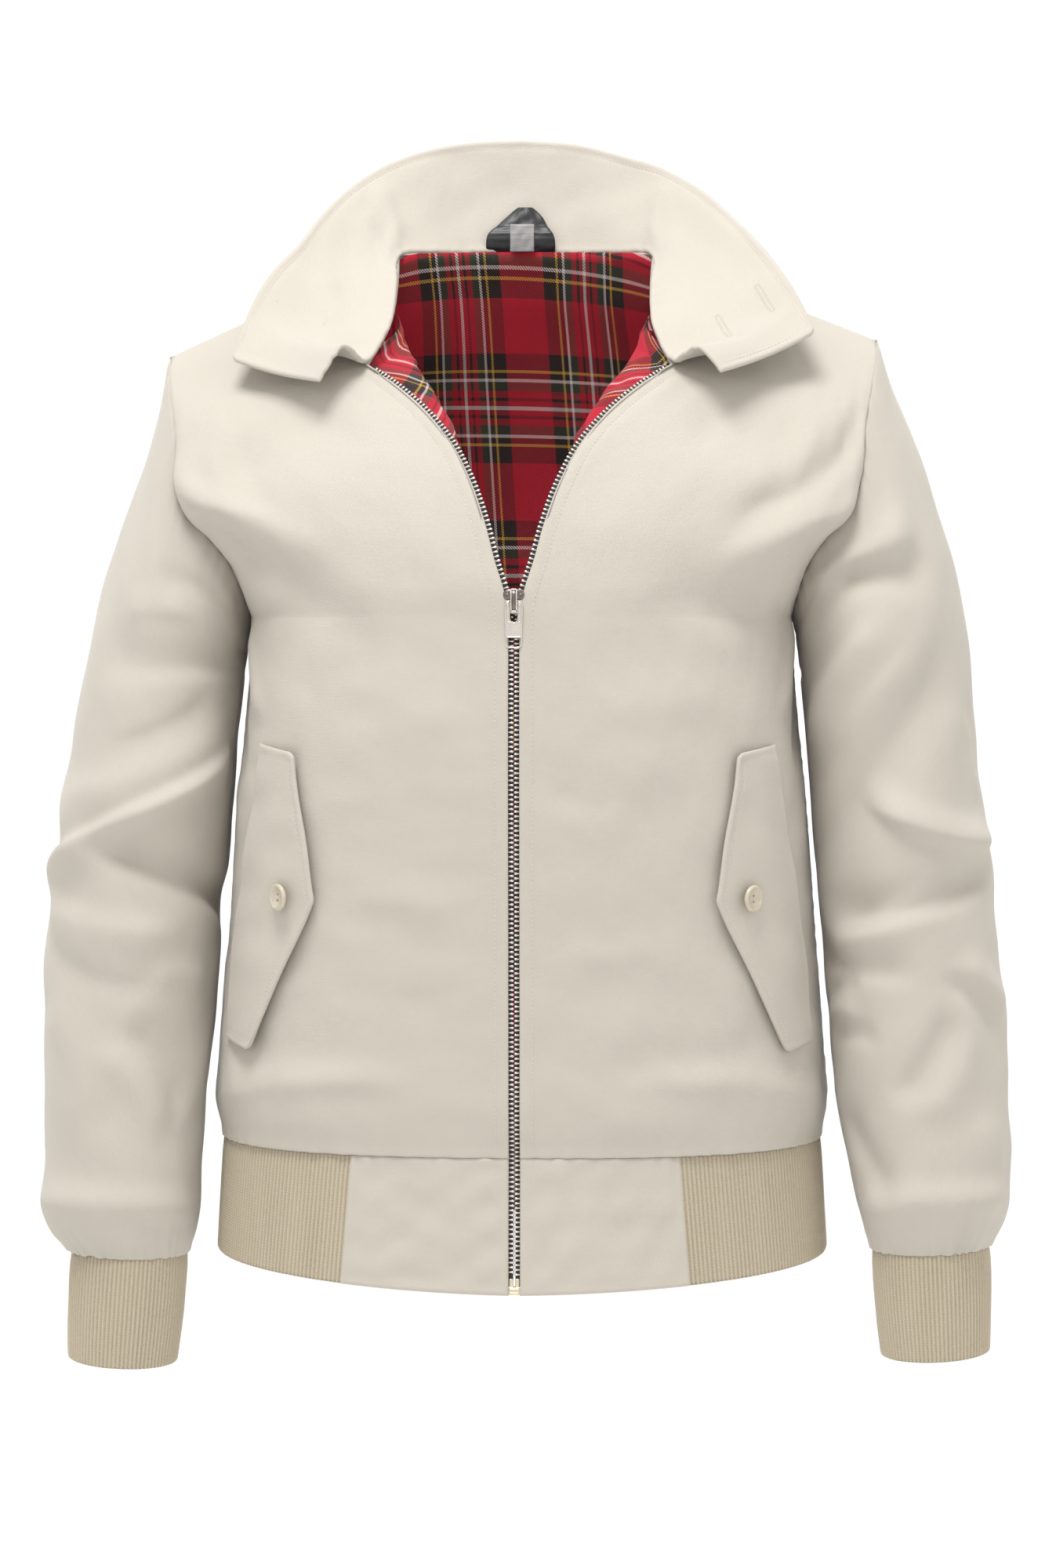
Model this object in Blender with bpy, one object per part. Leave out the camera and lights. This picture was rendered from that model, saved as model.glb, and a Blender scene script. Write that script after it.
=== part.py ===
"""Harrington jacket, filled out as if worn, zip open at the throat: metres, +Z up, front towards -Y.

The origin is the nape, where the back neck seam crosses the centre of the back. +X is the
wearer's left. Every panel is a wall around a middle surface P(u, v); the middle surfaces come
from short tables of sections, and what lies on a panel is made from that panel's points.
"""

import math

import bmesh
import bpy
import numpy as np
from mathutils import Matrix, Vector

# --- cloth thicknesses and seams ---------------------------------------------------------
SHELL = 0.0014          # body and sleeve cloth
COLLAR_CLOTH = 0.0022   # collar, two layers turned and pressed
BAND_CLOTH = 0.0022     # cloth hem bands
FLAP_CLOTH = 0.0020     # pocket flaps
LINING = 0.0008         # brushed cotton lining
KNIT = 0.0016           # rib knit in its furrows
RIB_RISE = 0.0008       # height of a rib over its furrows
RIB_PITCH = 0.0026      # one rib and one furrow
TAPE = 0.0010           # woven tape of zip and loop
SEAM_GAP = 0.0003       # clearance between two sewn pieces
EDGE_PULL = 0.00025     # how far each side of a flat seam draws back
MITRE_PULL = 0.0010     # the same where two walls meet at an angle
SHOULDER_PULL = 0.0013  # the same along the shoulder seams
NECK_BLEND = 0.020      # run over which the neck's pull becomes the shoulder's
SLEEVE_CLEAR = 0.0022   # the sleeve's step off the body at the underarm

# --- girths, levels and counts -----------------------------------------------------------
UNDERARM_V = 0.68       # station of the underarm on the torso tables
CORNER_V = 0.93         # station of the neck corner, top of the zip
SIDE_NECK = (0.0780, -0.0300, -0.0030)
LEAN = 0.042            # how much one shoulder rises and the other sinks
LEAN_FROM = 0.100
LEAN_LOW_Z = -0.230     # level below which nothing leans
LEAN_FADE = 0.130       # height over which the lean sets in
FRONT_GRID = 13         # columns of a front
BACK_HALF_GRID = 11     # columns of half the back
SLEEVE_GIRTH = 0.345    # flattened sizes on which the folds are placed
FRONT_WIDTH = 0.240
PANEL_HEIGHT = 0.560

# --- zip ---------------------------------------------------------------------------------
ZIP_HALF = 0.0045       # panel edge to the middle of the chain
TEETH_WIDTH = 0.00285
TEETH_THICK = 0.0022
SLIDER_Z = -0.2080      # level of the pull's hinge
SLIDER_HALF_HEIGHT = 0.0068
SLIDER_HALF_WIDTH = 0.0056
PLATE = 0.0011          # slider plate
SLIDER_CLEAR = 0.0006   # slider plate to teeth
BAIL_HALF_WIDTH = 0.0011
BAIL_ARCS = ((0.0046, 0.0024), (0.0056, 0.0034))  # inner and outer arc: half height, rise
PULL_LENGTH = 0.0250
PULL_HALF_WIDTH = 0.0043
PULL_THICK = 0.0010
PULL_NECK = 0.0027      # half width of the pull at the bail
PULL_CORNER = 0.0015
BOX_HALF_WIDTH = 0.0040
BOX_HALF_THICK = 0.0016
BOX_HEIGHT = 0.0046
BOX_LIFT = 0.0002       # the box ends just above the hem's lower edge
ZIP_OUT = -0.0020       # the zip's middle plane lies this far inside the cloth's
BAIL_CLEAR = 0.0004     # bail's hinge line off the slider plate
AXIS_FORWARD = TEETH_THICK / 2.0 + SLIDER_CLEAR + PLATE + BAIL_CLEAR + PULL_THICK / 2.0

# Right half of the slider's plate, from foot to crown: shares of half width and half height.
SLIDER_OUTLINE = ((0.70, -1.0), (0.80, -0.30), (1.0, 0.25), (1.0, 0.75), (0.70, 1.0))
# The wedge between the plates: half width and depth below the crown.
WEDGE_OUTLINE = ((0.0006, 0.0022), (0.0011, 0.0001))
# Right half of the pull, from its foot to the hinge: half width and level.
PULL_OUTLINE = [
    (PULL_HALF_WIDTH - PULL_CORNER, -PULL_LENGTH),
    (PULL_HALF_WIDTH, -PULL_LENGTH + PULL_CORNER),
    (0.92 * PULL_HALF_WIDTH, -0.0085),
    (PULL_NECK, -0.0060),
    (PULL_NECK, 0.0005),
]
PULL_SLOT = (0.0015, -0.0062, -0.0005)  # half width, low and high end
PULL_WINDOW = (0.0026, -PULL_LENGTH + 0.0014, -PULL_LENGTH + 0.0064)

# --- buttons -----------------------------------------------------------------------------
BUTTON_RADIUS = 0.0078
BUTTON_THICK = 0.0030
BUTTON_SHANK = 0.0006   # thread between button and cloth
# A button's section from the middle of its face round to the middle of its back: shares of
# its radius and thickness.
BUTTON_PROFILE = (
    (0.0, 0.55), (0.45, 0.52), (0.62, 0.95), (0.86, 1.0),
    (1.0, 0.62), (0.90, 0.12), (0.55, 0.0), (0.0, 0.0),
)

# The front's zip edge: v, x, y, z from the hem seam to the neck corner.
FRONT_EDGE = (
    (0.00, 0.0045, -0.2040, -0.5200),
    (0.03, 0.0045, -0.2075, -0.5060),
    (0.12, 0.0045, -0.2090, -0.4660),
    (0.28, 0.0045, -0.2110, -0.3960),
    (0.44, 0.0045, -0.2135, -0.3260),
    (0.58, 0.0045, -0.2130, -0.2650),
    (0.66, 0.0045, -0.2106, -0.2260),
    (0.675, 0.0046, -0.2105, -0.2180),
    (0.69, 0.0049, -0.2104, -0.2105),
    (0.71, 0.0075, -0.2098, -0.2000),
    (0.735, 0.0120, -0.2068, -0.1860),
    (0.77, 0.0180, -0.2010, -0.1640),
    (0.81, 0.0272, -0.1905, -0.1390),
    (0.85, 0.0405, -0.1760, -0.1155),
    (0.88, 0.0560, -0.1620, -0.0985),
    (0.905, 0.0725, -0.1480, -0.0850),
    (0.93, 0.0890, -0.1335, -0.0745),
)

# The side of the neck: v, x, y, z from the neck corner up to the shoulder seam.
NECK_SIDE = (
    (0.93, 0.0890, -0.1335, -0.0745),
    (0.945, 0.0815, -0.1150, -0.0600),
    (0.96, 0.0775, -0.0950, -0.0470),
    (0.98, 0.0765, -0.0620, -0.0245),
    (1.00, 0.0780, -0.0300, -0.0030),
)

# The side seam: v, x, y, z from the hem seam to the underarm.
SIDE_SEAM = (
    (0.00, 0.1750, -0.0880, -0.5200),
    (0.03, 0.1780, -0.0880, -0.5060),
    (0.12, 0.1762, -0.0880, -0.4660),
    (0.28, 0.1708, -0.0900, -0.3960),
    (0.44, 0.1655, -0.0930, -0.3260),
    (0.58, 0.1590, -0.0960, -0.2600),
    (0.68, 0.1565, -0.1000, -0.2180),
)

# The armhole's front edge: v, x, y, z from the underarm to the shoulder tip.
ARMHOLE_FRONT = (
    (0.68, 0.1565, -0.1000, -0.2180),
    (0.71, 0.1595, -0.1200, -0.2050),
    (0.75, 0.1655, -0.1340, -0.1880),
    (0.79, 0.1770, -0.1400, -0.1720),
    (0.83, 0.1900, -0.1405, -0.1580),
    (0.87, 0.1965, -0.1360, -0.1370),
    (0.91, 0.1985, -0.1270, -0.1130),
    (0.95, 0.2025, -0.1140, -0.0905),
    (0.98, 0.2055, -0.0990, -0.0730),
    (1.00, 0.2065, -0.0850, -0.0625),
)

# The armhole's back edge, the same way.
ARMHOLE_BACK = (
    (0.68, 0.1565, -0.1000, -0.2180),
    (0.71, 0.1590, -0.0800, -0.2060),
    (0.75, 0.1640, -0.0620, -0.1890),
    (0.79, 0.1730, -0.0480, -0.1680),
    (0.83, 0.1830, -0.0395, -0.1450),
    (0.87, 0.1910, -0.0365, -0.1220),
    (0.91, 0.1970, -0.0410, -0.1010),
    (0.95, 0.2020, -0.0530, -0.0830),
    (0.98, 0.2050, -0.0690, -0.0700),
    (1.00, 0.2065, -0.0850, -0.0625),
)

# The middle of the back: v, x, y, z from the hem seam to the nape.
CENTRE_BACK = (
    (0.00, 0.0, 0.0280, -0.5200),
    (0.03, 0.0, 0.0320, -0.5060),
    (0.12, 0.0, 0.0290, -0.4660),
    (0.28, 0.0, 0.0200, -0.3960),
    (0.44, 0.0, 0.0180, -0.3260),
    (0.58, 0.0, 0.0245, -0.2600),
    (0.68, 0.0, 0.0315, -0.2100),
    (0.76, 0.0, 0.0340, -0.1620),
    (0.84, 0.0, 0.0315, -0.1080),
    (0.92, 0.0, 0.0200, -0.0500),
    (1.00, 0.0, 0.0000, 0.0000),
)

# How square each cross section is: v, front, back (2 is an ellipse, 1 a straight line).
SQUARENESS = (
    (0.00, 2.50, 2.45),
    (0.28, 2.50, 2.45),
    (0.58, 2.45, 2.35),
    (0.68, 2.35, 2.30),
    (0.81, 2.05, 2.25),
    (0.93, 1.50, 2.05),
    (1.00, 1.06, 2.00),
)

# Collar sections from the middle of the back to the front edge: station, seam x y z,
# free edge x y z, rise of the roll between them. The two leaves fall a little differently.
COLLAR_LEFT = (
    (0.00, 0.0000, 0.0006, 0.0008, -0.0040, 0.0200, 0.0690, 0.0015),
    (0.14, 0.0300, -0.0036, 0.0005, 0.0300, 0.0180, 0.0660, 0.0015),
    (0.27, 0.0560, -0.0142, -0.0004, 0.0590, 0.0120, 0.0580, 0.0010),
    (0.36, 0.0735, -0.0270, -0.0014, 0.0820, 0.0045, 0.0500, 0.0000),
    (0.43, 0.0775, -0.0425, -0.0080, 0.1025, -0.0100, 0.0375, 0.0010),
    (0.52, 0.0762, -0.0630, -0.0208, 0.1195, -0.0350, 0.0210, 0.0040),
    (0.62, 0.0762, -0.0860, -0.0365, 0.1385, -0.0660, -0.0010, 0.0060),
    (0.72, 0.0785, -0.1090, -0.0520, 0.1520, -0.0890, -0.0205, 0.0060),
    (0.82, 0.0890, -0.1365, -0.0705, 0.1595, -0.1030, -0.0340, 0.0050),
    (0.90, 0.1020, -0.1495, -0.0640, 0.1645, -0.1130, -0.0450, 0.0040),
    (1.00, 0.1168, -0.1600, -0.0790, 0.1697, -0.1270, -0.0580, 0.0030),
)
COLLAR_RIGHT = (
    (0.00, 0.0000, 0.0006, 0.0008, 0.0040, 0.0200, 0.0690, 0.0015),
    (0.14, 0.0300, -0.0036, 0.0005, 0.0390, 0.0180, 0.0672, 0.0015),
    (0.27, 0.0560, -0.0142, -0.0004, 0.0700, 0.0120, 0.0600, 0.0010),
    (0.36, 0.0735, -0.0270, -0.0014, 0.0915, 0.0045, 0.0500, 0.0000),
    (0.43, 0.0775, -0.0425, -0.0080, 0.1080, -0.0100, 0.0375, 0.0010),
    (0.52, 0.0762, -0.0630, -0.0208, 0.1220, -0.0350, 0.0210, 0.0040),
    (0.62, 0.0762, -0.0860, -0.0365, 0.1345, -0.0620, 0.0010, 0.0060),
    (0.72, 0.0785, -0.1090, -0.0520, 0.1465, -0.0820, -0.0140, 0.0060),
    (0.82, 0.0890, -0.1365, -0.0705, 0.1555, -0.0980, -0.0310, 0.0050),
    (0.90, 0.1000, -0.1490, -0.0635, 0.1610, -0.1100, -0.0475, 0.0040),
    (1.00, 0.1142, -0.1600, -0.0830, 0.1667, -0.1270, -0.0672, 0.0030),
)

# Sleeve sections: station, level, inner x, outer x, middle y, half depth, drop of the outer
# side, one table for each arm, because the arms hang a little differently.
SLEEVE_LEFT_ARM = (
    (0.32, -0.262, 0.1625, 0.2620, -0.1000, 0.0620, 0.010),
    (0.42, -0.305, 0.1668, 0.2655, -0.1025, 0.0600, 0.008),
    (0.52, -0.348, 0.1706, 0.2720, -0.1055, 0.0585, 0.006),
    (0.62, -0.392, 0.1748, 0.2760, -0.1090, 0.0560, 0.004),
    (0.72, -0.437, 0.1785, 0.2800, -0.1135, 0.0530, 0.002),
    (0.82, -0.484, 0.1822, 0.2828, -0.1180, 0.0500, 0.002),
    (0.91, -0.530, 0.1905, 0.2837, -0.1230, 0.0475, 0.000),
    (0.97, -0.563, 0.1978, 0.2805, -0.1265, 0.0440, -0.002),
    (0.99, -0.574, 0.2015, 0.2762, -0.1278, 0.0400, -0.002),
    (1.00, -0.580, 0.2045, 0.2722, -0.1285, 0.0362, -0.003),
)
SLEEVE_RIGHT_ARM = (
    (0.32, -0.262, 0.1625, 0.2580, -0.1000, 0.0620, 0.010),
    (0.42, -0.305, 0.1668, 0.2648, -0.1025, 0.0600, 0.008),
    (0.52, -0.348, 0.1706, 0.2700, -0.1055, 0.0585, 0.006),
    (0.62, -0.392, 0.1748, 0.2750, -0.1090, 0.0560, 0.004),
    (0.72, -0.437, 0.1785, 0.2775, -0.1135, 0.0530, 0.002),
    (0.82, -0.484, 0.1830, 0.2775, -0.1180, 0.0500, 0.002),
    (0.91, -0.530, 0.1860, 0.2770, -0.1230, 0.0475, 0.000),
    (0.97, -0.568, 0.1885, 0.2762, -0.1268, 0.0440, -0.002),
    (0.99, -0.579, 0.1912, 0.2705, -0.1283, 0.0400, -0.002),
    (1.00, -0.585, 0.1942, 0.2640, -0.1290, 0.0362, -0.003),
)

# How far outwards each sleeve head leaves the shoulder, against 0.85 downwards.
LEAVE_LEFT = 0.40
LEAVE_RIGHT = 0.24

# Cuffs: level, inner x, outer x, middle y, half depth, at the seam and at the wrist's edge.
CUFF_LEFT_ARM = (
    (-0.5812, 0.2050, 0.2715, -0.1288, 0.0358),
    (-0.6430, 0.2103, 0.2718, -0.1330, 0.0345),
)
CUFF_RIGHT_ARM = (
    (-0.5862, 0.1945, 0.2605, -0.1292, 0.0358),
    (-0.6500, 0.2006, 0.2625, -0.1335, 0.0345),
)
CUFF_SLANT = 0.0035     # the outer side of a cuff sits higher than its inner side

# Hem rings below the shell: level at front, side and back, front y, side x, side y, back y.
HEM_RINGS = (
    (-0.5206, -0.5206, -0.5206, -0.2036, 0.1747, -0.0880, 0.0276),
    (-0.5990, -0.5885, -0.5850, -0.2070, 0.1785, -0.0880, 0.0290),
)
HEM_SWEEP = 1.5         # how quickly the hem's lower edge rises towards the sides
HEM_SQUARE = 2.48
BAND_END_X = (0.0923, 0.0983)  # where the cloth band meets the rib, at its top and bottom

# Folds: start across, start along, end across, end along, sideways bow, width, depth
# (metres on the flattened panel, measured from its inner edge and the hem seam; a trough
# has a negative depth).
LEFT_FRONT_FOLDS = (
    (0.235, 0.470, 0.100, 0.410, 0.000, 0.018, 0.0045),
    (0.210, 0.512, 0.100, 0.440, 0.004, 0.016, -0.0045),
    (0.145, 0.486, 0.045, 0.500, 0.000, 0.022, -0.0050),
    (0.170, 0.390, 0.060, 0.405, 0.006, 0.022, -0.0040),
    (0.214, 0.378, 0.186, 0.318, 0.000, 0.013, 0.0028),
    (0.030, 0.050, 0.200, 0.026, 0.008, 0.014, 0.0029),
)
RIGHT_FRONT_FOLDS = (
    (0.238, 0.494, 0.085, 0.412, 0.000, 0.020, 0.0050),
    (0.205, 0.438, 0.085, 0.388, 0.004, 0.024, -0.0050),
    (0.155, 0.478, 0.045, 0.500, 0.000, 0.022, -0.0050),
    (0.200, 0.372, 0.170, 0.318, 0.000, 0.013, 0.0028),
    (0.030, 0.050, 0.200, 0.026, 0.008, 0.014, 0.0029),
)
BACK_FOLDS = (
    (0.205, 0.372, 0.110, 0.200, 0.014, 0.024, -0.0050),
    (0.225, 0.330, 0.130, 0.230, 0.010, 0.018, 0.0034),
    (0.020, 0.150, 0.150, 0.100, 0.010, 0.022, 0.0035),
    (0.030, 0.105, 0.170, 0.065, 0.010, 0.016, -0.0030),
    (0.030, 0.050, 0.200, 0.028, 0.008, 0.014, 0.0022),
)
# On a sleeve the across measure starts at the underarm seam and runs over the front.
LEFT_ARM_FOLDS = (
    (0.040, -0.122, 0.130, -0.174, 0.000, 0.014, 0.0045),
    (0.050, -0.146, 0.135, -0.198, 0.000, 0.014, -0.0055),
    (0.145, -0.220, 0.026, -0.360, 0.000, 0.018, -0.0065),
    (0.084, -0.196, 0.016, -0.304, 0.000, 0.017, 0.0050),
    (0.060, -0.320, 0.164, -0.344, -0.008, 0.012, 0.0075),
    (0.165, -0.352, 0.020, -0.394, 0.006, 0.013, -0.0085),
    (0.110, -0.366, 0.025, -0.416, 0.000, 0.015, 0.0045),
    (-0.010, -0.418, 0.090, -0.419, 0.000, 0.013, -0.0045),
    (0.110, -0.438, 0.066, -0.498, 0.004, 0.014, -0.0045),
    (0.160, -0.432, 0.100, -0.500, 0.006, 0.016, 0.0040),
    (0.015, -0.500, 0.060, -0.560, 0.000, 0.014, -0.0035),
    (0.210, -0.300, 0.310, -0.352, 0.010, 0.018, -0.0067),
    (0.235, -0.372, 0.325, -0.338, 0.010, 0.016, 0.0060),
    (0.195, -0.438, 0.315, -0.472, 0.010, 0.018, -0.0053),
    (0.010, -0.557, 0.165, -0.553, 0.006, 0.012, 0.0048),
    (0.190, -0.552, 0.325, -0.557, 0.006, 0.012, 0.0048),
)
RIGHT_ARM_FOLDS = (
    (0.140, -0.238, 0.000, -0.234, 0.000, 0.020, -0.0035),
    (0.168, -0.322, 0.022, -0.286, 0.010, 0.020, 0.0045),
    (0.190, -0.374, 0.015, -0.300, 0.000, 0.012, 0.0070),
    (0.120, -0.344, -0.020, -0.396, 0.000, 0.013, -0.0085),
    (0.165, -0.378, 0.050, -0.400, 0.006, 0.016, 0.0040),
    (0.030, -0.508, 0.086, -0.448, 0.008, 0.018, -0.0040),
    (0.100, -0.510, 0.150, -0.440, 0.008, 0.020, 0.0030),
    (0.210, -0.306, 0.310, -0.360, 0.010, 0.018, -0.0067),
    (0.230, -0.382, 0.325, -0.342, 0.010, 0.016, 0.0060),
    (0.195, -0.448, 0.315, -0.482, 0.010, 0.018, -0.0053),
    (0.010, -0.562, 0.165, -0.558, 0.006, 0.012, 0.0048),
    (0.190, -0.557, 0.325, -0.563, 0.006, 0.012, 0.0048),
)

# Pocket flap: station from top to tip, seam x z, free edge x z.
FLAP = (
    (0.00, 0.1470, -0.2850, 0.1254, -0.2890),
    (0.14, 0.1503, -0.3060, 0.1226, -0.3130),
    (0.32, 0.1545, -0.3330, 0.1185, -0.3430),
    (0.52, 0.1592, -0.3660, 0.1143, -0.3790),
    (0.54, 0.1597, -0.3700, 0.1150, -0.3840),
    (0.75, 0.1640, -0.4080, 0.1310, -0.4190),
    (0.95, 0.1672, -0.4450, 0.1480, -0.4540),
    (1.00, 0.1678, -0.4530, 0.1535, -0.4605),
)
FLAP_LIFT = 0.0030      # how far the free edge stands off the front
FLAP_GAP = 0.0008       # clearance of its seam edge over the curved front
FLAP_BUTTON_XZ = (0.1310, -0.3765)

# Collar buttons on the under side of the right leaf: station, share of the collar's width.
COLLAR_BUTTONS = ((0.79, 0.80), (0.79, 0.40))

# Front lining where it shows inside the open neck: v on the zip edge, then the visible roll
# x y z, then where it turns back inside x y z.
LINING_ROLL = (
    (0.815, 0.0275, -0.1800, -0.1330, 0.0400, -0.1650, -0.1350),
    (0.850, 0.0360, -0.1600, -0.1120, 0.0500, -0.1450, -0.1150),
    (0.880, 0.0470, -0.1400, -0.0930, 0.0620, -0.1250, -0.0980),
    (0.905, 0.0570, -0.1220, -0.0790, 0.0720, -0.1050, -0.0830),
    (0.927, 0.0680, -0.1020, -0.0640, 0.0760, -0.0820, -0.0560),
)
LINING_BACK_LOW_V = 0.02
LINING_HIGH_V = 0.997
LINING_TUCK_V = 0.014   # how much lower it ends along the shoulder seams
LINING_FRONT_IN = 0.0042
LINING_SHARE = 0.960    # how far the back lining reaches towards the side seams
LINING_GAP = 0.0009     # clearance of a lining along its seams
LINING_LOOSE = 0.0045   # how much further inside it hangs between them
LABEL_HALF_WIDTH = 0.0072

# The hanging loop, folded down on itself: level, middle x, half width, y.
LOOP_SHAPE = (
    (0.0018, -0.0042, 0.0205, -0.0050),
    (0.0050, -0.0042, 0.0207, -0.0054),
    (0.0110, -0.0040, 0.0198, -0.0048),
    (0.0136, -0.0035, 0.0176, -0.0028),
    (0.0170, -0.0029, 0.0146, -0.0016),
    (0.0212, -0.0022, 0.0104, 0.0000),
    (0.0250, -0.0018, 0.0074, 0.0012),
    (0.0284, -0.0017, 0.0052, 0.0020),
)
# The size label: level, y.
LABEL_SHAPE = ((0.0012, -0.0070), (0.0088, -0.0076), (0.0162, -0.0068))
LABEL_X = -0.0032

# Colours: red, green, blue, roughness, metallic.
STONE = (0.78, 0.73, 0.64, 0.85, 0.0)
KHAKI = (0.52, 0.46, 0.34, 0.92, 0.0)
TARTAN_RED = (0.42, 0.02, 0.03, 0.90, 0.0)
NAVY = (0.02, 0.025, 0.04, 0.80, 0.0)
GREY = (0.45, 0.45, 0.46, 0.75, 0.0)
TAPE_BROWN = (0.05, 0.035, 0.03, 0.85, 0.0)
TEETH_SILVER = (0.62, 0.61, 0.58, 0.32, 1.0)
NICKEL = (0.66, 0.62, 0.56, 0.25, 1.0)
IVORY = (0.72, 0.66, 0.52, 0.35, 0.0)


# --- small numeric helpers ---------------------------------------------------------------
def read_table(rows, at):
    """Read a table at the stations `at`: cubic pieces through its rows, each row's slope
    being that of the parabola through it and its neighbours."""
    rows = np.asarray(rows, float)
    knots, values = rows[:, 0], rows[:, 1:]
    slopes = np.gradient(values, knots, axis=0)
    at = np.clip(np.asarray(at, float), knots[0], knots[-1])
    cell = np.clip(np.searchsorted(knots, at, side="right") - 1, 0, len(knots) - 2)
    span = np.diff(knots)[cell][..., None]
    t = (at - knots[cell])[..., None] / span
    start, end = values[cell], values[cell + 1]
    leave, arrive = slopes[cell] * span, slopes[cell + 1] * span
    return (
        (2 * t**3 - 3 * t**2 + 1) * start
        + (t**3 - 2 * t**2 + t) * leave
        + (3 * t**2 - 2 * t**3) * end
        + (t**3 - t**2) * arrive
    )


def unit(vectors):
    """Vectors brought to length one along their last axis."""
    return vectors / np.linalg.norm(vectors, axis=-1, keepdims=True)


def ease(t):
    """Smooth step from 0 to 1."""
    t = np.clip(t, 0.0, 1.0)
    return t * t * (3.0 - 2.0 * t)


def fold_height(across, along, folds, girth=None):
    """Sum of soft ridges and troughs on a flattened panel. Each is a bell across a bowed line
    from its start to its end, fading out towards both ends."""
    height = np.zeros(np.broadcast(across, along).shape)
    for x0, y0, x1, y1, bow, width, depth in folds:
        length = math.hypot(x1 - x0, y1 - y0)
        dx, dy = (x1 - x0) / length, (y1 - y0) / length
        side = across - x0
        if girth:
            side = (side + 0.5 * girth) % girth - 0.5 * girth
        run = (side * dx + (along - y0) * dy) / length
        off = -side * dy + (along - y0) * dx - bow * 4.0 * run * (1.0 - run)
        fade = ease(np.minimum(run, 1.0 - run) / 0.30 + 0.12)
        height = height + depth * fade * np.exp(-((off / width) ** 2))
    return height


def grid_normals(points, wrap=False):
    """Unit normals of a grid, from the differences to its neighbours along both ways."""
    along = np.gradient(points, axis=0)
    if wrap:
        around = np.roll(points, -1, axis=1) - np.roll(points, 1, axis=1)
    else:
        around = np.gradient(points, axis=1)
    return unit(np.cross(around, along))


def pull_edge(points, axis, first, distance):
    """Draw one boundary of a grid back along the grid by a distance."""
    moved = np.moveaxis(points, axis, 0).copy()
    edge, inside = (0, 1) if first else (-1, -2)
    moved[edge] += distance * unit(moved[inside] - moved[edge])
    return np.moveaxis(moved, 0, axis)


def pull_top(points):
    """Draw a torso panel's top row down: a little at the neck, more at the shoulder seam."""
    flat = pull_edge(points, 0, False, EDGE_PULL)
    mitred = pull_edge(points, 0, False, SHOULDER_PULL)
    share = ease((np.abs(points[-1, :, 0]) - SIDE_NECK[0]) / NECK_BLEND + 1.0)
    return flat * (1.0 - share[None, :, None]) + mitred * share[None, :, None]


def pull_side(points, v, first):
    """Draw a torso panel's outer boundary back: a little at the side seam, more at the
    armhole, where the sleeve meets it at an angle."""
    flat = pull_edge(points, 1, first, EDGE_PULL)
    mitred = pull_edge(points, 1, first, MITRE_PULL)
    share = ease((v - UNDERARM_V + 0.03) / 0.03)[:, None, None]
    return flat * (1.0 - share) + mitred * share


# --- torso -------------------------------------------------------------------------------
def section_row(inner, outer, square, share):
    """A cross section from `inner` to `outer` in plan: a quarter of a superellipse of the
    given squareness, its level running evenly from one end to the other."""
    turn = share * math.pi / 2.0
    power = 2.0 / square
    out = np.sin(turn) ** power
    forward = np.clip(np.cos(turn), 0.0, 1.0) ** power
    x = inner[..., 0] + (outer[..., 0] - inner[..., 0]) * out
    y = outer[..., 1] + (inner[..., 1] - outer[..., 1]) * forward
    z = inner[..., 2] + (outer[..., 2] - inner[..., 2]) * share
    return np.stack([x, y, z], axis=-1)


def edge_line(lower, upper, split, v):
    """One boundary of a panel, read from the lower table below `split` and the upper above."""
    return np.where((v < split)[..., None], read_table(lower, v), read_table(upper, v))


def front_base(u, v):
    """The smooth left front: u from the zip edge to the side, v from hem seam to shoulder.
    Near the top it is drawn onto the straight shoulder seam."""
    inner = edge_line(FRONT_EDGE, NECK_SIDE, CORNER_V, v)
    outer = edge_line(SIDE_SEAM, ARMHOLE_FRONT, UNDERARM_V, v)
    row = section_row(inner, outer, read_table(SQUARENESS, v)[..., 0], u)
    span = outer - inner
    straight = inner + span * ((row[..., 0] - inner[..., 0]) / span[..., 0])[..., None]
    hold = ease((v - 0.86) / 0.14)[..., None] ** 1.5
    return row + hold * (straight - row)


def seam_fade(u, v):
    """1 inside a panel and 0 along its edges, so that folds leave the seams alone."""
    return ease(u / 0.10) * ease((1.0 - u) / 0.10) * ease(v / 0.05) * ease((1.0 - v) / 0.05)


def front_point(folds, u, v, step=1e-3):
    """A front, on the left, with its folds raised along the smooth surface's normal."""
    u, v = np.broadcast_arrays(np.asarray(u, float), np.asarray(v, float))
    base = front_base(u, v)
    across = front_base(np.clip(u + step, 0, 1), v) - front_base(np.clip(u - step, 0, 1), v)
    along = front_base(u, np.clip(v + step, 0, 1)) - front_base(u, np.clip(v - step, 0, 1))
    normal = unit(np.cross(across, along))
    height = fold_height(u * FRONT_WIDTH, v * PANEL_HEIGHT, folds) * seam_fade(u, v)
    return base + normal * height[..., None]


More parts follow.
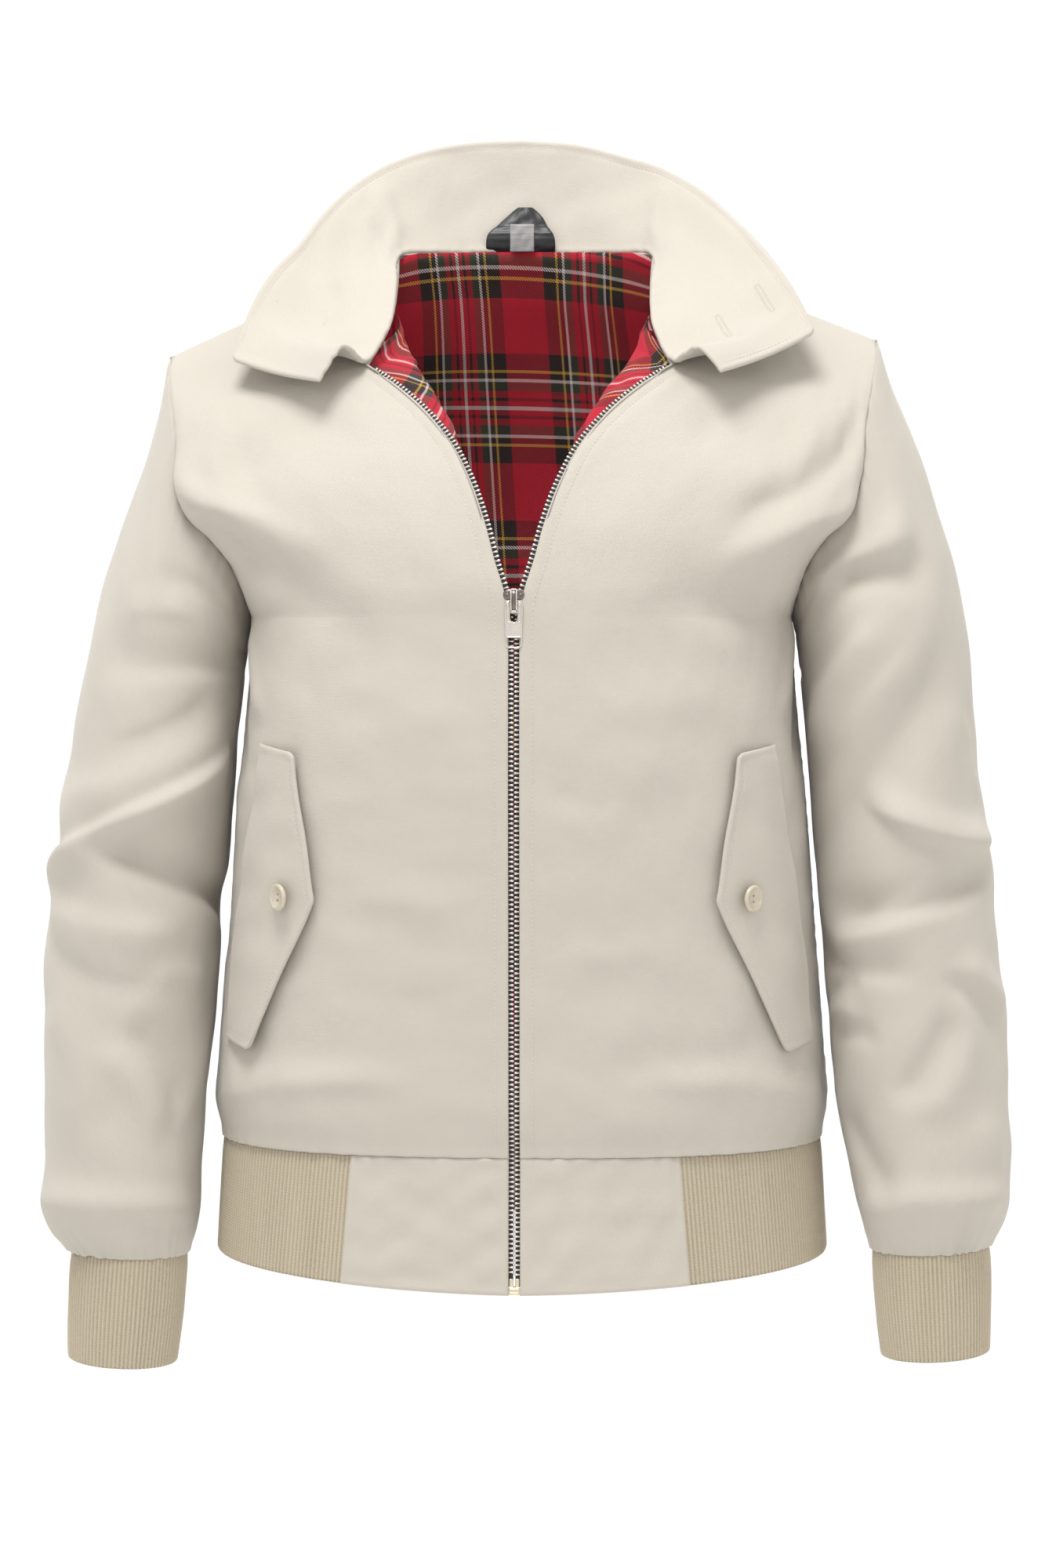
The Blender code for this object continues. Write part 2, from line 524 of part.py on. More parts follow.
def back_base(s, v):
    """The smooth back: s from -1 at the right side through the middle to 1 at the left.
    Near the top it is drawn onto the back neck and the shoulder seams."""
    share = np.abs(s)
    inner = read_table(CENTRE_BACK, v)
    outer = edge_line(SIDE_SEAM, ARMHOLE_BACK, UNDERARM_V, v)
    row = section_row(inner, outer, read_table(SQUARENESS, v)[..., 1], share)
    tip = np.asarray(ARMHOLE_BACK[-1][1:])
    neck = np.asarray(SIDE_NECK)
    top = section_row(np.zeros(3), tip, 2.0, share)
    inside = np.clip(top[..., 0] / neck[0], 0.0, 1.0) ** 2
    beyond = np.clip((top[..., 0] - neck[0]) / (tip[0] - neck[0]), 0.0, 1.0)
    wanted_y = inside * neck[1] + beyond * (tip[1] - neck[1])
    wanted_z = inside * neck[2] + beyond * (tip[2] - neck[2])
    hold = ease((v - 0.80) / 0.20) ** 1.5
    row[..., 1] += hold * (wanted_y - top[..., 1])
    row[..., 2] += hold * (wanted_z - top[..., 2])
    row[..., 0] *= np.where(s < 0, -1.0, 1.0)
    return row


def back_point(s, v, step=1e-3):
    """The back with its folds; both halves have the same ones, mirrored."""
    s, v = np.broadcast_arrays(np.asarray(s, float), np.asarray(v, float))
    base = back_base(s, v)
    across = back_base(np.clip(s + step, -1, 1), v) - back_base(np.clip(s - step, -1, 1), v)
    along = back_base(s, np.clip(v + step, 0, 1)) - back_base(s, np.clip(v - step, 0, 1))
    normal = unit(np.cross(along, across))
    share = np.abs(s)
    fade = ease((1.0 - share) / 0.10) * ease(v / 0.05) * ease((1.0 - v) / 0.05)
    height = fold_height(share * FRONT_WIDTH, v * PANEL_HEIGHT, BACK_FOLDS) * fade
    return base + normal * height[..., None]


def torso_stations(hem, body, chest, top):
    """Rows up a torso panel, closer together where it curves most."""
    return np.concatenate([
        np.linspace(0.0, 0.05, hem, endpoint=False),
        np.linspace(0.05, UNDERARM_V, body, endpoint=False),
        np.linspace(UNDERARM_V, CORNER_V, chest, endpoint=False),
        np.linspace(CORNER_V, 1.0, top),
    ])


def front_stations():
    """Rows of the front panels."""
    return torso_stations(2, 9, 9, 4)


def back_stations():
    """Rows of the back panel."""
    return torso_stations(2, 8, 7, 4)


def settled(points):
    """The left shoulder sits a little higher than the right: beyond LEAN_FROM from the
    middle, points above the underarm rise with x on the left and sink on the right."""
    x, z = points[..., 0], points[..., 2]
    beyond = np.sign(x) * np.clip(np.abs(x) - LEAN_FROM, 0.0, None)
    moved = points.copy()
    moved[..., 2] += LEAN * beyond * ease((z - LEAN_LOW_Z) / LEAN_FADE)
    return moved


def mirrored(points, side):
    """Points of the wearer's left side, mirrored for the right where side is -1."""
    return points * np.array([side, 1.0, 1.0])


# --- sleeves and cuffs -------------------------------------------------------------------
def armhole_loop(around):
    """The armhole: 0 at the underarm, over the front, 0.5 at the shoulder, down the back."""
    front = read_table(ARMHOLE_FRONT, UNDERARM_V + (1 - UNDERARM_V) * np.clip(2 * around, 0, 1))
    back = read_table(
        ARMHOLE_BACK, 1.0 - (1 - UNDERARM_V) * np.clip(2 * around - 1, 0, 1)
    )
    return np.where((around <= 0.5)[..., None], front, back)


def sleeve_ring(table, around, t):
    """An oval section of the arm, tilted by the drop of its outer side."""
    level, inner, outer, middle_y, depth, drop = np.moveaxis(read_table(table, t), -1, 0)
    out = (1.0 - np.cos(2 * math.pi * around)) / 2.0
    x = inner + (outer - inner) * out
    y = middle_y - depth * np.sin(2 * math.pi * around)
    z = level + drop * (0.5 - out)
    return np.stack([x, y, z], axis=-1)


def sleeve_base(table, around, t, leave_out):
    """The smooth sleeve: from the armhole to the first full section it bows out like a
    cubic curve, and below that it follows the table."""
    first = table[0][0]
    loop = armhole_loop(around)
    under = (0.5 + 0.5 * np.cos(2 * math.pi * around)) ** 2
    loop = loop + np.stack([SLEEVE_CLEAR * under, 0.0 * under, 0.0 * under], axis=-1)
    ring = sleeve_ring(table, around, np.full_like(t, first))
    below = sleeve_ring(table, around, np.full_like(t, first + 0.02))
    turn = 2 * math.pi * around
    leave = unit(np.stack([
        0.10 + (leave_out - 0.10) * (1.0 - np.cos(turn)) / 2.0,
        -0.40 * np.sin(turn),
        np.full_like(turn, -0.85),
    ], axis=-1))
    reach = np.linalg.norm(ring - loop, axis=-1, keepdims=True)
    arrive = unit(below - ring)
    k = np.clip(t / first, 0.0, 1.0)[..., None]
    first_handle = loop + leave * reach * 0.38
    last_handle = ring - arrive * reach * 0.38
    cap = (
        (1 - k) ** 3 * loop
        + 3 * k * (1 - k) ** 2 * first_handle
        + 3 * k**2 * (1 - k) * last_handle
        + k**3 * ring
    )
    return np.where((t < first)[..., None], cap, sleeve_ring(table, around, t))


def sleeve_level(table, t):
    """Nominal level of a sleeve station, for placing its folds."""
    first, top = table[0][0], -0.110
    level = read_table(table, t)[..., 0]
    return np.where(t < first, top + (table[0][1] - top) * t / first, level)


def sleeve_point(table, folds, around, t, leave_out, step=2e-3):
    """The sleeve with its folds, which leave both end seams alone."""
    around, t = np.broadcast_arrays(np.asarray(around, float), np.asarray(t, float))
    def smooth_at(around, t):
        return sleeve_base(table, around % 1.0, np.clip(t, 0.0, 1.0), leave_out)
    base = smooth_at(around, t)
    over = smooth_at(around + step, t) - smooth_at(around - step, t)
    down = smooth_at(around, t + step) - smooth_at(around, t - step)
    normal = unit(np.cross(down, over))
    height = fold_height(around * SLEEVE_GIRTH, sleeve_level(table, t), folds, SLEEVE_GIRTH)
    height = height * ease(t / 0.12) * ease((1.0 - t) / 0.03)
    under = ease((0.5 - np.abs(around - 0.5)) / 0.06)
    height = np.where(height > 0, height * (0.15 + 0.85 * under), height)
    return base + normal * height[..., None]


def cuff_ring(table, around, row):
    """One end ring of a cuff, as an oval tilted like the sleeve's last section."""
    level, inner, outer, middle_y, depth = table[row]
    out = (1.0 - np.cos(2 * math.pi * around)) / 2.0
    x = inner + (outer - inner) * out
    y = middle_y - depth * np.sin(2 * math.pi * around)
    z = level + CUFF_SLANT * (out - 0.5)
    return np.stack([x, y, z], axis=-1)


# --- hem ---------------------------------------------------------------------------------
def hem_ring(row, share):
    """A hem ring at even shares of its length, from the left zip edge round the back to the
    right one: superellipse quarters for front and back."""
    front_z, side_z, back_z, front_y, side_x, side_y, back_y = HEM_RINGS[row]
    turn = np.linspace(0.0, math.pi, 721)
    power = 2.0 / HEM_SQUARE
    x = side_x * np.sin(turn) ** power
    swing = np.sign(np.cos(turn)) * np.abs(np.cos(turn)) ** power
    y = side_y + np.where(swing > 0, front_y - side_y, side_y - back_y) * swing
    middle_z = np.where(swing > 0, front_z, back_z)
    z = middle_z + (side_z - middle_z) * (x / side_x) ** HEM_SWEEP
    half = np.stack([x, y, z], axis=-1)
    begin = np.searchsorted(x[:360], ZIP_HALF)
    half = half[begin:]
    full = np.concatenate([half, (half * np.array([-1.0, 1.0, 1.0]))[::-1][1:]])
    length = np.concatenate([[0.0], np.cumsum(np.linalg.norm(np.diff(full, axis=0), axis=1))])
    at = np.asarray(share) * length[-1]
    return np.stack([np.interp(at, length, full[:, i]) for i in range(3)], axis=-1), length[-1]


def band_share(row):
    """Share of the hem ring at which its cloth band ends."""
    shares = np.linspace(0.0, 0.25, 400)
    points, _ = hem_ring(row, shares)
    return float(np.interp(BAND_END_X[row], points[:, 0], shares))


# --- meshes ------------------------------------------------------------------------------
def material(name, colour):
    """A Principled material from a colour row."""
    made = bpy.data.materials.new(name)
    made.use_nodes = True
    shader = made.node_tree.nodes["Principled BSDF"]
    red, green, blue, roughness, metallic = colour
    shader.inputs["Base Color"].default_value = (red, green, blue, 1.0)
    shader.inputs["Roughness"].default_value = roughness
    shader.inputs["Metallic"].default_value = metallic
    made.diffuse_color = (red, green, blue, 1.0)
    return made


def add_object(name, points, faces, colour, smooth=True):
    """A mesh object from points and faces, its normals made to face outwards."""
    mesh = bpy.data.meshes.new(name)
    mesh.from_pydata([tuple(map(float, p)) for p in points], [], faces)
    shaped = bmesh.new()
    shaped.from_mesh(mesh)
    bmesh.ops.recalc_face_normals(shaped, faces=shaped.faces)
    shaped.to_mesh(mesh)
    shaped.free()
    if smooth:
        mesh.shade_smooth()
        mesh.set_sharp_from_angle(angle=math.radians(40))
    mesh.materials.append(material(name, colour))
    made = bpy.data.objects.new(name, mesh)
    bpy.context.scene.collection.objects.link(made)
    return made


def sheet_wall(name, middle, thick, colour, normals=None, wrap=False):
    """A closed wall of even thickness around a grid of middle points. Each cell is cut along
    the same diagonal on both faces, so that the wall keeps its thickness where it twists."""
    normals = grid_normals(middle, wrap) if normals is None else normals
    rows, columns = middle.shape[:2]
    outer = (middle + normals * thick / 2.0).reshape(-1, 3)
    inner = (middle - normals * thick / 2.0).reshape(-1, 3)
    shift = rows * columns
    faces = []
    last = columns if wrap else columns - 1
    for i in range(rows - 1):
        for j in range(last):
            k = (j + 1) % columns
            a, b = i * columns + j, i * columns + k
            d, c = a + columns, b + columns
            for half in ((a, b, c), (a, c, d)):
                faces.append(half)
                faces.append(tuple(shift + corner for corner in reversed(half)))
    for i in (0, rows - 1):
        for j in range(last):
            k = (j + 1) % columns
            a, b = i * columns + j, i * columns + k
            faces.append((b, a, shift + a, shift + b))
    if not wrap:
        for j in (0, columns - 1):
            for i in range(rows - 1):
                a, b = i * columns + j, (i + 1) * columns + j
                faces.append((a, b, shift + b, shift + a))
    return add_object(name, np.concatenate([outer, inner]), faces, colour)


def ribbed_wall(name, rings, ribs, plain, closed, colour):
    """A rib knit wall: fine ribs raised on its outside, a plain inside, and end faces that
    span a few ribs each. `rings` gives points and outward normals at shares of the length
    for the top and the bottom."""
    fine = ribs * 2
    per = fine // plain
    count = fine if closed else fine + 1
    coarse = plain if closed else plain + 1
    outer, inner = [], []
    for ring in rings:
        points, normals = ring(np.arange(count) / fine)
        rise = KNIT / 2.0 + RIB_RISE * (np.arange(count) % 2)
        outer.append(points + normals * rise[:, None])
        points, normals = ring(np.arange(coarse) / plain)
        inner.append(points - normals * KNIT / 2.0)
    points = np.concatenate(outer + inner)
    low, top_in, low_in = count, 2 * count, 2 * count + coarse
    faces = []
    for j in range(fine):
        k = (j + 1) % count
        faces.append((j, k, low + k, low + j))
    for j in range(plain):
        k = (j + 1) % coarse
        faces.append((top_in + k, top_in + j, low_in + j, low_in + k))
        span = [(j * per + i) % count for i in range(per + 1)]
        faces.append(tuple(reversed(span)) + (top_in + j, top_in + k))
        faces.append(tuple(low + i for i in span) + (low_in + k, low_in + j))
    if not closed:
        faces.append((0, low, low_in, top_in))
        faces.append((count - 1, top_in + plain, low_in + plain, low + count - 1))
    return add_object(name, points, faces, colour)


def outline_plate(name, outline, y_front, y_back, colour):
    """A flat plate: an outline in x and z, extruded from y_front to y_back."""
    count = len(outline)
    points = [(x, y, z) for y in (y_front, y_back) for x, z in outline]
    faces = [tuple(range(count)), tuple(range(2 * count - 1, count - 1, -1))]
    for i in range(count):
        k = (i + 1) % count
        faces.append((i, count + i, count + k, k))
    return add_object(name, points, faces, colour, smooth=False)


def boolean(target, other, operation):
    """Apply one Boolean to a mesh object and remove the other object."""
    step = target.modifiers.new(operation, "BOOLEAN")
    step.operation = operation
    step.object = other
    step.solver = "EXACT"
    evaluated = target.evaluated_get(bpy.context.evaluated_depsgraph_get())
    mesh = bpy.data.meshes.new_from_object(evaluated)
    target.modifiers.clear()
    target.data = mesh
    bpy.data.objects.remove(other)


# --- shell -------------------------------------------------------------------------------
def make_front(name, folds, side):
    """One front: a single panel from the hem seam to the shoulder."""
    v = front_stations()
    u = np.linspace(0.0, 1.0, FRONT_GRID) ** 0.8
    points = settled(mirrored(front_point(folds, u[None, :], v[:, None]), side))
    points = pull_side(points, v, False)
    return sheet_wall(name, pull_top(points), SHELL, STONE)


def back_columns(half):
    """Columns of the back, one of them on the corner of neck and shoulder."""
    tip = ARMHOLE_BACK[-1][1]
    corner = math.asin(SIDE_NECK[0] / tip) * 2.0 / math.pi
    inner = max(3, int(round(half * corner)))
    right = np.concatenate([
        np.linspace(0.0, corner, inner, endpoint=False)[1:],
        np.linspace(corner, 1.0, half - inner + 1),
    ])
    return np.concatenate([-right[::-1], [0.0], right])


def make_back():
    """The back, cut in one piece."""
    v = back_stations()
    points = settled(back_point(back_columns(BACK_HALF_GRID)[None, :], v[:, None]))
    points = pull_side(points, v, False)
    points = pull_side(points, v, True)
    return sheet_wall("back", pull_top(points), SHELL, STONE)


def make_sleeve(name, table, folds, leave_out, side):
    """One sleeve, a tube from the armhole to the gathered wrist."""
    t = np.concatenate([
        np.linspace(0.0, 0.32, 6, endpoint=False),
        np.linspace(0.32, 0.42, 2, endpoint=False),
        np.linspace(0.42, 0.66, 9, endpoint=False),
        np.linspace(0.66, 0.94, 5, endpoint=False),
        np.array([0.94, 0.97, 0.985, 1.0]),
    ])
    front = front_stations()[front_stations() >= UNDERARM_V - 1e-9]
    back = back_stations()[back_stations() >= UNDERARM_V - 1e-9]
    around = np.concatenate([
        0.5 * (front - UNDERARM_V) / (1.0 - UNDERARM_V),
        (1.0 - 0.5 * (back - UNDERARM_V) / (1.0 - UNDERARM_V))[::-1][1:-1],
    ])
    points = sleeve_point(table, folds, around[None, :], t[:, None], leave_out)
    points = pull_edge(points, 0, True, 1.6 * MITRE_PULL)
    points = pull_edge(points, 0, False, EDGE_PULL)
    return sheet_wall(name, settled(mirrored(points, side)), SHELL, STONE, wrap=True)


def make_cuff(name, table, side):
    """One rib knit cuff."""
    def ring_of(row):
        def ring(share):
            points = cuff_ring(table, share, row)
            ahead = cuff_ring(table, share + 1e-3, row) - cuff_ring(table, share - 1e-3, row)
            normal = unit(np.cross(ahead, np.array([0.0, 0.0, -1.0])))
            return mirrored(points, side), mirrored(normal, side)
        return ring
    girth = np.linalg.norm(np.diff(cuff_ring(table, np.linspace(0, 1, 200), 0), axis=0), axis=1).sum()
    plain = 14
    ribs = plain * int(round(girth / RIB_PITCH / plain))
    return ribbed_wall(name, [ring_of(0), ring_of(1)], ribs, plain, True, KHAKI)


def hem_normals(row, share):
    """Outward level normals of a hem ring."""
    ahead = hem_ring(row, np.clip(share + 1e-3, 0, 1))[0] - hem_ring(row, np.clip(share - 1e-3, 0, 1))[0]
    return unit(np.cross(ahead, np.array([0.0, 0.0, 1.0])))


def make_hem_rib():
    """The rib knit hem, from band to band round the back."""
    def ring_of(row):
        begin = band_share(row) + SEAM_GAP
        def ring(share):
            at = begin + (1.0 - 2.0 * begin) * share
            return hem_ring(row, at)[0], hem_normals(row, at)
        return ring
    length = hem_ring(0, [0.0])[1] * (1.0 - 2.0 * band_share(0))
    plain = 56
    ribs = plain * int(round(length / RIB_PITCH / plain))
    return ribbed_wall("hem_rib", [ring_of(0), ring_of(1)], ribs, plain, False, KHAKI)


def make_hem_band(name, side):
    """The cloth band beside the zip that closes the hem."""
    share = np.linspace(0.0, 1.0, 7)
    rows = []
    for row in (0, 1):
        at = share * (band_share(row) - SEAM_GAP)
        rows.append(hem_ring(row, at)[0])
    middle = rows[0] + (rows[1] - rows[0]) * 0.5
    points = np.stack([rows[0], middle, rows[1]])
    return sheet_wall(name, mirrored(points, side), BAND_CLOTH, STONE)


# --- collar ------------------------------------------------------------------------------
def collar_point(table, station, w):
    """One half of the collar, on the left: station along the neck, w from the seam to the
    free edge, with the roll raised as half a sine between them."""
    row = read_table(table, station)
    seam, edge, roll = row[..., :3], row[..., 3:6], row[..., 6]
    near = read_table(table, np.clip(station + 0.01, 0, 1)) - read_table(
        table, np.clip(station - 0.01, 0, 1)
    )
    up = unit(np.cross(edge - seam, near[..., :3] + near[..., 3:6]))
    w = w[..., None]
    return seam + (edge - seam) * w + up * (roll[..., None] * np.sin(math.pi * w))


def collar_grid(stations, widths):
    """Both halves of the collar as one grid of points."""
    station, width = np.broadcast_arrays(stations[None, :], widths[:, None])
    left = collar_point(COLLAR_LEFT, station, width)
    right = mirrored(collar_point(COLLAR_RIGHT, station, width), -1.0)
    return settled(np.concatenate([right[:, ::-1][:, :-1], left], axis=1))


def make_collar():
    """The collar, one turned strip that stands at the back and falls open at the front."""
    stations = np.array([0, 0.10, 0.20, 0.29, 0.36, 0.43, 0.52, 0.61, 0.70, 0.78, 0.84, 0.92, 1.0])
    points = collar_grid(stations, np.linspace(0.0, 1.0, 7))
    return sheet_wall("collar", points, COLLAR_CLOTH, STONE)


def tape_patch(name, shape, thick, colour):
    """An upright patch of tape from rows of level, middle x, half width and y."""
    level, middle, half, y = np.asarray(shape).T
    across = np.linspace(-1.0, 1.0, 7)[None, :]
    x = middle[:, None] + half[:, None] * across
    points = np.stack(np.broadcast_arrays(x, y[:, None], level[:, None]), axis=-1)
    return sheet_wall(name, points, thick, colour)


def make_loop():
    """The hanging loop: a tape whose arch stands on its own folded ends, before the collar."""
    return tape_patch("hanger_loop", LOOP_SHAPE, TAPE, NAVY)


def make_label():
    """The small blank tab sewn into the neck seam in front of the loop."""
    shape = [(level, LABEL_X, LABEL_HALF_WIDTH, y) for level, y in LABEL_SHAPE]
    return tape_patch("size_label", shape, LINING, GREY)


# --- lining ------------------------------------------------------------------------------
def make_lining_back():
    """The back lining: the back's own points moved inwards."""
    v = np.concatenate([
        np.linspace(LINING_BACK_LOW_V, UNDERARM_V, 6, endpoint=False),
        np.linspace(UNDERARM_V, LINING_HIGH_V, 7),
    ])
    step = 2e-3
    columns = back_columns(8) * LINING_SHARE
    tuck = LINING_TUCK_V * ease((np.abs(columns) - 0.22) / 0.08)
    v = v[:, None] - tuck[None, :] * ease((v[:, None] - 0.90) / 0.09)
    s, v = np.broadcast_arrays(columns[None, :], v)
    points = back_base(s, v)
    across = back_base(s + step, v) - back_base(s - step, v)
    along = back_base(s, np.clip(v + step, 0, 1)) - back_base(s, np.clip(v - step, 0, 1))
    normal = unit(np.cross(along, across))
    loose = ease((1.0 - np.abs(s)) / 0.10) * ease(v / 0.05) * ease((1.0 - v) / 0.05)
    inset = SHELL / 2.0 + LINING / 2.0 + LINING_GAP + LINING_LOOSE * loose
    points = settled(points - normal * inset[..., None])
    return sheet_wall("lining_back", points, LINING, TARTAN_RED)


def make_lining_front(name, side):
    """The front lining where it rolls into the open neck."""
    v = np.linspace(LINING_ROLL[0][0], LINING_ROLL[-1][0], 8)
    table = read_table(LINING_ROLL, v)
    edge = zip_line(v, -0.0010, -LINING_FRONT_IN)
    roll, back = table[:, :3], table[:, 3:]
    control = 2.0 * roll - 0.5 * (edge + back)
    w = np.linspace(0.0, 1.0, 6)[None, :, None]
    points = (
        (1 - w) ** 2 * edge[:, None] + 2 * w * (1 - w) * control[:, None] + w**2 * back[:, None]
    )
    return sheet_wall(name, mirrored(points, side), LINING, TARTAN_RED)


# --- zip ---------------------------------------------------------------------------------
def zip_line(v, past, out):
    """Points beside the left front's zip edge: `past` metres beyond the edge towards the
    middle, and `out` metres off the cloth, outwards."""
    v = np.asarray(v, float)
    step = 2e-3
    edge = front_base(np.zeros_like(v), v)
    across = unit(front_base(np.full_like(v, 0.02), v) - edge)
    along = front_base(np.zeros_like(v), np.clip(v + step, 0, CORNER_V)) - front_base(
        np.zeros_like(v), np.clip(v - step, 0, CORNER_V)
    )
    along = unit(along)
    across = unit(across - along * (across * along).sum(-1, keepdims=True))
    normal = unit(np.cross(across, along))
    return edge - across * past + normal * out


def zip_stations():
    """Stations up the zip: the front's own rows, to the neck corner."""
    rows = front_stations()
    rows = rows[rows < CORNER_V - 0.01]
    return np.concatenate([rows, [CORNER_V - 0.004]])


def zip_rows(past, out):
    """One long line of the zip from its foot in the hem to the neck corner."""
    line = zip_line(zip_stations(), past, out)
    foot = HEM_RINGS[1]
    low = np.array([ZIP_HALF - past, foot[3] - out, foot[0] + 0.0052])
    high = np.array([ZIP_HALF - past, HEM_RINGS[0][3] - out, HEM_RINGS[0][0] - 0.001])
    return np.concatenate([[low], [high], line])


def make_zip_strip(name, side, past, out, thick, colour):
    """A strip of the zip between two distances past the cloth edge."""
    lines = np.stack([zip_rows(past[0], out), zip_rows(past[1], out)], axis=1)
    return sheet_wall(name, mirrored(lines, side), thick, colour)


def chain_y(level):
    """Depth of the zip's middle plane at a level."""
    v = np.linspace(0.0, CORNER_V, 400)
    line = zip_line(v, ZIP_HALF, ZIP_OUT)
    return float(np.interp(level, line[:, 2], line[:, 1]))


def both_sides(right):
    """An outline in x and z from its right half, given from the bottom up."""
    return right + [(-x, z) for x, z in reversed(right)]


def make_slider():
    """The slider: two plates joined by a wedge between the parting chains, and the bail
    that carries the pull."""
    middle = chain_y(SLIDER_Z)
    near = middle - TEETH_THICK / 2.0 - SLIDER_CLEAR
    far = middle + TEETH_THICK / 2.0 + SLIDER_CLEAR
    outline = both_sides([
        (SLIDER_HALF_WIDTH * out, SLIDER_Z + SLIDER_HALF_HEIGHT * up) for out, up in SLIDER_OUTLINE
    ])
    slider = outline_plate("zip_slider", outline, near - PLATE, near, NICKEL)
    rear = outline_plate("rear_plate", outline, far, far + PLATE, NICKEL)
    top = SLIDER_Z + SLIDER_HALF_HEIGHT
    wedge = outline_plate(
        "wedge", both_sides([(half, top - down) for half, down in WEDGE_OUTLINE]),
        near - PLATE * 0.5, far + PLATE * 0.5, NICKEL,
    )
    boolean(slider, wedge, "UNION")
    boolean(slider, rear, "UNION")
    boolean(slider, make_bail(near - PLATE * 0.5), "UNION")
    slider.data.name = "zip_slider"
    return slider


def make_bail(root_y):
    """The bail: half an elliptic bar over the front plate, its feet in the plate."""
    bend = np.linspace(0.0, math.pi, 9)
    surface = root_y - PLATE * 0.5
    ring = []
    for half, rise in BAIL_ARCS:
        line = [(surface - rise * math.sin(a), SLIDER_Z + half * math.cos(a)) for a in bend]
        line = [(root_y, SLIDER_Z + half)] + line + [(root_y, SLIDER_Z - half)]
        ring.append(line)
    loop = ring[0] + ring[1][::-1]
    count = len(loop)
    points = [(x, y, z) for x in (-BAIL_HALF_WIDTH, BAIL_HALF_WIDTH) for y, z in loop]
    row = count // 2
    faces = []
    for i in range(row - 1):
        quad = (i, i + 1, count - 2 - i, count - 1 - i)
        faces.append(quad)
        faces.append(tuple(count + q for q in reversed(quad)))
    for i in range(count):
        k = (i + 1) % count
        faces.append((i, count + i, count + k, k))
    return add_object("bail", points, faces, NICKEL)


def make_pull():
    """The pull tab, hung on the bail by its slot; its origin is on the hinge."""
    pivot_y = chain_y(SLIDER_Z) - AXIS_FORWARD
    tab = outline_plate(
        "zip_pull", both_sides(PULL_OUTLINE), -PULL_THICK / 2, PULL_THICK / 2, NICKEL
    )
    for name, (half, low, high) in (("slot", PULL_SLOT), ("window", PULL_WINDOW)):
        outline = both_sides([(half, low), (half, high)])
        hole = outline_plate(name, outline, -PULL_THICK, PULL_THICK, NICKEL)
        boolean(tab, hole, "DIFFERENCE")
    tab.data.name = "zip_pull"
    tab.location = (0.0, pivot_y, SLIDER_Z)
    return tab


def make_zip_box():
    """The retainer box at the foot of the zip."""
    bottom, y = HEM_RINGS[1][0] + BOX_LIFT, HEM_RINGS[1][3] - ZIP_OUT
    outline = both_sides([(BOX_HALF_WIDTH, bottom), (BOX_HALF_WIDTH, bottom + BOX_HEIGHT)])
    return outline_plate("zip_box", outline, y - BOX_HALF_THICK, y + BOX_HALF_THICK, NICKEL)


# --- flaps and buttons -------------------------------------------------------------------
def front_uv(x, z):
    """The front's u and v below the armhole, from x and level: v by its level at the zip
    edge, u by undoing the superellipse."""
    v_line = np.linspace(0.0, 0.66, 300)
    v = np.interp(z, read_table(FRONT_EDGE, v_line)[:, 2], v_line)
    for _ in range(3):
        inner, outer = read_table(FRONT_EDGE, v), read_table(SIDE_SEAM, v)
        square = read_table(SQUARENESS, v)[..., 0]
        share = np.clip((x - inner[..., 0]) / (outer[..., 0] - inner[..., 0]), 0.0, 1.0)
        u = np.arcsin(share ** (square / 2.0)) * 2.0 / math.pi
        level = inner[..., 2] + (outer[..., 2] - inner[..., 2]) * u
        v = np.clip(v + (z - level) / PANEL_HEIGHT * 0.8, 0.0, 0.66)
    return u, v


def front_normal(u, v, step=4e-3):
    """Outward normal of the smooth left front."""
    across = front_base(np.clip(u + step, 0, 1), v) - front_base(np.clip(u - step, 0, 1), v)
    along = front_base(u, np.clip(v + step, 0, 1)) - front_base(u, np.clip(v - step, 0, 1))
    return unit(np.cross(across, along))


def flap_stand(c):
    """Distance of a flap's middle from the front's: on the cloth at its seam, lifted at
    its free edge."""
    return SHELL / 2.0 + FLAP_GAP + FLAP_CLOTH / 2.0 + FLAP_LIFT * c**1.5


def make_flap(name, side):
    """A slanted pocket flap with a pointed free edge, made from the front's points."""
    w = np.array([0.0, 0.12, 0.26, 0.40, 0.52, 0.64, 0.78, 0.90, 1.0])
    c = np.linspace(0.0, 1.0, 5)
    table = read_table(FLAP, w)
    seam_u, seam_v = front_uv(table[:, 0], table[:, 1])
    free_u, free_v = front_uv(table[:, 2], table[:, 3])
    u = seam_u[:, None] + (free_u - seam_u)[:, None] * c[None, :]
    v = seam_v[:, None] + (free_v - seam_v)[:, None] * c[None, :]
    normal = front_normal(u, v)
    points = front_base(u, v) + normal * flap_stand(np.broadcast_to(c, u.shape))[..., None]
    return sheet_wall(name, mirrored(points, side), FLAP_CLOTH, STONE)


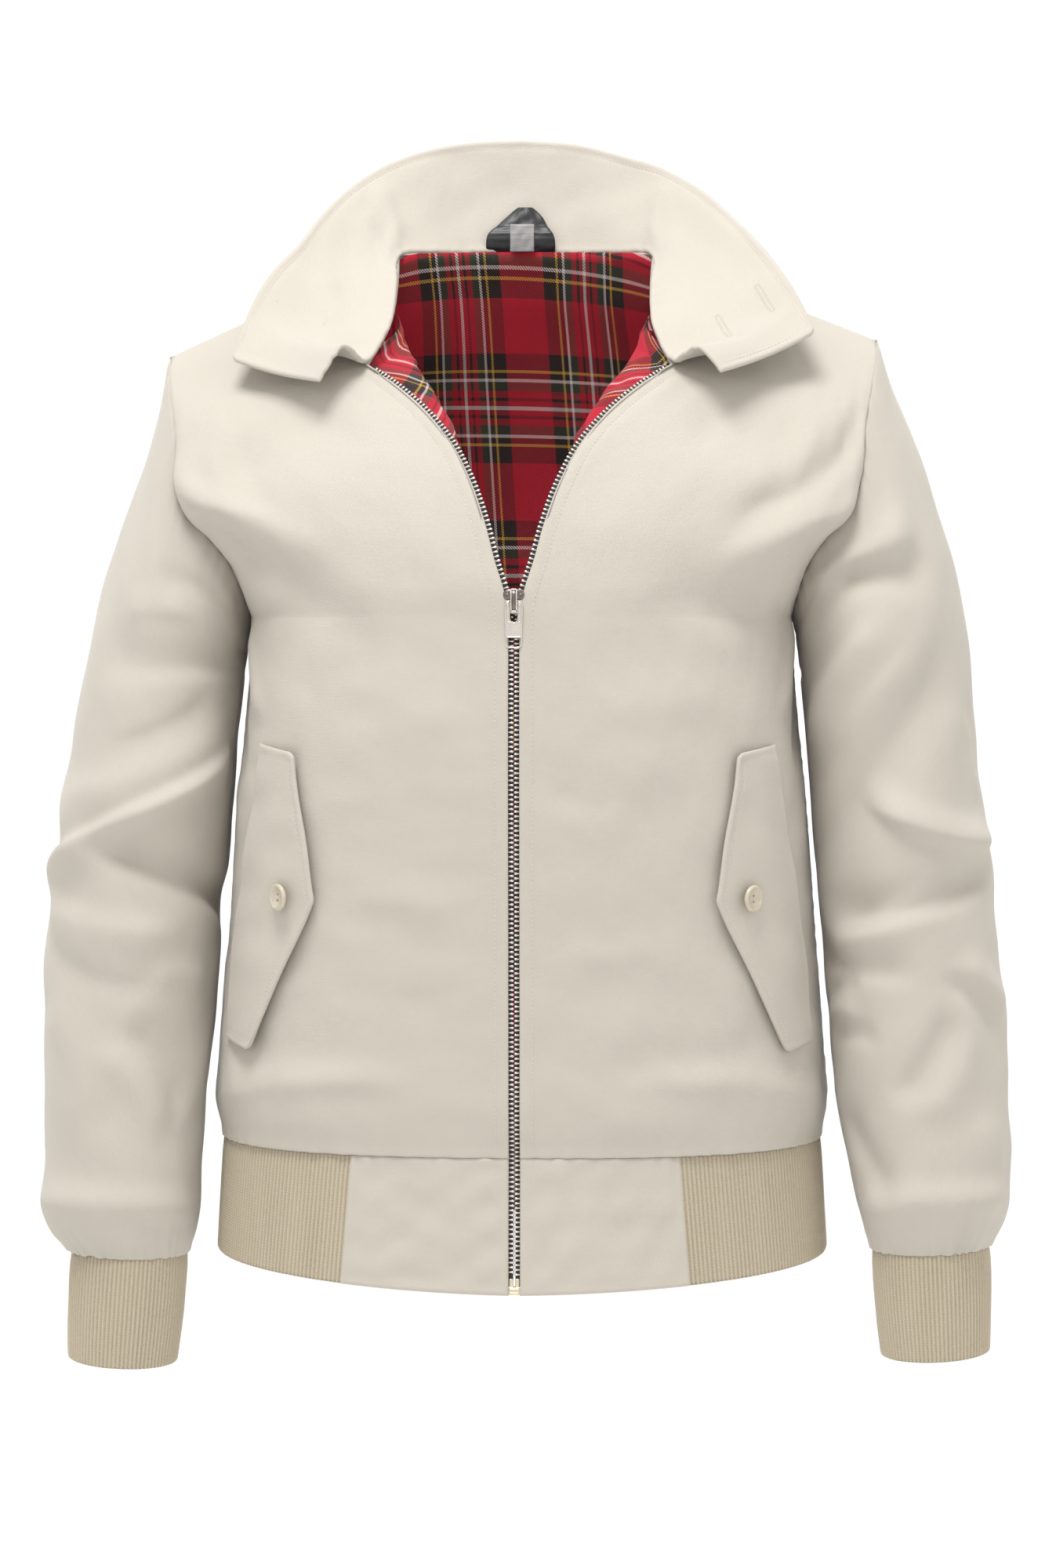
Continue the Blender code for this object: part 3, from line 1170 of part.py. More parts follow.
def make_button(name, centre, facing):
    """A turned button: rounded rim, dished middle, flat back. It sits on its back."""
    turned = bmesh.new()
    edge = [
        turned.verts.new((BUTTON_RADIUS * out, 0.0, BUTTON_THICK * up)) for out, up in BUTTON_PROFILE
    ]
    edges = [turned.edges.new(pair) for pair in zip(edge[:-1], edge[1:])]
    bmesh.ops.spin(
        turned, geom=edge + edges, axis=(0, 0, 1), cent=(0, 0, 0),
        angle=2 * math.pi, steps=14, use_merge=True,
    )
    bmesh.ops.remove_doubles(turned, verts=turned.verts, dist=1e-6)
    bmesh.ops.recalc_face_normals(turned, faces=turned.faces)
    spin = Vector((0, 0, 1)).rotation_difference(Vector(facing)).to_matrix().to_4x4()
    bmesh.ops.transform(turned, matrix=Matrix.Translation(Vector(centre)) @ spin, verts=turned.verts)
    mesh = bpy.data.meshes.new(name)
    turned.to_mesh(mesh)
    turned.free()
    mesh.shade_smooth()
    mesh.set_sharp_from_angle(angle=math.radians(50))
    mesh.materials.append(material(name, IVORY))
    made = bpy.data.objects.new(name, mesh)
    bpy.context.scene.collection.objects.link(made)
    return made


def make_pocket_button(name, side):
    """The flap's button, square to the cloth under it."""
    u, v = front_uv(np.array([FLAP_BUTTON_XZ[0]]), np.array([FLAP_BUTTON_XZ[1]]))
    normal = front_normal(u, v)
    share = 0.62
    stand = flap_stand(np.array([share])) + FLAP_CLOTH / 2.0 + BUTTON_SHANK
    centre = front_base(u, v) + normal * stand[:, None]
    return make_button(name, mirrored(centre, side)[0], mirrored(normal, side)[0])


def make_collar_button(name, station, width):
    """A collar button on the under side of the right leaf."""
    at, w = np.array([station]), np.array([width])
    table = COLLAR_RIGHT
    centre = collar_point(table, at, w)
    across = collar_point(table, at, w + 0.02) - collar_point(table, at, w - 0.02)
    along = collar_point(table, at + 0.01, w) - collar_point(table, at - 0.01, w)
    down = unit(np.cross(along, across))
    if down[0, 2] > 0:
        down = -down
    centre = centre + down * (COLLAR_CLOTH / 2.0 + BUTTON_SHANK)
    return make_button(name, settled(mirrored(centre, -1.0))[0], mirrored(down, -1.0)[0])


# --- build -------------------------------------------------------------------------------
def main():
    """Remove what the scene holds and make every piece of the jacket."""
    for old in list(bpy.data.objects):
        bpy.data.objects.remove(old)
    sides = (("left", 1.0), ("right", -1.0))
    make_back()
    make_collar()
    make_lining_back()
    make_loop()
    make_label()
    make_hem_rib()
    make_sleeve("sleeve_left", SLEEVE_LEFT_ARM, LEFT_ARM_FOLDS, LEAVE_LEFT, 1.0)
    make_sleeve("sleeve_right", SLEEVE_RIGHT_ARM, RIGHT_ARM_FOLDS, LEAVE_RIGHT, -1.0)
    make_cuff("cuff_left", CUFF_LEFT_ARM, 1.0)
    make_cuff("cuff_right", CUFF_RIGHT_ARM, -1.0)
    make_front("front_left", LEFT_FRONT_FOLDS, 1.0)
    make_front("front_right", RIGHT_FRONT_FOLDS, -1.0)
    for word, side in sides:
        make_hem_band(f"hem_band_{word}", side)
        make_lining_front(f"lining_front_{word}", side)
        make_flap(f"pocket_flap_{word}", side)
        make_pocket_button(f"pocket_button_{word}", side)
        make_zip_strip(f"zip_tape_{word}", side, (-0.0060, 0.0012), ZIP_OUT, TAPE, TAPE_BROWN)
        teeth = (ZIP_HALF - SEAM_GAP / 2.0 - TEETH_WIDTH, ZIP_HALF - SEAM_GAP / 2.0)
        make_zip_strip(f"zip_teeth_{word}", side, teeth, ZIP_OUT, TEETH_THICK, TEETH_SILVER)
    make_slider()
    make_pull()
    make_zip_box()
    for number, (station, width) in enumerate(COLLAR_BUTTONS, start=1):
        make_collar_button(f"collar_button_{number}", station, width)


main()
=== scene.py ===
# %% [markdown]
# # A harrington jacket, filled out with no wearer
# The jacket is short, zips up the front and ends in rib knit at hem and wrists. Its shell is
# a stone cotton twill, its lining a red tartan. Most of it is cloth, so most pieces here are
# thin walls whose middle is a smooth function of two parameters. The measured frame comes
# first: it fixes where every piece lies, and the looks are built around it.

# %% Load the fixed frame
import math

import bpy
import numpy as np
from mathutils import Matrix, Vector


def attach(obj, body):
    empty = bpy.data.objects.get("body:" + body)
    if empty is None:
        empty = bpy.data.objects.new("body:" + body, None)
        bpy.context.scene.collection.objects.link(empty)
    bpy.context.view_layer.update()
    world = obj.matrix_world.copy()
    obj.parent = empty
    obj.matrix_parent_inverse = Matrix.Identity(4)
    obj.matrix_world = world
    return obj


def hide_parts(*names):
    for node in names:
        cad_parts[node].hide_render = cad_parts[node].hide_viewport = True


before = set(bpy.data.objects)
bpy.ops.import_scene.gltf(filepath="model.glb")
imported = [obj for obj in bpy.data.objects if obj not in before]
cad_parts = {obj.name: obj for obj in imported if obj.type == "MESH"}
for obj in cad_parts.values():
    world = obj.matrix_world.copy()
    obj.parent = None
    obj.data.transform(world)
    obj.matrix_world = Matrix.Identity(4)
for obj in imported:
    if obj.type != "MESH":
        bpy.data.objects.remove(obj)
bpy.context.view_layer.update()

# %% [markdown]
# ## Camera
# A garment is best seen through a long lens, which keeps sleeves and body in proportion. The
# camera stands straight in front, a touch to the wearer's left and a touch above the chest,
# and its height of view is set by the sensor's height, because the picture is upright.

# %% Place the camera
VIEW_TARGET = Vector((0.0, -0.085, -0.3169))
VIEW_DISTANCE = 2.5
VIEW_TURN = math.radians(2.2)
VIEW_DOWN = math.radians(3.17)
SENSOR_HEIGHT = 36.0
FRAME_HEIGHT = 0.9225          # metres of the picture's height at the target


def look_from(name, place, target, data):
    """Put a camera or lamp at a place so that its own -Z axis points at the target."""
    made = bpy.data.objects.new(name, data)
    made.location = place
    made.rotation_euler = (target - place).to_track_quat("-Z", "Y").to_euler()
    bpy.context.scene.collection.objects.link(made)
    return made


camera = bpy.data.cameras.new("camera")
camera.sensor_fit = "VERTICAL"
camera.sensor_height = SENSOR_HEIGHT
camera.lens = SENSOR_HEIGHT * VIEW_DISTANCE / FRAME_HEIGHT
view_way = Vector((
    math.sin(VIEW_TURN) * math.cos(VIEW_DOWN),
    -math.cos(VIEW_TURN) * math.cos(VIEW_DOWN),
    math.sin(VIEW_DOWN),
))
place = VIEW_TARGET + view_way * VIEW_DISTANCE
bpy.context.scene.camera = look_from("camera", place, VIEW_TARGET, camera)
print("camera at", [round(c, 4) for c in place], "lens", round(camera.lens, 2), "mm")

# %% [markdown]
# ## Number tools
# Cloth shapes are read from short tables. A cubic through each pair of rows, with slopes
# taken from the neighbours, passes smoothly through every row, as a tailor's curve does.

# %% Table reader, unit vectors, smooth step


def read_table(rows, at):
    """Read a table at the stations `at`. The first column is the station. Between two rows
    runs the cubic that has both values and, as slopes, those of the neighbouring parabolas."""
    rows = np.asarray(rows, float)
    knots, values = rows[:, 0], rows[:, 1:]
    slopes = np.gradient(values, knots, axis=0)
    at = np.clip(np.asarray(at, float), knots[0], knots[-1])
    cell = np.clip(np.searchsorted(knots, at, side="right") - 1, 0, len(knots) - 2)
    span = np.diff(knots)[cell][..., None]
    t = (at - knots[cell])[..., None] / span
    return (
        (2 * t**3 - 3 * t**2 + 1) * values[cell]
        + (t**3 - 2 * t**2 + t) * slopes[cell] * span
        + (3 * t**2 - 2 * t**3) * values[cell + 1]
        + (t**3 - t**2) * slopes[cell + 1] * span
    )


def unit(vectors):
    """Vectors brought to length one along their last axis."""
    return vectors / np.maximum(np.linalg.norm(vectors, axis=-1, keepdims=True), 1e-12)


def ease(t):
    """Smooth step: 0 below 0, 1 above 1, and 3t^2 - 2t^3 between."""
    t = np.clip(t, 0.0, 1.0)
    return t * t * (3.0 - 2.0 * t)


def bell(distance, width):
    """exp(-(distance / width)^2): 1 on a line, fading out on both sides of it."""
    return np.exp(-((distance / width) ** 2))


def run_length(points, axis):
    """Length along a grid from its first row or column, by summing the steps."""
    steps = np.linalg.norm(np.diff(points, axis=axis), axis=-1)
    start = np.zeros_like(np.take(steps, [0], axis=axis))
    return np.concatenate([start, np.cumsum(steps, axis=axis)], axis=axis)


def grid_normals(points, wrap=False):
    """Unit normals of a grid: columns' direction crossed with rows' direction."""
    if wrap:
        across = np.roll(points, -1, axis=1) - np.roll(points, 1, axis=1)
    else:
        across = np.gradient(points, axis=1)
    return unit(np.cross(across, np.gradient(points, axis=0)))

# %% [markdown]
# ## Folds
# Cloth creases where the cut has more of it than the body needs: in the bend of an elbow,
# under an arm, above a gathered cuff. Each crease here is one row of a table, placed on the
# flattened panel: from where to where it runs, how it bows, how wide and how deep it is, and
# how much steeper one flank is than the other. A trough has a negative depth.

# %% Ridges and troughs on a flattened panel


def fold_height(across, along, folds, girth=None):
    """Sum of folds. Each is a bell across a bowed line from its start to its end. `lean`
    makes one flank wider than the other, and the fold fades out and widens at both ends."""
    height = np.zeros(np.broadcast(across, along).shape)
    for x0, y0, x1, y1, bow, width, lean, depth in folds:
        length = math.hypot(x1 - x0, y1 - y0)
        dx, dy = (x1 - x0) / length, (y1 - y0) / length
        side = across - x0
        if girth:
            side = (side + 0.5 * girth) % girth - 0.5 * girth
        run = (side * dx + (along - y0) * dy) / length
        off = -side * dy + (along - y0) * dx - bow * 4.0 * run * (1.0 - run)
        fade = ease(np.minimum(run, 1.0 - run) / 0.30 + 0.12)
        flank = width * (1.0 + lean * np.tanh(off / (0.5 * width)))
        height = height + depth * fade * bell(off, flank)
    return height


def unevenness(across, along, seed, size, depth):
    """Gentle waves that cloth keeps from lying and wearing: a dozen sines of seeded
    direction, phase and wavelength (half to twice `size`), scaled to about `depth`."""
    random = np.random.default_rng(seed)
    waves = 12
    height = np.zeros(np.broadcast(across, along).shape)
    for _ in range(waves):
        turn, phase = random.uniform(0, math.pi), random.uniform(0, 2 * math.pi)
        length = size * 2 ** random.uniform(-1, 1)
        height = height + np.sin(
            2 * math.pi * (across * math.cos(turn) + along * math.sin(turn)) / length + phase
        )
    return height * depth * math.sqrt(2.0 / waves)


def pucker(run, distance, seed, pitch, reach, depth):
    """Small ripples that a seam draws into cloth: a sine along the seam whose pitch and
    height wander, fading out as exp(-distance / reach) away from it."""
    random = np.random.default_rng(seed)
    turns = 2 * math.pi * run / pitch
    for slow in (5.3, 11.7, 2.9):
        turns = turns + 1.1 * np.sin(2 * math.pi * run / (pitch * slow) + random.uniform(0, 6))
    swell = 0.62 + 0.38 * np.sin(2 * math.pi * run / (pitch * 7.3) + random.uniform(0, 6))
    return depth * swell * np.sin(turns) * np.exp(-np.clip(distance, 0.0, None) / reach)

# %% [markdown]
# ## From a grid to a piece of cloth
# Real cloth has a thickness and turned edges, so a panel is a closed wall. Its outer face is
# the computed grid, its inner face the same grid moved inwards, and strips close the edges.
# Where two panels meet, each edge rolls inwards and runs on as a seam allowance: the two
# rolls side by side are what makes a seam read as a fine valley. A UV map in metres on the
# flat cloth goes with every wall, because weave, stripes and ribs follow the cloth.

# %% Closed walls with a UV map in metres


def quads_of(index):
    """The four corners of every cell of an index grid, counter-clockwise seen from outside."""
    return np.stack([index[:-1, :-1], index[:-1, 1:], index[1:, 1:], index[1:, :-1]], axis=-1)


def new_piece(name, points, quads, flat=None):
    """A mesh object from points (n, 3) and quads (m, 4). `flat` holds a UV for each corner."""
    points = np.ascontiguousarray(points, np.float32).reshape(-1, 3)
    quads = np.ascontiguousarray(quads, np.int32).reshape(-1, 4)
    mesh = bpy.data.meshes.new(name)
    mesh.vertices.add(len(points))
    mesh.vertices.foreach_set("co", points.ravel())
    mesh.loops.add(quads.size)
    mesh.loops.foreach_set("vertex_index", quads.ravel())
    mesh.polygons.add(len(quads))
    mesh.polygons.foreach_set("loop_start", np.arange(0, quads.size, 4, dtype=np.int32))
    mesh.polygons.foreach_set("use_smooth", np.ones(len(quads), bool))
    if flat is not None:
        layer = mesh.uv_layers.new(name="flat_cloth")
        layer.data.foreach_set("uv", np.ascontiguousarray(flat, np.float32).ravel())
    mesh.update(calc_edges=True)
    mesh.validate()
    made = bpy.data.objects.new(name, mesh)
    bpy.context.scene.collection.objects.link(made)
    return made


def cloth_wall(name, outer, flat, thick=None, inner=None, wrap=False):
    """A closed wall of even thickness inwards of a grid, or between two given grids. `flat`
    has a place on the flat cloth for every point, and one more column if the grid wraps."""
    rows, columns = outer.shape[:2]
    if inner is None:
        inner = outer - grid_normals(outer, wrap) * thick
    shift = rows * columns
    index = np.arange(shift).reshape(rows, columns)
    if wrap:
        index = np.concatenate([index, index[:, :1]], axis=1)
    across, along = index.shape[1], index.shape[0]
    place = np.arange(across * along).reshape(along, across)
    front, front_flat = quads_of(index), quads_of(place)
    quads = [front.reshape(-1, 4), shift + front.reshape(-1, 4)[:, ::-1]]
    corners = [front_flat.reshape(-1, 4), front_flat.reshape(-1, 4)[:, ::-1]]
    edges = [(index[0, 1:], index[0, :-1], place[0, 1:], place[0, :-1]),
             (index[-1, :-1], index[-1, 1:], place[-1, :-1], place[-1, 1:])]
    if not wrap:
        edges += [(index[:-1, 0], index[1:, 0], place[:-1, 0], place[1:, 0]),
                  (index[1:, -1], index[:-1, -1], place[1:, -1], place[:-1, -1])]
    for a, b, at_a, at_b in edges:
        quads.append(np.stack([a, b, shift + b, shift + a], axis=-1))
        corners.append(np.stack([at_a, at_b, at_b, at_a], axis=-1))
    flat = flat.reshape(-1, 2)[np.concatenate(corners)]
    points = np.concatenate([outer.reshape(-1, 3), inner.reshape(-1, 3)])
    return new_piece(name, points, np.concatenate(quads), flat)
# %% Pieces of two layers, and lines along their edges


def turned_piece(name, middle, flat, half, rim, puff=0.0):
    """A piece of two layers turned right side out: a wall on both sides of its middle grid.
    Its half thickness grows like a quarter circle from nothing at the edge to `half`, over
    the distance `rim` to the nearest turned edge, with a slight extra puff behind the edge."""
    normals = grid_normals(middle)
    away = np.clip(rim / half, 0.015, 1.0)
    thick = half * np.sqrt(1.0 - (1.0 - away) ** 2) + puff * bell(rim - 0.0022, 0.0016)
    step = normals * thick[..., None]
    return cloth_wall(name, middle + step, flat, inner=middle - step)


def edge_distance(points, sides):
    """Distance of every grid point from the nearest of the named edges: first or last row
    (`top`, `foot`) and first or last column (`start`, `end`), measured along the cloth."""
    down, over = run_length(points, 0), run_length(points, 1)
    found = {"top": down, "foot": down[-1:] - down, "start": over, "end": over[:, -1:] - over}
    return np.min([found[side] for side in sides.split()], axis=0)


def line_inside(grid, carried, axis, last, distance):
    """The line that runs at a distance inside one edge of a grid, read by linear steps along
    each row or column, together with the same line through every carried grid."""
    turned = [np.moveaxis(g, axis, 0) for g in (grid, *carried)]
    if last:
        turned = [g[::-1] for g in turned]
    run = run_length(turned[0], 0)
    cell = np.clip((run < distance).sum(axis=0), 1, run.shape[0] - 1)
    pick = np.arange(run.shape[1])
    low, high = run[cell - 1, pick], run[cell, pick]
    share = np.clip((distance - low) / (high - low), 0.0, 1.0)[:, None]
    return [g[cell - 1, pick] * (1 - share) + g[cell, pick] * share for g in turned]
# %% Rolled, sewn and overhanging edges


def held(vectors, hold):
    """Give the first and last lines along an edge the vectors of the lines inside them."""
    pick = np.arange(vectors.shape[-2])
    return vectors[..., np.clip(pick, hold[0], len(pick) - 1 - hold[1]), :]


def turn_under(outer, flat, axis, last, radius=0.0009, depth=0.0022, wrap=False, hold=(0, 0)):
    """Roll one edge of a grid inwards: a quarter circle of `radius`, then `depth` straight
    in. The edge line stays the outermost line of the roll. `hold` counts the lines at each
    end of the edge that another edge's roll has already bent."""
    normals = np.moveaxis(grid_normals(outer, wrap), axis, 0)
    grid, place = np.moveaxis(outer, axis, 0), np.moveaxis(flat, axis, 0)
    if not last:
        grid, place, normals = grid[::-1], place[::-1], normals[::-1]
    out, normal = held(unit(grid[-1] - grid[-2]), hold), held(normals[-1], hold)
    step = unit(place[-1] - place[-2])
    centre = grid[-1] - out * radius
    rolled, laid = [centre], [place[-1] - step * radius]
    for turn in np.radians([30.0, 60.0, 90.0]):
        rolled.append(centre + radius * (out * math.sin(turn) - normal * (1.0 - math.cos(turn))))
        laid.append(laid[0] + step * radius * turn)
    rolled.append(rolled[-1] - normal * depth)
    laid.append(laid[-1] + step * depth)
    grid, place = np.concatenate([grid[:-1], rolled]), np.concatenate([place[:-1], laid])
    if not last:
        grid, place = grid[::-1], place[::-1]
    return np.moveaxis(grid, 0, axis), np.moveaxis(place, 0, axis)


def seam_edge(points, flat, axis, last, hold=(0, 0), past=0.0004, sink=0.0004, reach=0.0025):
    """A sewn edge: sink the grid towards it within `reach`, carry the edge line `past` its
    seam and turn it straight in, so that two sewn pieces meet in a narrow closed groove."""
    normals = np.moveaxis(grid_normals(points), axis, 0)
    grid = np.moveaxis(points, axis, 0)
    if last:
        grid, normals = grid[::-1], normals[::-1]
    near = ease(1.0 - run_length(grid, 0) / reach)
    out = held(unit(grid[0] - grid[1]), hold)
    grid = grid - held(normals, hold) * (sink * near)[..., None]
    grid[0] = grid[0] + out * past
    grid = np.moveaxis(grid[::-1] if last else grid, 0, axis)
    return turn_under(grid, flat, axis, last, 0.0003, 0.0013, False, hold)


def overhang(points, last, out=0.0009, down=0.0010, reach=0.0060):
    """Lift the rows next to a seam and carry them on over the next piece, as cloth gathered on
    to a rib or band rides over its edge."""
    normals = grid_normals(points)
    grid = points[::-1] if last else points
    normals = normals[::-1] if last else normals
    near = ease(1.0 - run_length(grid, 0) / reach)[..., None]
    onward = unit(grid[:1] - grid[2:3])
    grid = grid + (normals * out + onward * down) * near
    return grid[::-1] if last else grid
# %% Stations, mirror sides and the last touches to a piece


def with_edges(count, near):
    """Stations from 0 to 1: evenly spaced inside, with a few extra near both ends."""
    near = np.asarray(near)
    middle = np.linspace(near[-1] * 1.6, 1.0 - near[-1] * 1.6, count - 2 * len(near))
    return np.concatenate([near, middle, 1.0 - near[::-1]])


def side_of(points, side):
    """Points of the wearer's left side, or their mirror image where side is -1."""
    return points * np.array([side, 1.0, 1.0])


def finish_piece(piece, body, material_made, *nodes):
    """Give a piece its material, body, slot and the frame's nodes that it stands for."""
    piece.data.materials.append(material_made)
    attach(piece, body)
    if nodes:
        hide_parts(*nodes)
    return piece

# %% [markdown]
# ## Sizes of the cloth
# All sizes are in metres. Every panel is read from the same stations as its neighbours, so
# that two edges sewn together are the same line.

# %% Cloth thicknesses and the torso's edge tables
CLOTH = 0.0009          # one layer of shell cloth
FACE = 0.0007           # outer face of the shell off its middle surface
UNDERARM_V = 0.68       # station of the underarm on the torso tables
CORNER_V = 0.93         # station of the neck corner, top of the zip
SIDE_NECK = (0.0780, -0.0300, -0.0030)
FRONT_WIDTH = 0.240     # flattened sizes on which the folds are placed
PANEL_HEIGHT = 0.560
SLEEVE_GIRTH = 0.345
LEAN, LEAN_FROM, LEAN_LOW_Z, LEAN_FADE = 0.042, 0.100, -0.230, 0.130

# The front's zip edge: v, x, y, z from the hem seam to the neck corner.
FRONT_EDGE = (
    (0.00, 0.0045, -0.2040, -0.5200),
    (0.03, 0.0045, -0.2075, -0.5060),
    (0.12, 0.0045, -0.2090, -0.4660),
    (0.28, 0.0045, -0.2110, -0.3960),
    (0.44, 0.0045, -0.2135, -0.3260),
    (0.58, 0.0045, -0.2130, -0.2650),
    (0.66, 0.0045, -0.2106, -0.2260),
    (0.675, 0.0046, -0.2105, -0.2180),
    (0.69, 0.0049, -0.2104, -0.2105),
    (0.71, 0.0075, -0.2098, -0.2000),
    (0.735, 0.0120, -0.2068, -0.1860),
    (0.77, 0.0180, -0.2010, -0.1640),
    (0.81, 0.0272, -0.1905, -0.1390),
    (0.85, 0.0405, -0.1760, -0.1155),
    (0.88, 0.0560, -0.1620, -0.0985),
    (0.905, 0.0725, -0.1480, -0.0850),
    (0.93, 0.0890, -0.1335, -0.0745),
)
# The side of the neck: v, x, y, z from the neck corner up to the shoulder seam.
NECK_SIDE = (
    (0.93, 0.0890, -0.1335, -0.0745),
    (0.945, 0.0815, -0.1150, -0.0600),
    (0.96, 0.0775, -0.0950, -0.0470),
    (0.98, 0.0765, -0.0620, -0.0245),
    (1.00, 0.0780, -0.0300, -0.0030),
)
# The side seam: v, x, y, z from the hem seam to the underarm.
SIDE_SEAM = (
    (0.00, 0.1750, -0.0880, -0.5200),
    (0.03, 0.1780, -0.0880, -0.5060),
    (0.12, 0.1762, -0.0880, -0.4660),
    (0.28, 0.1708, -0.0900, -0.3960),
    (0.44, 0.1655, -0.0930, -0.3260),
    (0.58, 0.1590, -0.0960, -0.2600),
    (0.68, 0.1565, -0.1000, -0.2180),
)
# The armhole's front edge: v, x, y, z from the underarm to the shoulder tip.
ARMHOLE_FRONT = (
    (0.68, 0.1565, -0.1000, -0.2180),
    (0.71, 0.1595, -0.1200, -0.2050),
    (0.75, 0.1655, -0.1340, -0.1880),
    (0.79, 0.1770, -0.1400, -0.1720),
    (0.83, 0.1900, -0.1405, -0.1580),
    (0.87, 0.1965, -0.1360, -0.1370),
    (0.91, 0.1985, -0.1270, -0.1130),
    (0.95, 0.2025, -0.1140, -0.0905),
    (0.98, 0.2055, -0.0990, -0.0730),
    (1.00, 0.2065, -0.0850, -0.0625),
)
# The armhole's back edge, the same way.
ARMHOLE_BACK = (
    (0.68, 0.1565, -0.1000, -0.2180),
    (0.71, 0.1590, -0.0800, -0.2060),
    (0.75, 0.1640, -0.0620, -0.1890),
    (0.79, 0.1730, -0.0480, -0.1680),
    (0.83, 0.1830, -0.0395, -0.1450),
    (0.87, 0.1910, -0.0365, -0.1220),
    (0.91, 0.1970, -0.0410, -0.1010),
    (0.95, 0.2020, -0.0530, -0.0830),
    (0.98, 0.2050, -0.0690, -0.0700),
    (1.00, 0.2065, -0.0850, -0.0625),
)
# The middle of the back: v, x, y, z from the hem seam to the nape.
CENTRE_BACK = (
    (0.00, 0.0, 0.0280, -0.5200),
    (0.03, 0.0, 0.0320, -0.5060),
    (0.12, 0.0, 0.0290, -0.4660),
    (0.28, 0.0, 0.0200, -0.3960),
    (0.44, 0.0, 0.0180, -0.3260),
    (0.58, 0.0, 0.0245, -0.2600),
    (0.68, 0.0, 0.0315, -0.2100),
    (0.76, 0.0, 0.0340, -0.1620),
    (0.84, 0.0, 0.0315, -0.1080),
    (0.92, 0.0, 0.0200, -0.0500),
    (1.00, 0.0, 0.0000, 0.0000),
)
# How square each cross section is: v, front, back (2 is an ellipse, 1 a straight line).
SQUARENESS = (
    (0.00, 2.50, 2.45),
    (0.28, 2.50, 2.45),
    (0.58, 2.45, 2.35),
    (0.68, 2.35, 2.30),
    (0.81, 2.05, 2.25),
    (0.93, 1.50, 2.05),
    (1.00, 1.06, 2.00),
)

# %% [markdown]
# ## The smooth torso
# A filled-out jacket is close to an oval tube that closes at the shoulders. Each level of a
# panel is a quarter of a superellipse in plan, between the panel's two edge lines: power 2
# gives an ellipse, more gives the flatter front and rounder sides of worn cloth. Towards the
# shoulder seam the surface is drawn onto the straight seam line.

# %% Smooth surfaces of front and back


def section_row(inner, outer, square, share):
    """A quarter superellipse from `inner` to `outer` in plan; its level runs evenly."""
    turn = share * math.pi / 2.0
    power = 2.0 / square
    out = np.sin(turn) ** power
    forward = np.clip(np.cos(turn), 0.0, 1.0) ** power
    x = inner[..., 0] + (outer[..., 0] - inner[..., 0]) * out
    y = outer[..., 1] + (inner[..., 1] - outer[..., 1]) * forward
    z = inner[..., 2] + (outer[..., 2] - inner[..., 2]) * share
    return np.stack([x, y, z], axis=-1)


def edge_line(lower, upper, split, v):
    """A panel's edge, read from the lower table below `split` and the upper one above."""
    return np.where((v < split)[..., None], read_table(lower, v), read_table(upper, v))


def front_base(u, v):
    """The left front: u from the zip edge to the side, v from hem seam to shoulder."""
    inner = edge_line(FRONT_EDGE, NECK_SIDE, CORNER_V, v)
    outer = edge_line(SIDE_SEAM, ARMHOLE_FRONT, UNDERARM_V, v)
    row = section_row(inner, outer, read_table(SQUARENESS, v)[..., 0], u)
    span = outer - inner
    straight = inner + span * ((row[..., 0] - inner[..., 0]) / span[..., 0])[..., None]
    hold = ease((v - 0.86) / 0.14)[..., None] ** 1.5
    return row + hold * (straight - row)


def back_base(s, v):
    """The back: s from -1 at the right side seam through the middle to 1 at the left."""
    share = np.abs(s)
    inner = read_table(CENTRE_BACK, v)
    outer = edge_line(SIDE_SEAM, ARMHOLE_BACK, UNDERARM_V, v)
    row = section_row(inner, outer, read_table(SQUARENESS, v)[..., 1], share)
    tip, neck = np.asarray(ARMHOLE_BACK[-1][1:]), np.asarray(SIDE_NECK)
    top = section_row(np.zeros(3), tip, 2.0, share)
    inside = np.clip(top[..., 0] / neck[0], 0.0, 1.0) ** 2
    beyond = np.clip((top[..., 0] - neck[0]) / (tip[0] - neck[0]), 0.0, 1.0)
    hold = ease((v - 0.80) / 0.20) ** 1.5
    row[..., 1] += hold * (inside * neck[1] + beyond * (tip[1] - neck[1]) - top[..., 1])
    row[..., 2] += hold * (inside * neck[2] + beyond * (tip[2] - neck[2]) - top[..., 2])
    row[..., 0] *= np.where(s < 0, -1.0, 1.0)
    return row


def surface_normal(base, a, b, low, high, step=1e-3):
    """Unit normal of a surface base(a, b) from differences along both parameters."""
    over = base(np.clip(a + step, *low), b) - base(np.clip(a - step, *low), b)
    up = base(a, np.clip(b + step, *high)) - base(a, np.clip(b - step, *high))
    return unit(np.cross(over, up))


def settled(points):
    """The left shoulder sits a little higher than the right: beyond LEAN_FROM from the
    middle, points above the underarm rise on the left and sink on the right."""
    x, z = points[..., 0], points[..., 2]
    beyond = np.sign(x) * np.clip(np.abs(x) - LEAN_FROM, 0.0, None)
    moved = points.copy()
    moved[..., 2] += LEAN * beyond * ease((z - LEAN_LOW_Z) / LEAN_FADE)
    return moved


def torso_rows(body, chest, neck):
    """Stations up a torso panel, with one on the underarm and one on the neck corner."""
    return np.concatenate([
        with_edges(body, (0.0, 0.005, 0.011)) * UNDERARM_V,
        np.linspace(UNDERARM_V, CORNER_V, chest + 1)[1:],
        CORNER_V + (1.0 - CORNER_V) * with_edges(neck, (0.0, 0.02))[1:],
    ])


def even_columns(count):
    """Columns across a panel: the superellipse crowds points at both ends, so the
    parameter is w^p / (w^p + (1 - w)^p), which spreads them evenly again."""
    w, p = with_edges(count, (0.0, 0.009, 0.018)), 1.25
    return w**p / (w**p + (1.0 - w) ** p)

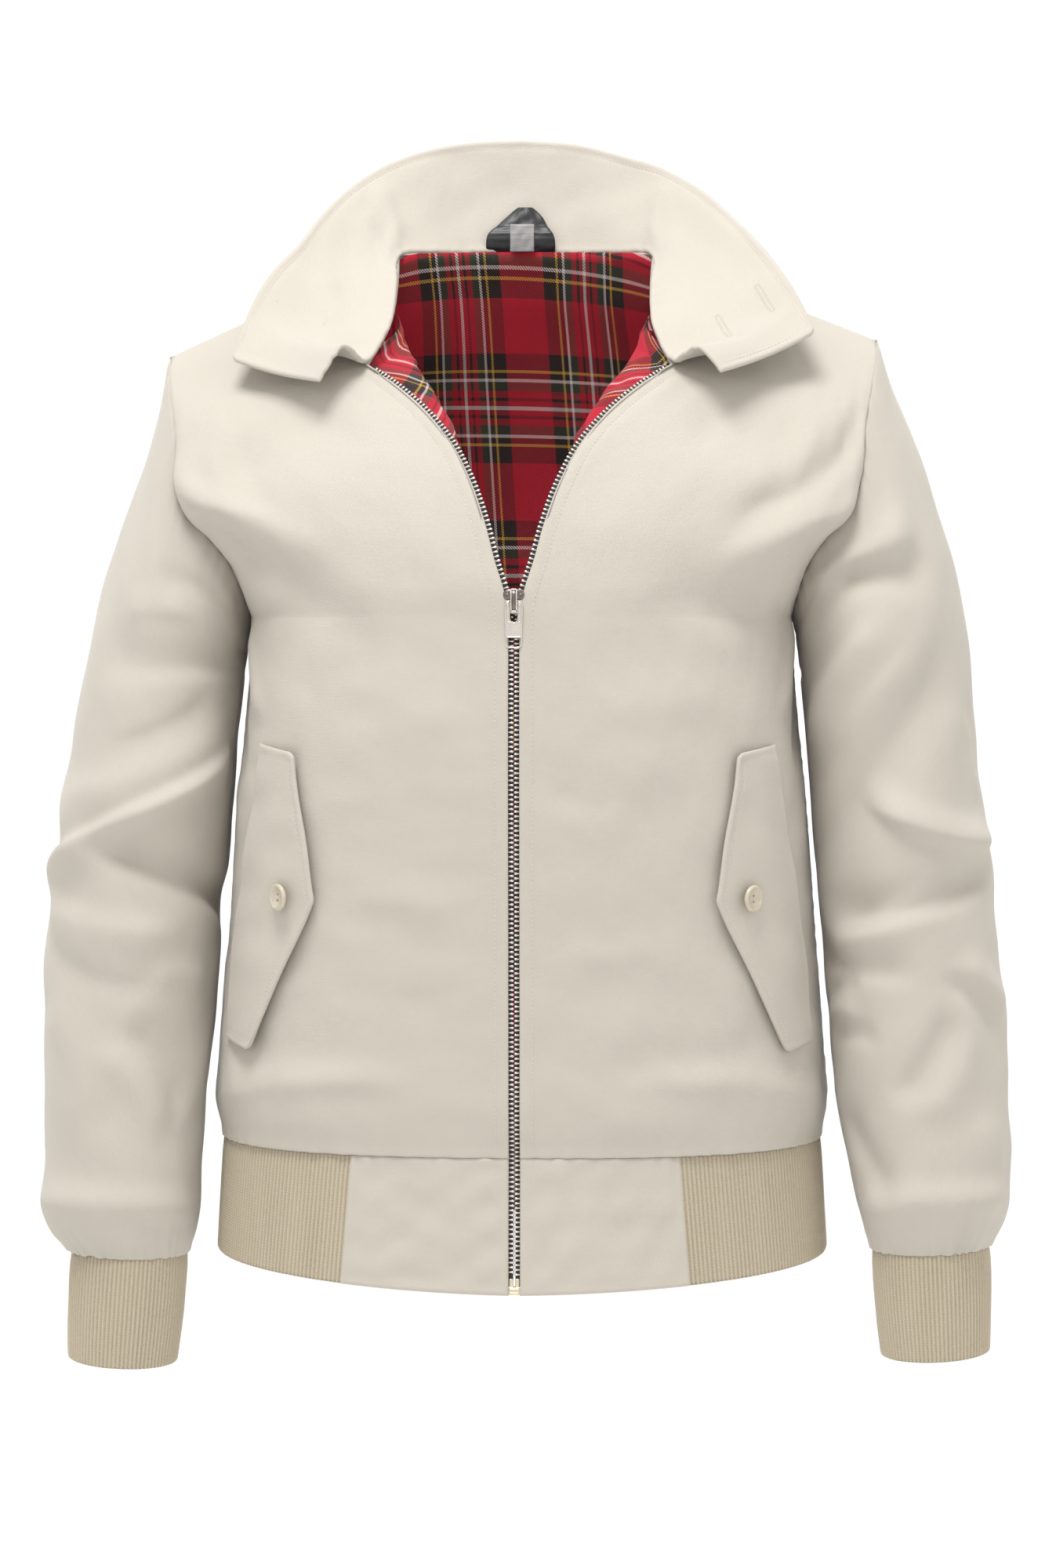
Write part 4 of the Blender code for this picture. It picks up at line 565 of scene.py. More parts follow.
# %% [markdown]
# ## Studio
# A jacket in a pale cotton is shown by soft shade, so the light is one very large lamp high in
# front, a weaker one from the other side, and a pale sky all around. The floor is a wide
# shallow bowl: flat under the jacket and rising far away, so that no horizon line shows.

# %% Bowl floor, sky and lamps
FLOOR_Z = -1.42
FLOOR_FLAT, FLOOR_WIDE, FLOOR_RISE = 4.5, 8.0, 3.6


def studio_floor():
    """A bowl of revolution: level out to FLOOR_FLAT, then a quarter ellipse up to its rim."""
    turn = np.linspace(0.0, 2 * math.pi, 96, endpoint=False)[None, :]
    bend = np.linspace(0.0, math.pi / 2, 24)[:, None]
    radius = np.concatenate([np.linspace(0.02, FLOOR_FLAT, 8)[:-1, None],
                             FLOOR_FLAT + (FLOOR_WIDE - FLOOR_FLAT) * np.sin(bend)])
    height = np.concatenate([np.zeros((7, 1)), FLOOR_RISE * (1.0 - np.cos(bend))])
    points = np.stack(np.broadcast_arrays(
        radius * np.cos(turn), radius * np.sin(turn), FLOOR_Z + height), axis=-1)
    index = np.arange(points.shape[0] * 96).reshape(-1, 96)
    index = np.concatenate([index, index[:, :1]], axis=1)
    return new_piece("studio_floor", points, quads_of(index))


floor = studio_floor()
paint = bpy.data.materials.new("floor_paper")
paint.use_nodes = True
paint.node_tree.nodes["Principled BSDF"].inputs["Base Color"].default_value = (0.96, 0.96, 0.96, 1)
paint.node_tree.nodes["Principled BSDF"].inputs["Roughness"].default_value = 0.9
floor.data.materials.append(paint)

sky = bpy.data.worlds.new("soft_sky")
sky.use_nodes = True
sky.node_tree.nodes["Background"].inputs["Color"].default_value = (1.0, 0.99, 0.97, 1.0)
sky.node_tree.nodes["Background"].inputs["Strength"].default_value = 1.0
bpy.context.scene.world = sky
bpy.context.scene.view_settings.view_transform = "Standard"

# Lamps: name, place, size, watts.
for name, place, size, watts in (
    ("key_light", (-0.40, -1.10, 2.4), 1.2, 78.0),
    ("fill_light", (2.4, -1.9, 0.9), 1.2, 6.0),
    ("rim_light", (0.4, 2.6, 1.9), 1.8, 14.0),
):
    lamp = bpy.data.lights.new(name, "AREA")
    lamp.size, lamp.energy = size, watts
    look_from(name, Vector(place), Vector((0.0, -0.1, -0.3)), lamp)
print("studio: floor at", FLOOR_Z, "and three soft lamps")

# %% [markdown]
# ## Materials
# Every finish is a short recipe of nodes on the piece's own flat-cloth map, so a weave turns
# with the cloth as the real one does. The weave itself is much finer than a step away shows,
# so it is bump; what shows from there is a soft unevenness of colour and nap.

# %% A small helper that writes nodes


class Recipe:
    """Writes the nodes of one material. Each method adds a node and gives its output."""

    def __init__(self, name, **shader):
        """`shader` holds constants for the Principled node's own sockets."""
        self.made = bpy.data.materials.new(name)
        self.made.use_nodes = True
        self.tree = self.made.node_tree
        self.shader = self.tree.nodes["Principled BSDF"]
        for socket, value in shader.items():
            self.shader.inputs[socket.replace("_", " ").title()].default_value = value

    def add(self, kind, inputs=(), **settings):
        """A node of a kind; `inputs` are values or other nodes' outputs, in socket order."""
        made = self.tree.nodes.new("ShaderNode" + kind)
        for key, value in settings.items():
            setattr(made, key, value)
        for number, value in enumerate(inputs):
            if value is None:
                continue
            if isinstance(value, bpy.types.NodeSocket):
                self.tree.links.new(value, made.inputs[number])
            else:
                made.inputs[number].default_value = value
        return made

    def math(self, operation, *values):
        return self.add("Math", values, operation=operation).outputs[0]

    def flat(self):
        """The two coordinates of the flat-cloth map, in metres."""
        split = self.add("SeparateXYZ", [self.add("UVMap", uv_map="flat_cloth").outputs[0]])
        return split.outputs[0], split.outputs[1]

    def place(self):
        """The piece's own Object coordinates."""
        return self.add("TexCoord").outputs["Object"]

    def noise(self, at, scale, detail=2.0, stretch=(1.0, 1.0, 1.0)):
        """A noise from 0 to 1 whose grain is about 1 / scale metres long."""
        if stretch != (1.0, 1.0, 1.0):
            at = self.add("Mapping", [at, None, None, stretch]).outputs[0]
        return self.add("TexNoise", [at, None, scale, detail]).outputs[0]

    def mix(self, share, first, second, how="MIX"):
        """Two colours mixed by a share."""
        made = self.add("Mix", data_type="RGBA", blend_type=how)
        for number, value in ((0, share), (6, first), (7, second)):
            if isinstance(value, bpy.types.NodeSocket):
                self.tree.links.new(value, made.inputs[number])
            else:
                made.inputs[number].default_value = value
        return made.outputs[2]

    def steps(self, share, rows, smooth=False):
        """A colour read from rows of (position from 0 to 1, colour)."""
        ramp = self.add("ValToRGB", [share])
        ramp.color_ramp.interpolation = "LINEAR" if smooth else "CONSTANT"
        stops = ramp.color_ramp.elements
        while len(stops) < len(rows):
            stops.new(1.0)
        for stop, (position, colour) in zip(stops, rows):
            stop.position, stop.color = position, (*colour, 1.0)
        return ramp.outputs[0]

    def colour(self, value):
        self.tree.links.new(value, self.shader.inputs["Base Color"])

    def bump(self, height, distance, strength=1.0):
        """Bump whose height 1 stands `distance` metres high."""
        made = self.add("Bump", [strength, distance, None, height])
        if self.tree.nodes["Principled BSDF"].inputs["Normal"].links:
            old = self.shader.inputs["Normal"].links[0].from_socket
            self.tree.links.new(old, made.inputs["Normal"])
        self.tree.links.new(made.outputs[0], self.shader.inputs["Normal"])


def wave(recipe, turns):
    """A sine from 0 to 1 of a number of turns."""
    return recipe.math("MULTIPLY_ADD", recipe.math("SINE", recipe.math(
        "MULTIPLY", turns, 2 * math.pi)), 0.5, 0.5)

# %% [markdown]
# ## Cotton twill
# Twill is woven so that each thread passes over two and under one, a step aside in each row,
# which leaves fine diagonal lines. The shell is a pale stone colour, washed soft: a faint
# mottle, fine slubs along the threads, and a short nap that catches light at grazing angles.

# %% Shell cloth
STONE = (0.472, 0.436, 0.380)
STONE_SHADE = (0.430, 0.394, 0.340)
TWILL_PITCH = 0.0006


def shell_cloth(name="stone_twill"):
    """Diagonal lines of TWILL_PITCH, slubs stretched along both threads, and a soft mottle."""
    r = Recipe(name, roughness=0.82, sheen_weight=0.18, sheen_roughness=0.45)
    x, y = r.flat()
    lines = wave(r, r.math("DIVIDE", r.math("ADD", x, y), TWILL_PITCH * math.sqrt(2)))
    flat = r.add("CombineXYZ", [x, y, 0.0]).outputs[0]
    slub = r.math("ADD", r.noise(flat, 420.0, 2.0, (4.0, 0.35, 1.0)),
                  r.noise(flat, 420.0, 2.0, (0.35, 4.0, 1.0)))
    mottle = r.noise(flat, 26.0, 3.0)
    share = r.math("MULTIPLY_ADD", mottle, 0.55, r.math("MULTIPLY", slub, 0.12))
    share = r.math("SUBTRACT", share, 0.12)
    r.colour(r.mix(share, (*STONE, 1.0), (*STONE_SHADE, 1.0)))
    r.bump(r.noise(flat, 55.0, 3.0), 0.0008, 0.55)
    r.bump(slub, 0.00018, 0.6)
    r.bump(lines, 0.00007, 0.6)
    return r.made


SHELL_CLOTH = shell_cloth()

# %% [markdown]
# ## Rib knit
# Cuffs and hem are knitted in ribs, which lets them stretch and spring back. The ribs are
# modelled; the small V of each stitch on them is bump, its two legs leaning to the rib's crest.

# %% Knit
KHAKI = (0.47, 0.405, 0.30)
# painted shade: the colour the furrows darken to, standing in for the shade between the raised ribs
KHAKI_FURROW_SHADE = (0.27, 0.225, 0.155)
RIB_PITCH = 0.0026      # one rib and one furrow
STITCH_RISE = 0.0016    # height of one stitch


def rib_knit(name="khaki_rib"):
    """Painted shade: darker in the furrows between the raised ribs, with V stitches: a sine
    along the rib whose phase runs ahead with the distance from the crest."""
    r = Recipe(name, roughness=0.92, sheen_weight=0.25, sheen_roughness=0.5)
    x, y = r.flat()
    off = r.math("PINGPONG", r.math("DIVIDE", x, RIB_PITCH), 0.5)
    vees = wave(r, r.math("ADD", r.math("DIVIDE", y, STITCH_RISE), r.math("MULTIPLY", off, 1.6)))
    flat = r.add("CombineXYZ", [x, y, 0.0]).outputs[0]
    fluff = r.noise(flat, 900.0, 2.0)
    # painted shade: the colour darkens from each rib's crest into its furrows
    share = r.math("MULTIPLY_ADD", off, 1.25, r.math("MULTIPLY_ADD", fluff, 0.5, -0.28))
    share = r.math("MINIMUM", r.math("MAXIMUM", share, 0.0), 1.0)
    r.colour(r.mix(share, (*KHAKI, 1.0), (*KHAKI_FURROW_SHADE, 1.0)))
    r.bump(fluff, 0.0002, 0.6)
    r.bump(vees, 0.00022, 0.8)
    return r.made


RIB_KNIT = rib_knit()

# %% [markdown]
# ## Tartan lining
# A tartan is one list of coloured threads, the sett, that is mirrored and repeated both ways.
# The weave is a two-and-two twill, so where warp and weft differ they mix in fine diagonal
# hatching. Each direction is read from the sett by the distance from a block's middle.

# %% Sett, warp and weft
RED = (0.430, 0.0035, 0.020)
WHITE = (0.66, 0.58, 0.56)
BLACK = (0.007, 0.006, 0.006)
GREEN = (0.022, 0.042, 0.024)
YELLOW = (0.55, 0.33, 0.05)
# Half a sett in millimetres of the warp: where each colour ends.
SETT = ((0.8, WHITE), (3.4, RED), (5.0, BLACK), (8.2, RED), (12.6, GREEN), (14.2, WHITE),
        (16.9, BLACK), (18.3, YELLOW), (26.4, BLACK), (40.0, RED))
SETT_HALF = 0.040       # metres from a block's middle to the middle of the red
WEFT_STRETCH = 1.30
HATCH_PITCH = 0.00115


def tartan(name="red_tartan"):
    """Warp colour by the distance across, weft colour by the distance along, mixed by a
    diagonal hatch."""
    r = Recipe(name, roughness=0.92, sheen_weight=0.04, sheen_roughness=0.5)
    x, y = r.flat()
    rows, low = [], 0.0
    for high, colour in SETT:
        rows.append((low, colour))
        low = high / 1000.0 / SETT_HALF
    warp = r.math("DIVIDE", r.math("PINGPONG", x, SETT_HALF), SETT_HALF)
    half = SETT_HALF * WEFT_STRETCH
    weft = r.math("DIVIDE", r.math("PINGPONG", y, half), half)
    hatch = wave(r, r.math("DIVIDE", r.math("ADD", x, y), HATCH_PITCH * math.sqrt(2)))
    hatch = r.math("MINIMUM", r.math("MAXIMUM", r.math("MULTIPLY_ADD", hatch, 1.5, -0.25), 0.0), 1.0)
    flat = r.add("CombineXYZ", [x, y, 0.0]).outputs[0]
    nap = r.noise(flat, 700.0, 2.0)
    cloth = r.mix(hatch, r.steps(warp, rows), r.steps(weft, rows))
    r.colour(r.mix(r.math("MULTIPLY", nap, 0.30), cloth, (0.060, 0.004, 0.008, 1.0)))
    r.bump(nap, 0.0002, 0.6)
    r.bump(hatch, 0.00008, 0.7)
    return r.made


TARTAN = tartan()

# %% [markdown]
# ## Tapes, thread, metal and resin
# The zip's tape is a dark herringbone, the hanging loop a shiny black satin, the size label a
# grey satin. The zip is nickel-plated brass, tumbled, so its gloss is uneven. Buttons are cast
# resin with a faint horn-like cloud, and the thread is a two-ply cotton.

# %% Small finishes


def tape_finish(name, colour, roughness, sheen, pitch, gloss_lines=0.0, rib=0.0001):
    """Fine cross ribs of `pitch` on a woven tape, with threads of uneven brightness."""
    r = Recipe(name, roughness=roughness, sheen_weight=sheen)
    x, y = r.flat()
    flat = r.add("CombineXYZ", [x, y, 0.0]).outputs[0]
    ribs = wave(r, r.math("DIVIDE", y, pitch))
    streak = r.noise(flat, 500.0, 2.0, (0.15, 1.6, 1.0))
    dark = tuple(c * 0.55 for c in colour)
    light = tuple(min(1.0, c * 1.35 + gloss_lines) for c in colour)
    r.colour(r.mix(streak, (*dark, 1.0), (*light, 1.0)))
    r.bump(ribs, rib, 0.6)
    return r.made


def metal_finish(name, colour, roughness):
    """Plated metal: roughness and tone wander a little, with a fine tumbled grain."""
    r = Recipe(name, roughness=roughness, metallic=1.0)
    cloud = r.noise(r.place(), 600.0, 3.0)
    dull = tuple(c * 0.72 for c in colour)
    r.colour(r.mix(cloud, (*colour, 1.0), (*dull, 1.0)))
    rough = r.math("MULTIPLY_ADD", cloud, 0.22, roughness - 0.1)
    r.tree.links.new(rough, r.shader.inputs["Roughness"])
    r.bump(r.noise(r.place(), 3500.0, 2.0), 0.00004, 0.5)
    return r.made


def resin_finish(name, colour):
    """Cast resin: a soft cloud drawn out along one way, under a thin gloss."""
    r = Recipe(name, roughness=0.32, coat_weight=0.35, coat_roughness=0.15)
    cloud = r.noise(r.place(), 160.0, 3.0, (1.0, 1.0, 3.5))
    deep = tuple(c * 0.72 for c in colour)
    r.colour(r.mix(cloud, (*colour, 1.0), (*deep, 1.0)))
    return r.made


def thread_finish(name, colour):
    """Twisted thread: a fine fibre-like unevenness in its colour and in bump."""
    r = Recipe(name, roughness=0.75, sheen_weight=0.3)
    grain = r.noise(r.place(), 2600.0, 2.0)
    deep = tuple(c * 0.8 for c in colour)
    r.colour(r.mix(grain, (*colour, 1.0), (*deep, 1.0)))
    r.bump(grain, 0.00006, 0.6)
    return r.made


ZIP_TAPE = tape_finish("zip_tape_weave", (0.035, 0.024, 0.02), 0.85, 0.15, 0.0009)
LOOP_SATIN = tape_finish("black_satin", (0.011, 0.011, 0.013), 0.42, 0.05, 0.0004, 0.0, 0.00002)
LABEL_SATIN = tape_finish("grey_satin", (0.30, 0.285, 0.285), 0.42, 0.1, 0.0004, 0.0, 0.00002)
TEETH_METAL = metal_finish("zip_teeth_nickel", (0.72, 0.70, 0.66), 0.30)
SLIDER_METAL = metal_finish("slider_nickel", (0.74, 0.69, 0.60), 0.26)
PULL_METAL = metal_finish("pull_nickel", (0.80, 0.74, 0.68), 0.24)
CROWN_METAL = metal_finish("crown_dark_nickel", (0.20, 0.18, 0.16), 0.30)
BOX_METAL = metal_finish("box_brass", (0.80, 0.70, 0.52), 0.32)
BUTTON_RESIN = resin_finish("ivory_resin", (0.56, 0.50, 0.39))
THREAD = thread_finish("stone_thread", (0.66, 0.62, 0.55))
# painted shade: a dark finish for the discs that stand for the shadow inside the buttons' holes
PAINTED_HOLE_SHADE = thread_finish("painted_hole_shade", (0.10, 0.075, 0.055))
print("materials:", len(bpy.data.materials))

# %% [markdown]
# ## The fronts
# Each front is one panel from the hem seam to the shoulder, with the zip along its inner edge.
# A filled jacket is smooth where it is taut and folds where it has room: a ridge runs from the
# armhole towards the bust with a hollow under it, and small flares stand over the gathered
# hem. The edge along the zip is folded under and stitched down a finger's width inside.

# %% Folds of the fronts, and the panels
# Folds: start across and along, end across and along, bow, width, lean, depth.
LEFT_FRONT_FOLDS = (
    (0.242, 0.470, 0.096, 0.409, 0.000, 0.016, 0.25, 0.0054),
    (0.216, 0.514, 0.094, 0.437, 0.004, 0.014, 0.00, -0.0052),
    (0.145, 0.486, 0.045, 0.500, 0.000, 0.020, 0.00, -0.0052),
    (0.170, 0.390, 0.060, 0.405, 0.006, 0.020, -0.20, -0.0046),
    (0.220, 0.388, 0.180, 0.306, 0.002, 0.011, 0.25, 0.0032),
    (0.236, 0.352, 0.196, 0.268, 0.004, 0.009, 0.00, -0.0020),
    (0.030, 0.052, 0.200, 0.026, 0.008, 0.012, 0.20, 0.0030),
    (0.205, 0.446, 0.150, 0.425, 0.001, 0.006, 0.30, -0.0013),
    (0.190, 0.262, 0.120, 0.236, 0.004, 0.012, 0.00, 0.0012),
    (0.120, 0.330, 0.020, 0.318, 0.004, 0.014, 0.00, 0.0010),
    (0.060, 0.150, 0.012, 0.140, 0.002, 0.010, 0.00, 0.0009),
    (0.040, 0.250, 0.008, 0.262, 0.002, 0.008, 0.00, -0.0007),
    (0.150, 0.090, 0.060, 0.062, 0.004, 0.013, 0.00, -0.0015),
    (0.200, 0.100, 0.150, 0.046, 0.004, 0.010, 0.20, 0.0017),
)
RIGHT_FRONT_FOLDS = (
    (0.240, 0.495, 0.084, 0.411, 0.000, 0.018, 0.25, 0.0058),
    (0.210, 0.440, 0.084, 0.387, 0.004, 0.021, -0.20, -0.0058),
    (0.155, 0.478, 0.045, 0.500, 0.000, 0.020, 0.00, -0.0052),
    (0.205, 0.379, 0.166, 0.304, 0.002, 0.011, 0.25, 0.0032),
    (0.232, 0.350, 0.190, 0.262, 0.004, 0.009, 0.00, -0.0020),
    (0.030, 0.052, 0.200, 0.026, 0.008, 0.012, 0.20, 0.0030),
    (0.214, 0.472, 0.150, 0.444, 0.002, 0.006, 0.30, -0.0014),
    (0.200, 0.270, 0.130, 0.246, 0.004, 0.012, 0.00, 0.0013),
    (0.105, 0.300, 0.015, 0.312, 0.004, 0.014, 0.00, 0.0010),
    (0.070, 0.190, 0.010, 0.176, 0.003, 0.010, 0.00, 0.0010),
    (0.045, 0.110, 0.008, 0.120, 0.002, 0.009, 0.00, -0.0008),
    (0.160, 0.084, 0.070, 0.060, 0.004, 0.013, 0.00, -0.0015),
    (0.206, 0.096, 0.158, 0.042, 0.004, 0.010, 0.20, 0.0017),
)
PLACKET = 0.0060        # topstitching from the edge of the closed chain
EDGE_COVER = 0.0014     # how far the folded edge reaches over the roots of the teeth
SEAM_TURN = 0.0011      # radius of a turned edge
# %% The fronts


def panel_height(across, along, side_run, folds, seed):
    """Folds plus a slight unevenness, held flat along the seams, plus the puckers that the
    side, armhole and hem seams draw in. `side_run` is the distance from the outer seam."""
    free = ease(side_run / 0.022) * ease(along / 0.024) * ease((PANEL_HEIGHT - along) / 0.024)
    height = fold_height(across, along, folds) * free
    height = height + unevenness(across, along, seed, 0.085, 0.00042) * free
    height = height + unevenness(across, along, seed + 1, 0.030, 0.00013) * free
    height = height + pucker(across, along, seed + 2, 0.0125, 0.009, 0.00050)
    return height + pucker(along, side_run, seed + 3, 0.0150, 0.008, 0.00040)


def front_grid(folds, seed, lift=FACE, columns=96, rows=(110, 50, 12)):
    """The left front's outer face, its normals and its flat places, with rows from the hem
    up and columns from the zip to the side."""
    u, v = even_columns(columns)[None, :], torso_rows(*rows)[:, None]
    u, v = np.broadcast_arrays(u, v)
    base = front_base(u, v)
    normal = surface_normal(front_base, u, v, (0.0, 1.0), (0.0, 1.0))
    across, along = u * FRONT_WIDTH, v * PANEL_HEIGHT
    height = panel_height(across, along, FRONT_WIDTH - across, folds, seed)
    edge = run_length(base, 1)
    base = base - unit(base[:, 5:6] - base[:, :1]) * (EDGE_COVER * ease(1.0 - edge / 0.008))[..., None]
    below = ease((CORNER_V - v) / 0.02)
    height = height * ease(edge / 0.012)
    height = height + below * (0.00035 * ease((PLACKET - edge) / 0.001)
                               - 0.00030 * bell(edge - PLACKET, 0.0009))
    flat = np.stack([run_length(base, 1), run_length(base, 0)], axis=-1)
    return base + normal * (lift + height)[..., None], normal, flat


def make_front(word, side, folds, seed):
    """One front as a closed wall: folded under at the zip and hem, sewn at the other edges."""
    points, normals, flat = front_grid(folds, seed)
    FRONT_GRIDS[word] = (points, normals)
    points = overhang(points, False)
    points, flat = seam_edge(*seam_edge(points, flat, 0, True, (0, 6)), 1, True, (0, 8))
    points, flat = turn_under(points, flat, 1, False, SEAM_TURN, 0.0003, hold=(0, 6))
    points, flat = turn_under(points, flat, 0, False, 0.0008, 0.0008, hold=(6, 6))
    points = settled(side_of(points, side))
    if side < 0:
        points, flat = points[:, ::-1], flat[:, ::-1]
    piece = cloth_wall(f"front_{word}_twill", points, flat, CLOTH)
    return finish_piece(piece, "jacket", SHELL_CLOTH, f"front_{word}")


FRONT_GRIDS = {}
SIDES = (("left", 1.0), ("right", -1.0))
front_left = make_front("left", 1.0, LEFT_FRONT_FOLDS, 11)
make_front("right", -1.0, RIGHT_FRONT_FOLDS, 23)
print("fronts:", len(front_left.data.polygons), "faces each")

# %% [markdown]
# ## The back
# The back is one piece from the hem to the nape. Behind, cloth falls from the shoulder blades
# in long slanting folds towards the waist and breaks softly above the hem. Nothing here is
# seen from the front, so the folds are made to match the fronts': uneven, and not mirrored.

# %% Folds of the back, and the panel
BACK_FOLDS = (
    (0.205, 0.372, 0.110, 0.200, 0.014, 0.021, 0.20, -0.0052),
    (0.225, 0.330, 0.130, 0.230, 0.010, 0.015, 0.25, 0.0038),
    (0.020, 0.150, 0.150, 0.100, 0.010, 0.019, 0.00, 0.0036),
    (0.030, 0.105, 0.170, 0.065, 0.010, 0.014, 0.20, -0.0032),
    (0.030, 0.050, 0.200, 0.028, 0.008, 0.012, 0.00, 0.0024),
    (0.228, 0.450, 0.170, 0.400, 0.004, 0.010, 0.20, 0.0018),
)
LEFT_BACK_FOLDS = (
    (0.190, 0.300, 0.090, 0.240, 0.006, 0.010, 0.30, 0.0016),
    (0.160, 0.440, 0.060, 0.400, 0.006, 0.018, 0.00, -0.0016),
    (0.120, 0.090, 0.050, 0.040, 0.004, 0.010, 0.00, 0.0017),
    (0.080, 0.330, 0.010, 0.290, 0.006, 0.016, 0.00, 0.0012),
)
RIGHT_BACK_FOLDS = (
    (0.200, 0.280, 0.110, 0.210, 0.008, 0.009, 0.30, 0.0018),
    (0.150, 0.420, 0.050, 0.425, 0.006, 0.018, 0.00, -0.0014),
    (0.150, 0.095, 0.080, 0.038, 0.004, 0.010, 0.00, 0.0016),
    (0.070, 0.200, 0.005, 0.235, 0.006, 0.016, 0.00, 0.0012),
)


def back_grid(lift, columns=80, rows=(100, 48, 14)):
    """The back at a distance off its middle surface: rows from the hem up, columns from the
    left side seam to the right one, so that it faces outwards."""
    half = even_columns(columns)
    s = np.concatenate([half[::-1], -half[1:]])[None, :]
    s, v = np.broadcast_arrays(s, torso_rows(*rows)[:, None])
    base = back_base(s, v)
    normal = surface_normal(lambda a, b: back_base(-a, b), -s, v, (-1.0, 1.0), (0.0, 1.0))
    across, along = np.abs(s) * FRONT_WIDTH, v * PANEL_HEIGHT
    height = panel_height(across, along, FRONT_WIDTH - across, BACK_FOLDS, 37)
    free = ease((1.0 - np.abs(s)) / 0.10) * ease(v / 0.05) * ease((1.0 - v) / 0.05)
    for folds, sign in ((LEFT_BACK_FOLDS, 1.0), (RIGHT_BACK_FOLDS, -1.0)):
        height = height + fold_height(across, along, folds) * free * ease(sign * s / 0.04)
    run = run_length(base, 1)
    flat = np.stack([run - run[:, columns - 1:columns], run_length(base, 0)], axis=-1)
    return base + normal * (lift + height)[..., None], flat


points, flat = back_grid(FACE)
points, flat = seam_edge(*seam_edge(overhang(points, False), flat, 0, True, (6, 6)), 1, True,
                         (0, 8))
points, flat = seam_edge(points, flat, 1, False, (0, 8))
points, flat = turn_under(points, flat, 0, False, 0.0008, 0.0008, hold=(6, 6))
back = cloth_wall("back_twill", settled(points), flat, CLOTH)
finish_piece(back, "jacket", SHELL_CLOTH, "back")
print("back:", len(back.data.polygons), "faces")

# %% [markdown]
# ## The sleeves
# A set-in sleeve leaves the armhole as a cap, hangs down the side and is gathered into the
# cuff. The bent, hanging arm crowds the cloth at the elbow: sharp ridges run across the inside
# of the bend and fade towards the outer side. The two arms fold differently.

# %% Sleeve sections and folds
# Sections: station, level, inner x, outer x, middle y, half depth, drop of the outer side.
SLEEVE_LEFT_ARM = (
    (0.32, -0.262, 0.1625, 0.2620, -0.1000, 0.0620, 0.010),
    (0.42, -0.305, 0.1668, 0.2655, -0.1025, 0.0600, 0.008),
    (0.52, -0.348, 0.1706, 0.2720, -0.1055, 0.0585, 0.006),
    (0.62, -0.392, 0.1748, 0.2760, -0.1090, 0.0560, 0.004),
    (0.72, -0.437, 0.1785, 0.2800, -0.1135, 0.0530, 0.002),
    (0.82, -0.484, 0.1822, 0.2828, -0.1180, 0.0500, 0.002),
    (0.91, -0.530, 0.1905, 0.2837, -0.1230, 0.0475, 0.000),
    (0.97, -0.563, 0.1978, 0.2805, -0.1265, 0.0440, -0.002),
    (0.99, -0.574, 0.2015, 0.2762, -0.1278, 0.0400, -0.002),
    (1.00, -0.580, 0.2045, 0.2722, -0.1285, 0.0362, -0.003),
)
SLEEVE_RIGHT_ARM = (
    (0.32, -0.262, 0.1625, 0.2580, -0.1000, 0.0620, 0.010),
    (0.42, -0.305, 0.1668, 0.2648, -0.1025, 0.0600, 0.008),
    (0.52, -0.348, 0.1706, 0.2700, -0.1055, 0.0585, 0.006),
    (0.62, -0.392, 0.1748, 0.2750, -0.1090, 0.0560, 0.004),
    (0.72, -0.437, 0.1785, 0.2775, -0.1135, 0.0530, 0.002),
    (0.82, -0.484, 0.1830, 0.2775, -0.1180, 0.0500, 0.002),
    (0.91, -0.530, 0.1860, 0.2770, -0.1230, 0.0475, 0.000),
    (0.97, -0.568, 0.1885, 0.2762, -0.1268, 0.0440, -0.002),
    (0.99, -0.579, 0.1912, 0.2705, -0.1283, 0.0400, -0.002),
    (1.00, -0.585, 0.1942, 0.2640, -0.1290, 0.0362, -0.003),
)
LEAVE_LEFT, LEAVE_RIGHT = 0.40, 0.24    # outwards lean of each sleeve head, against 0.85 down
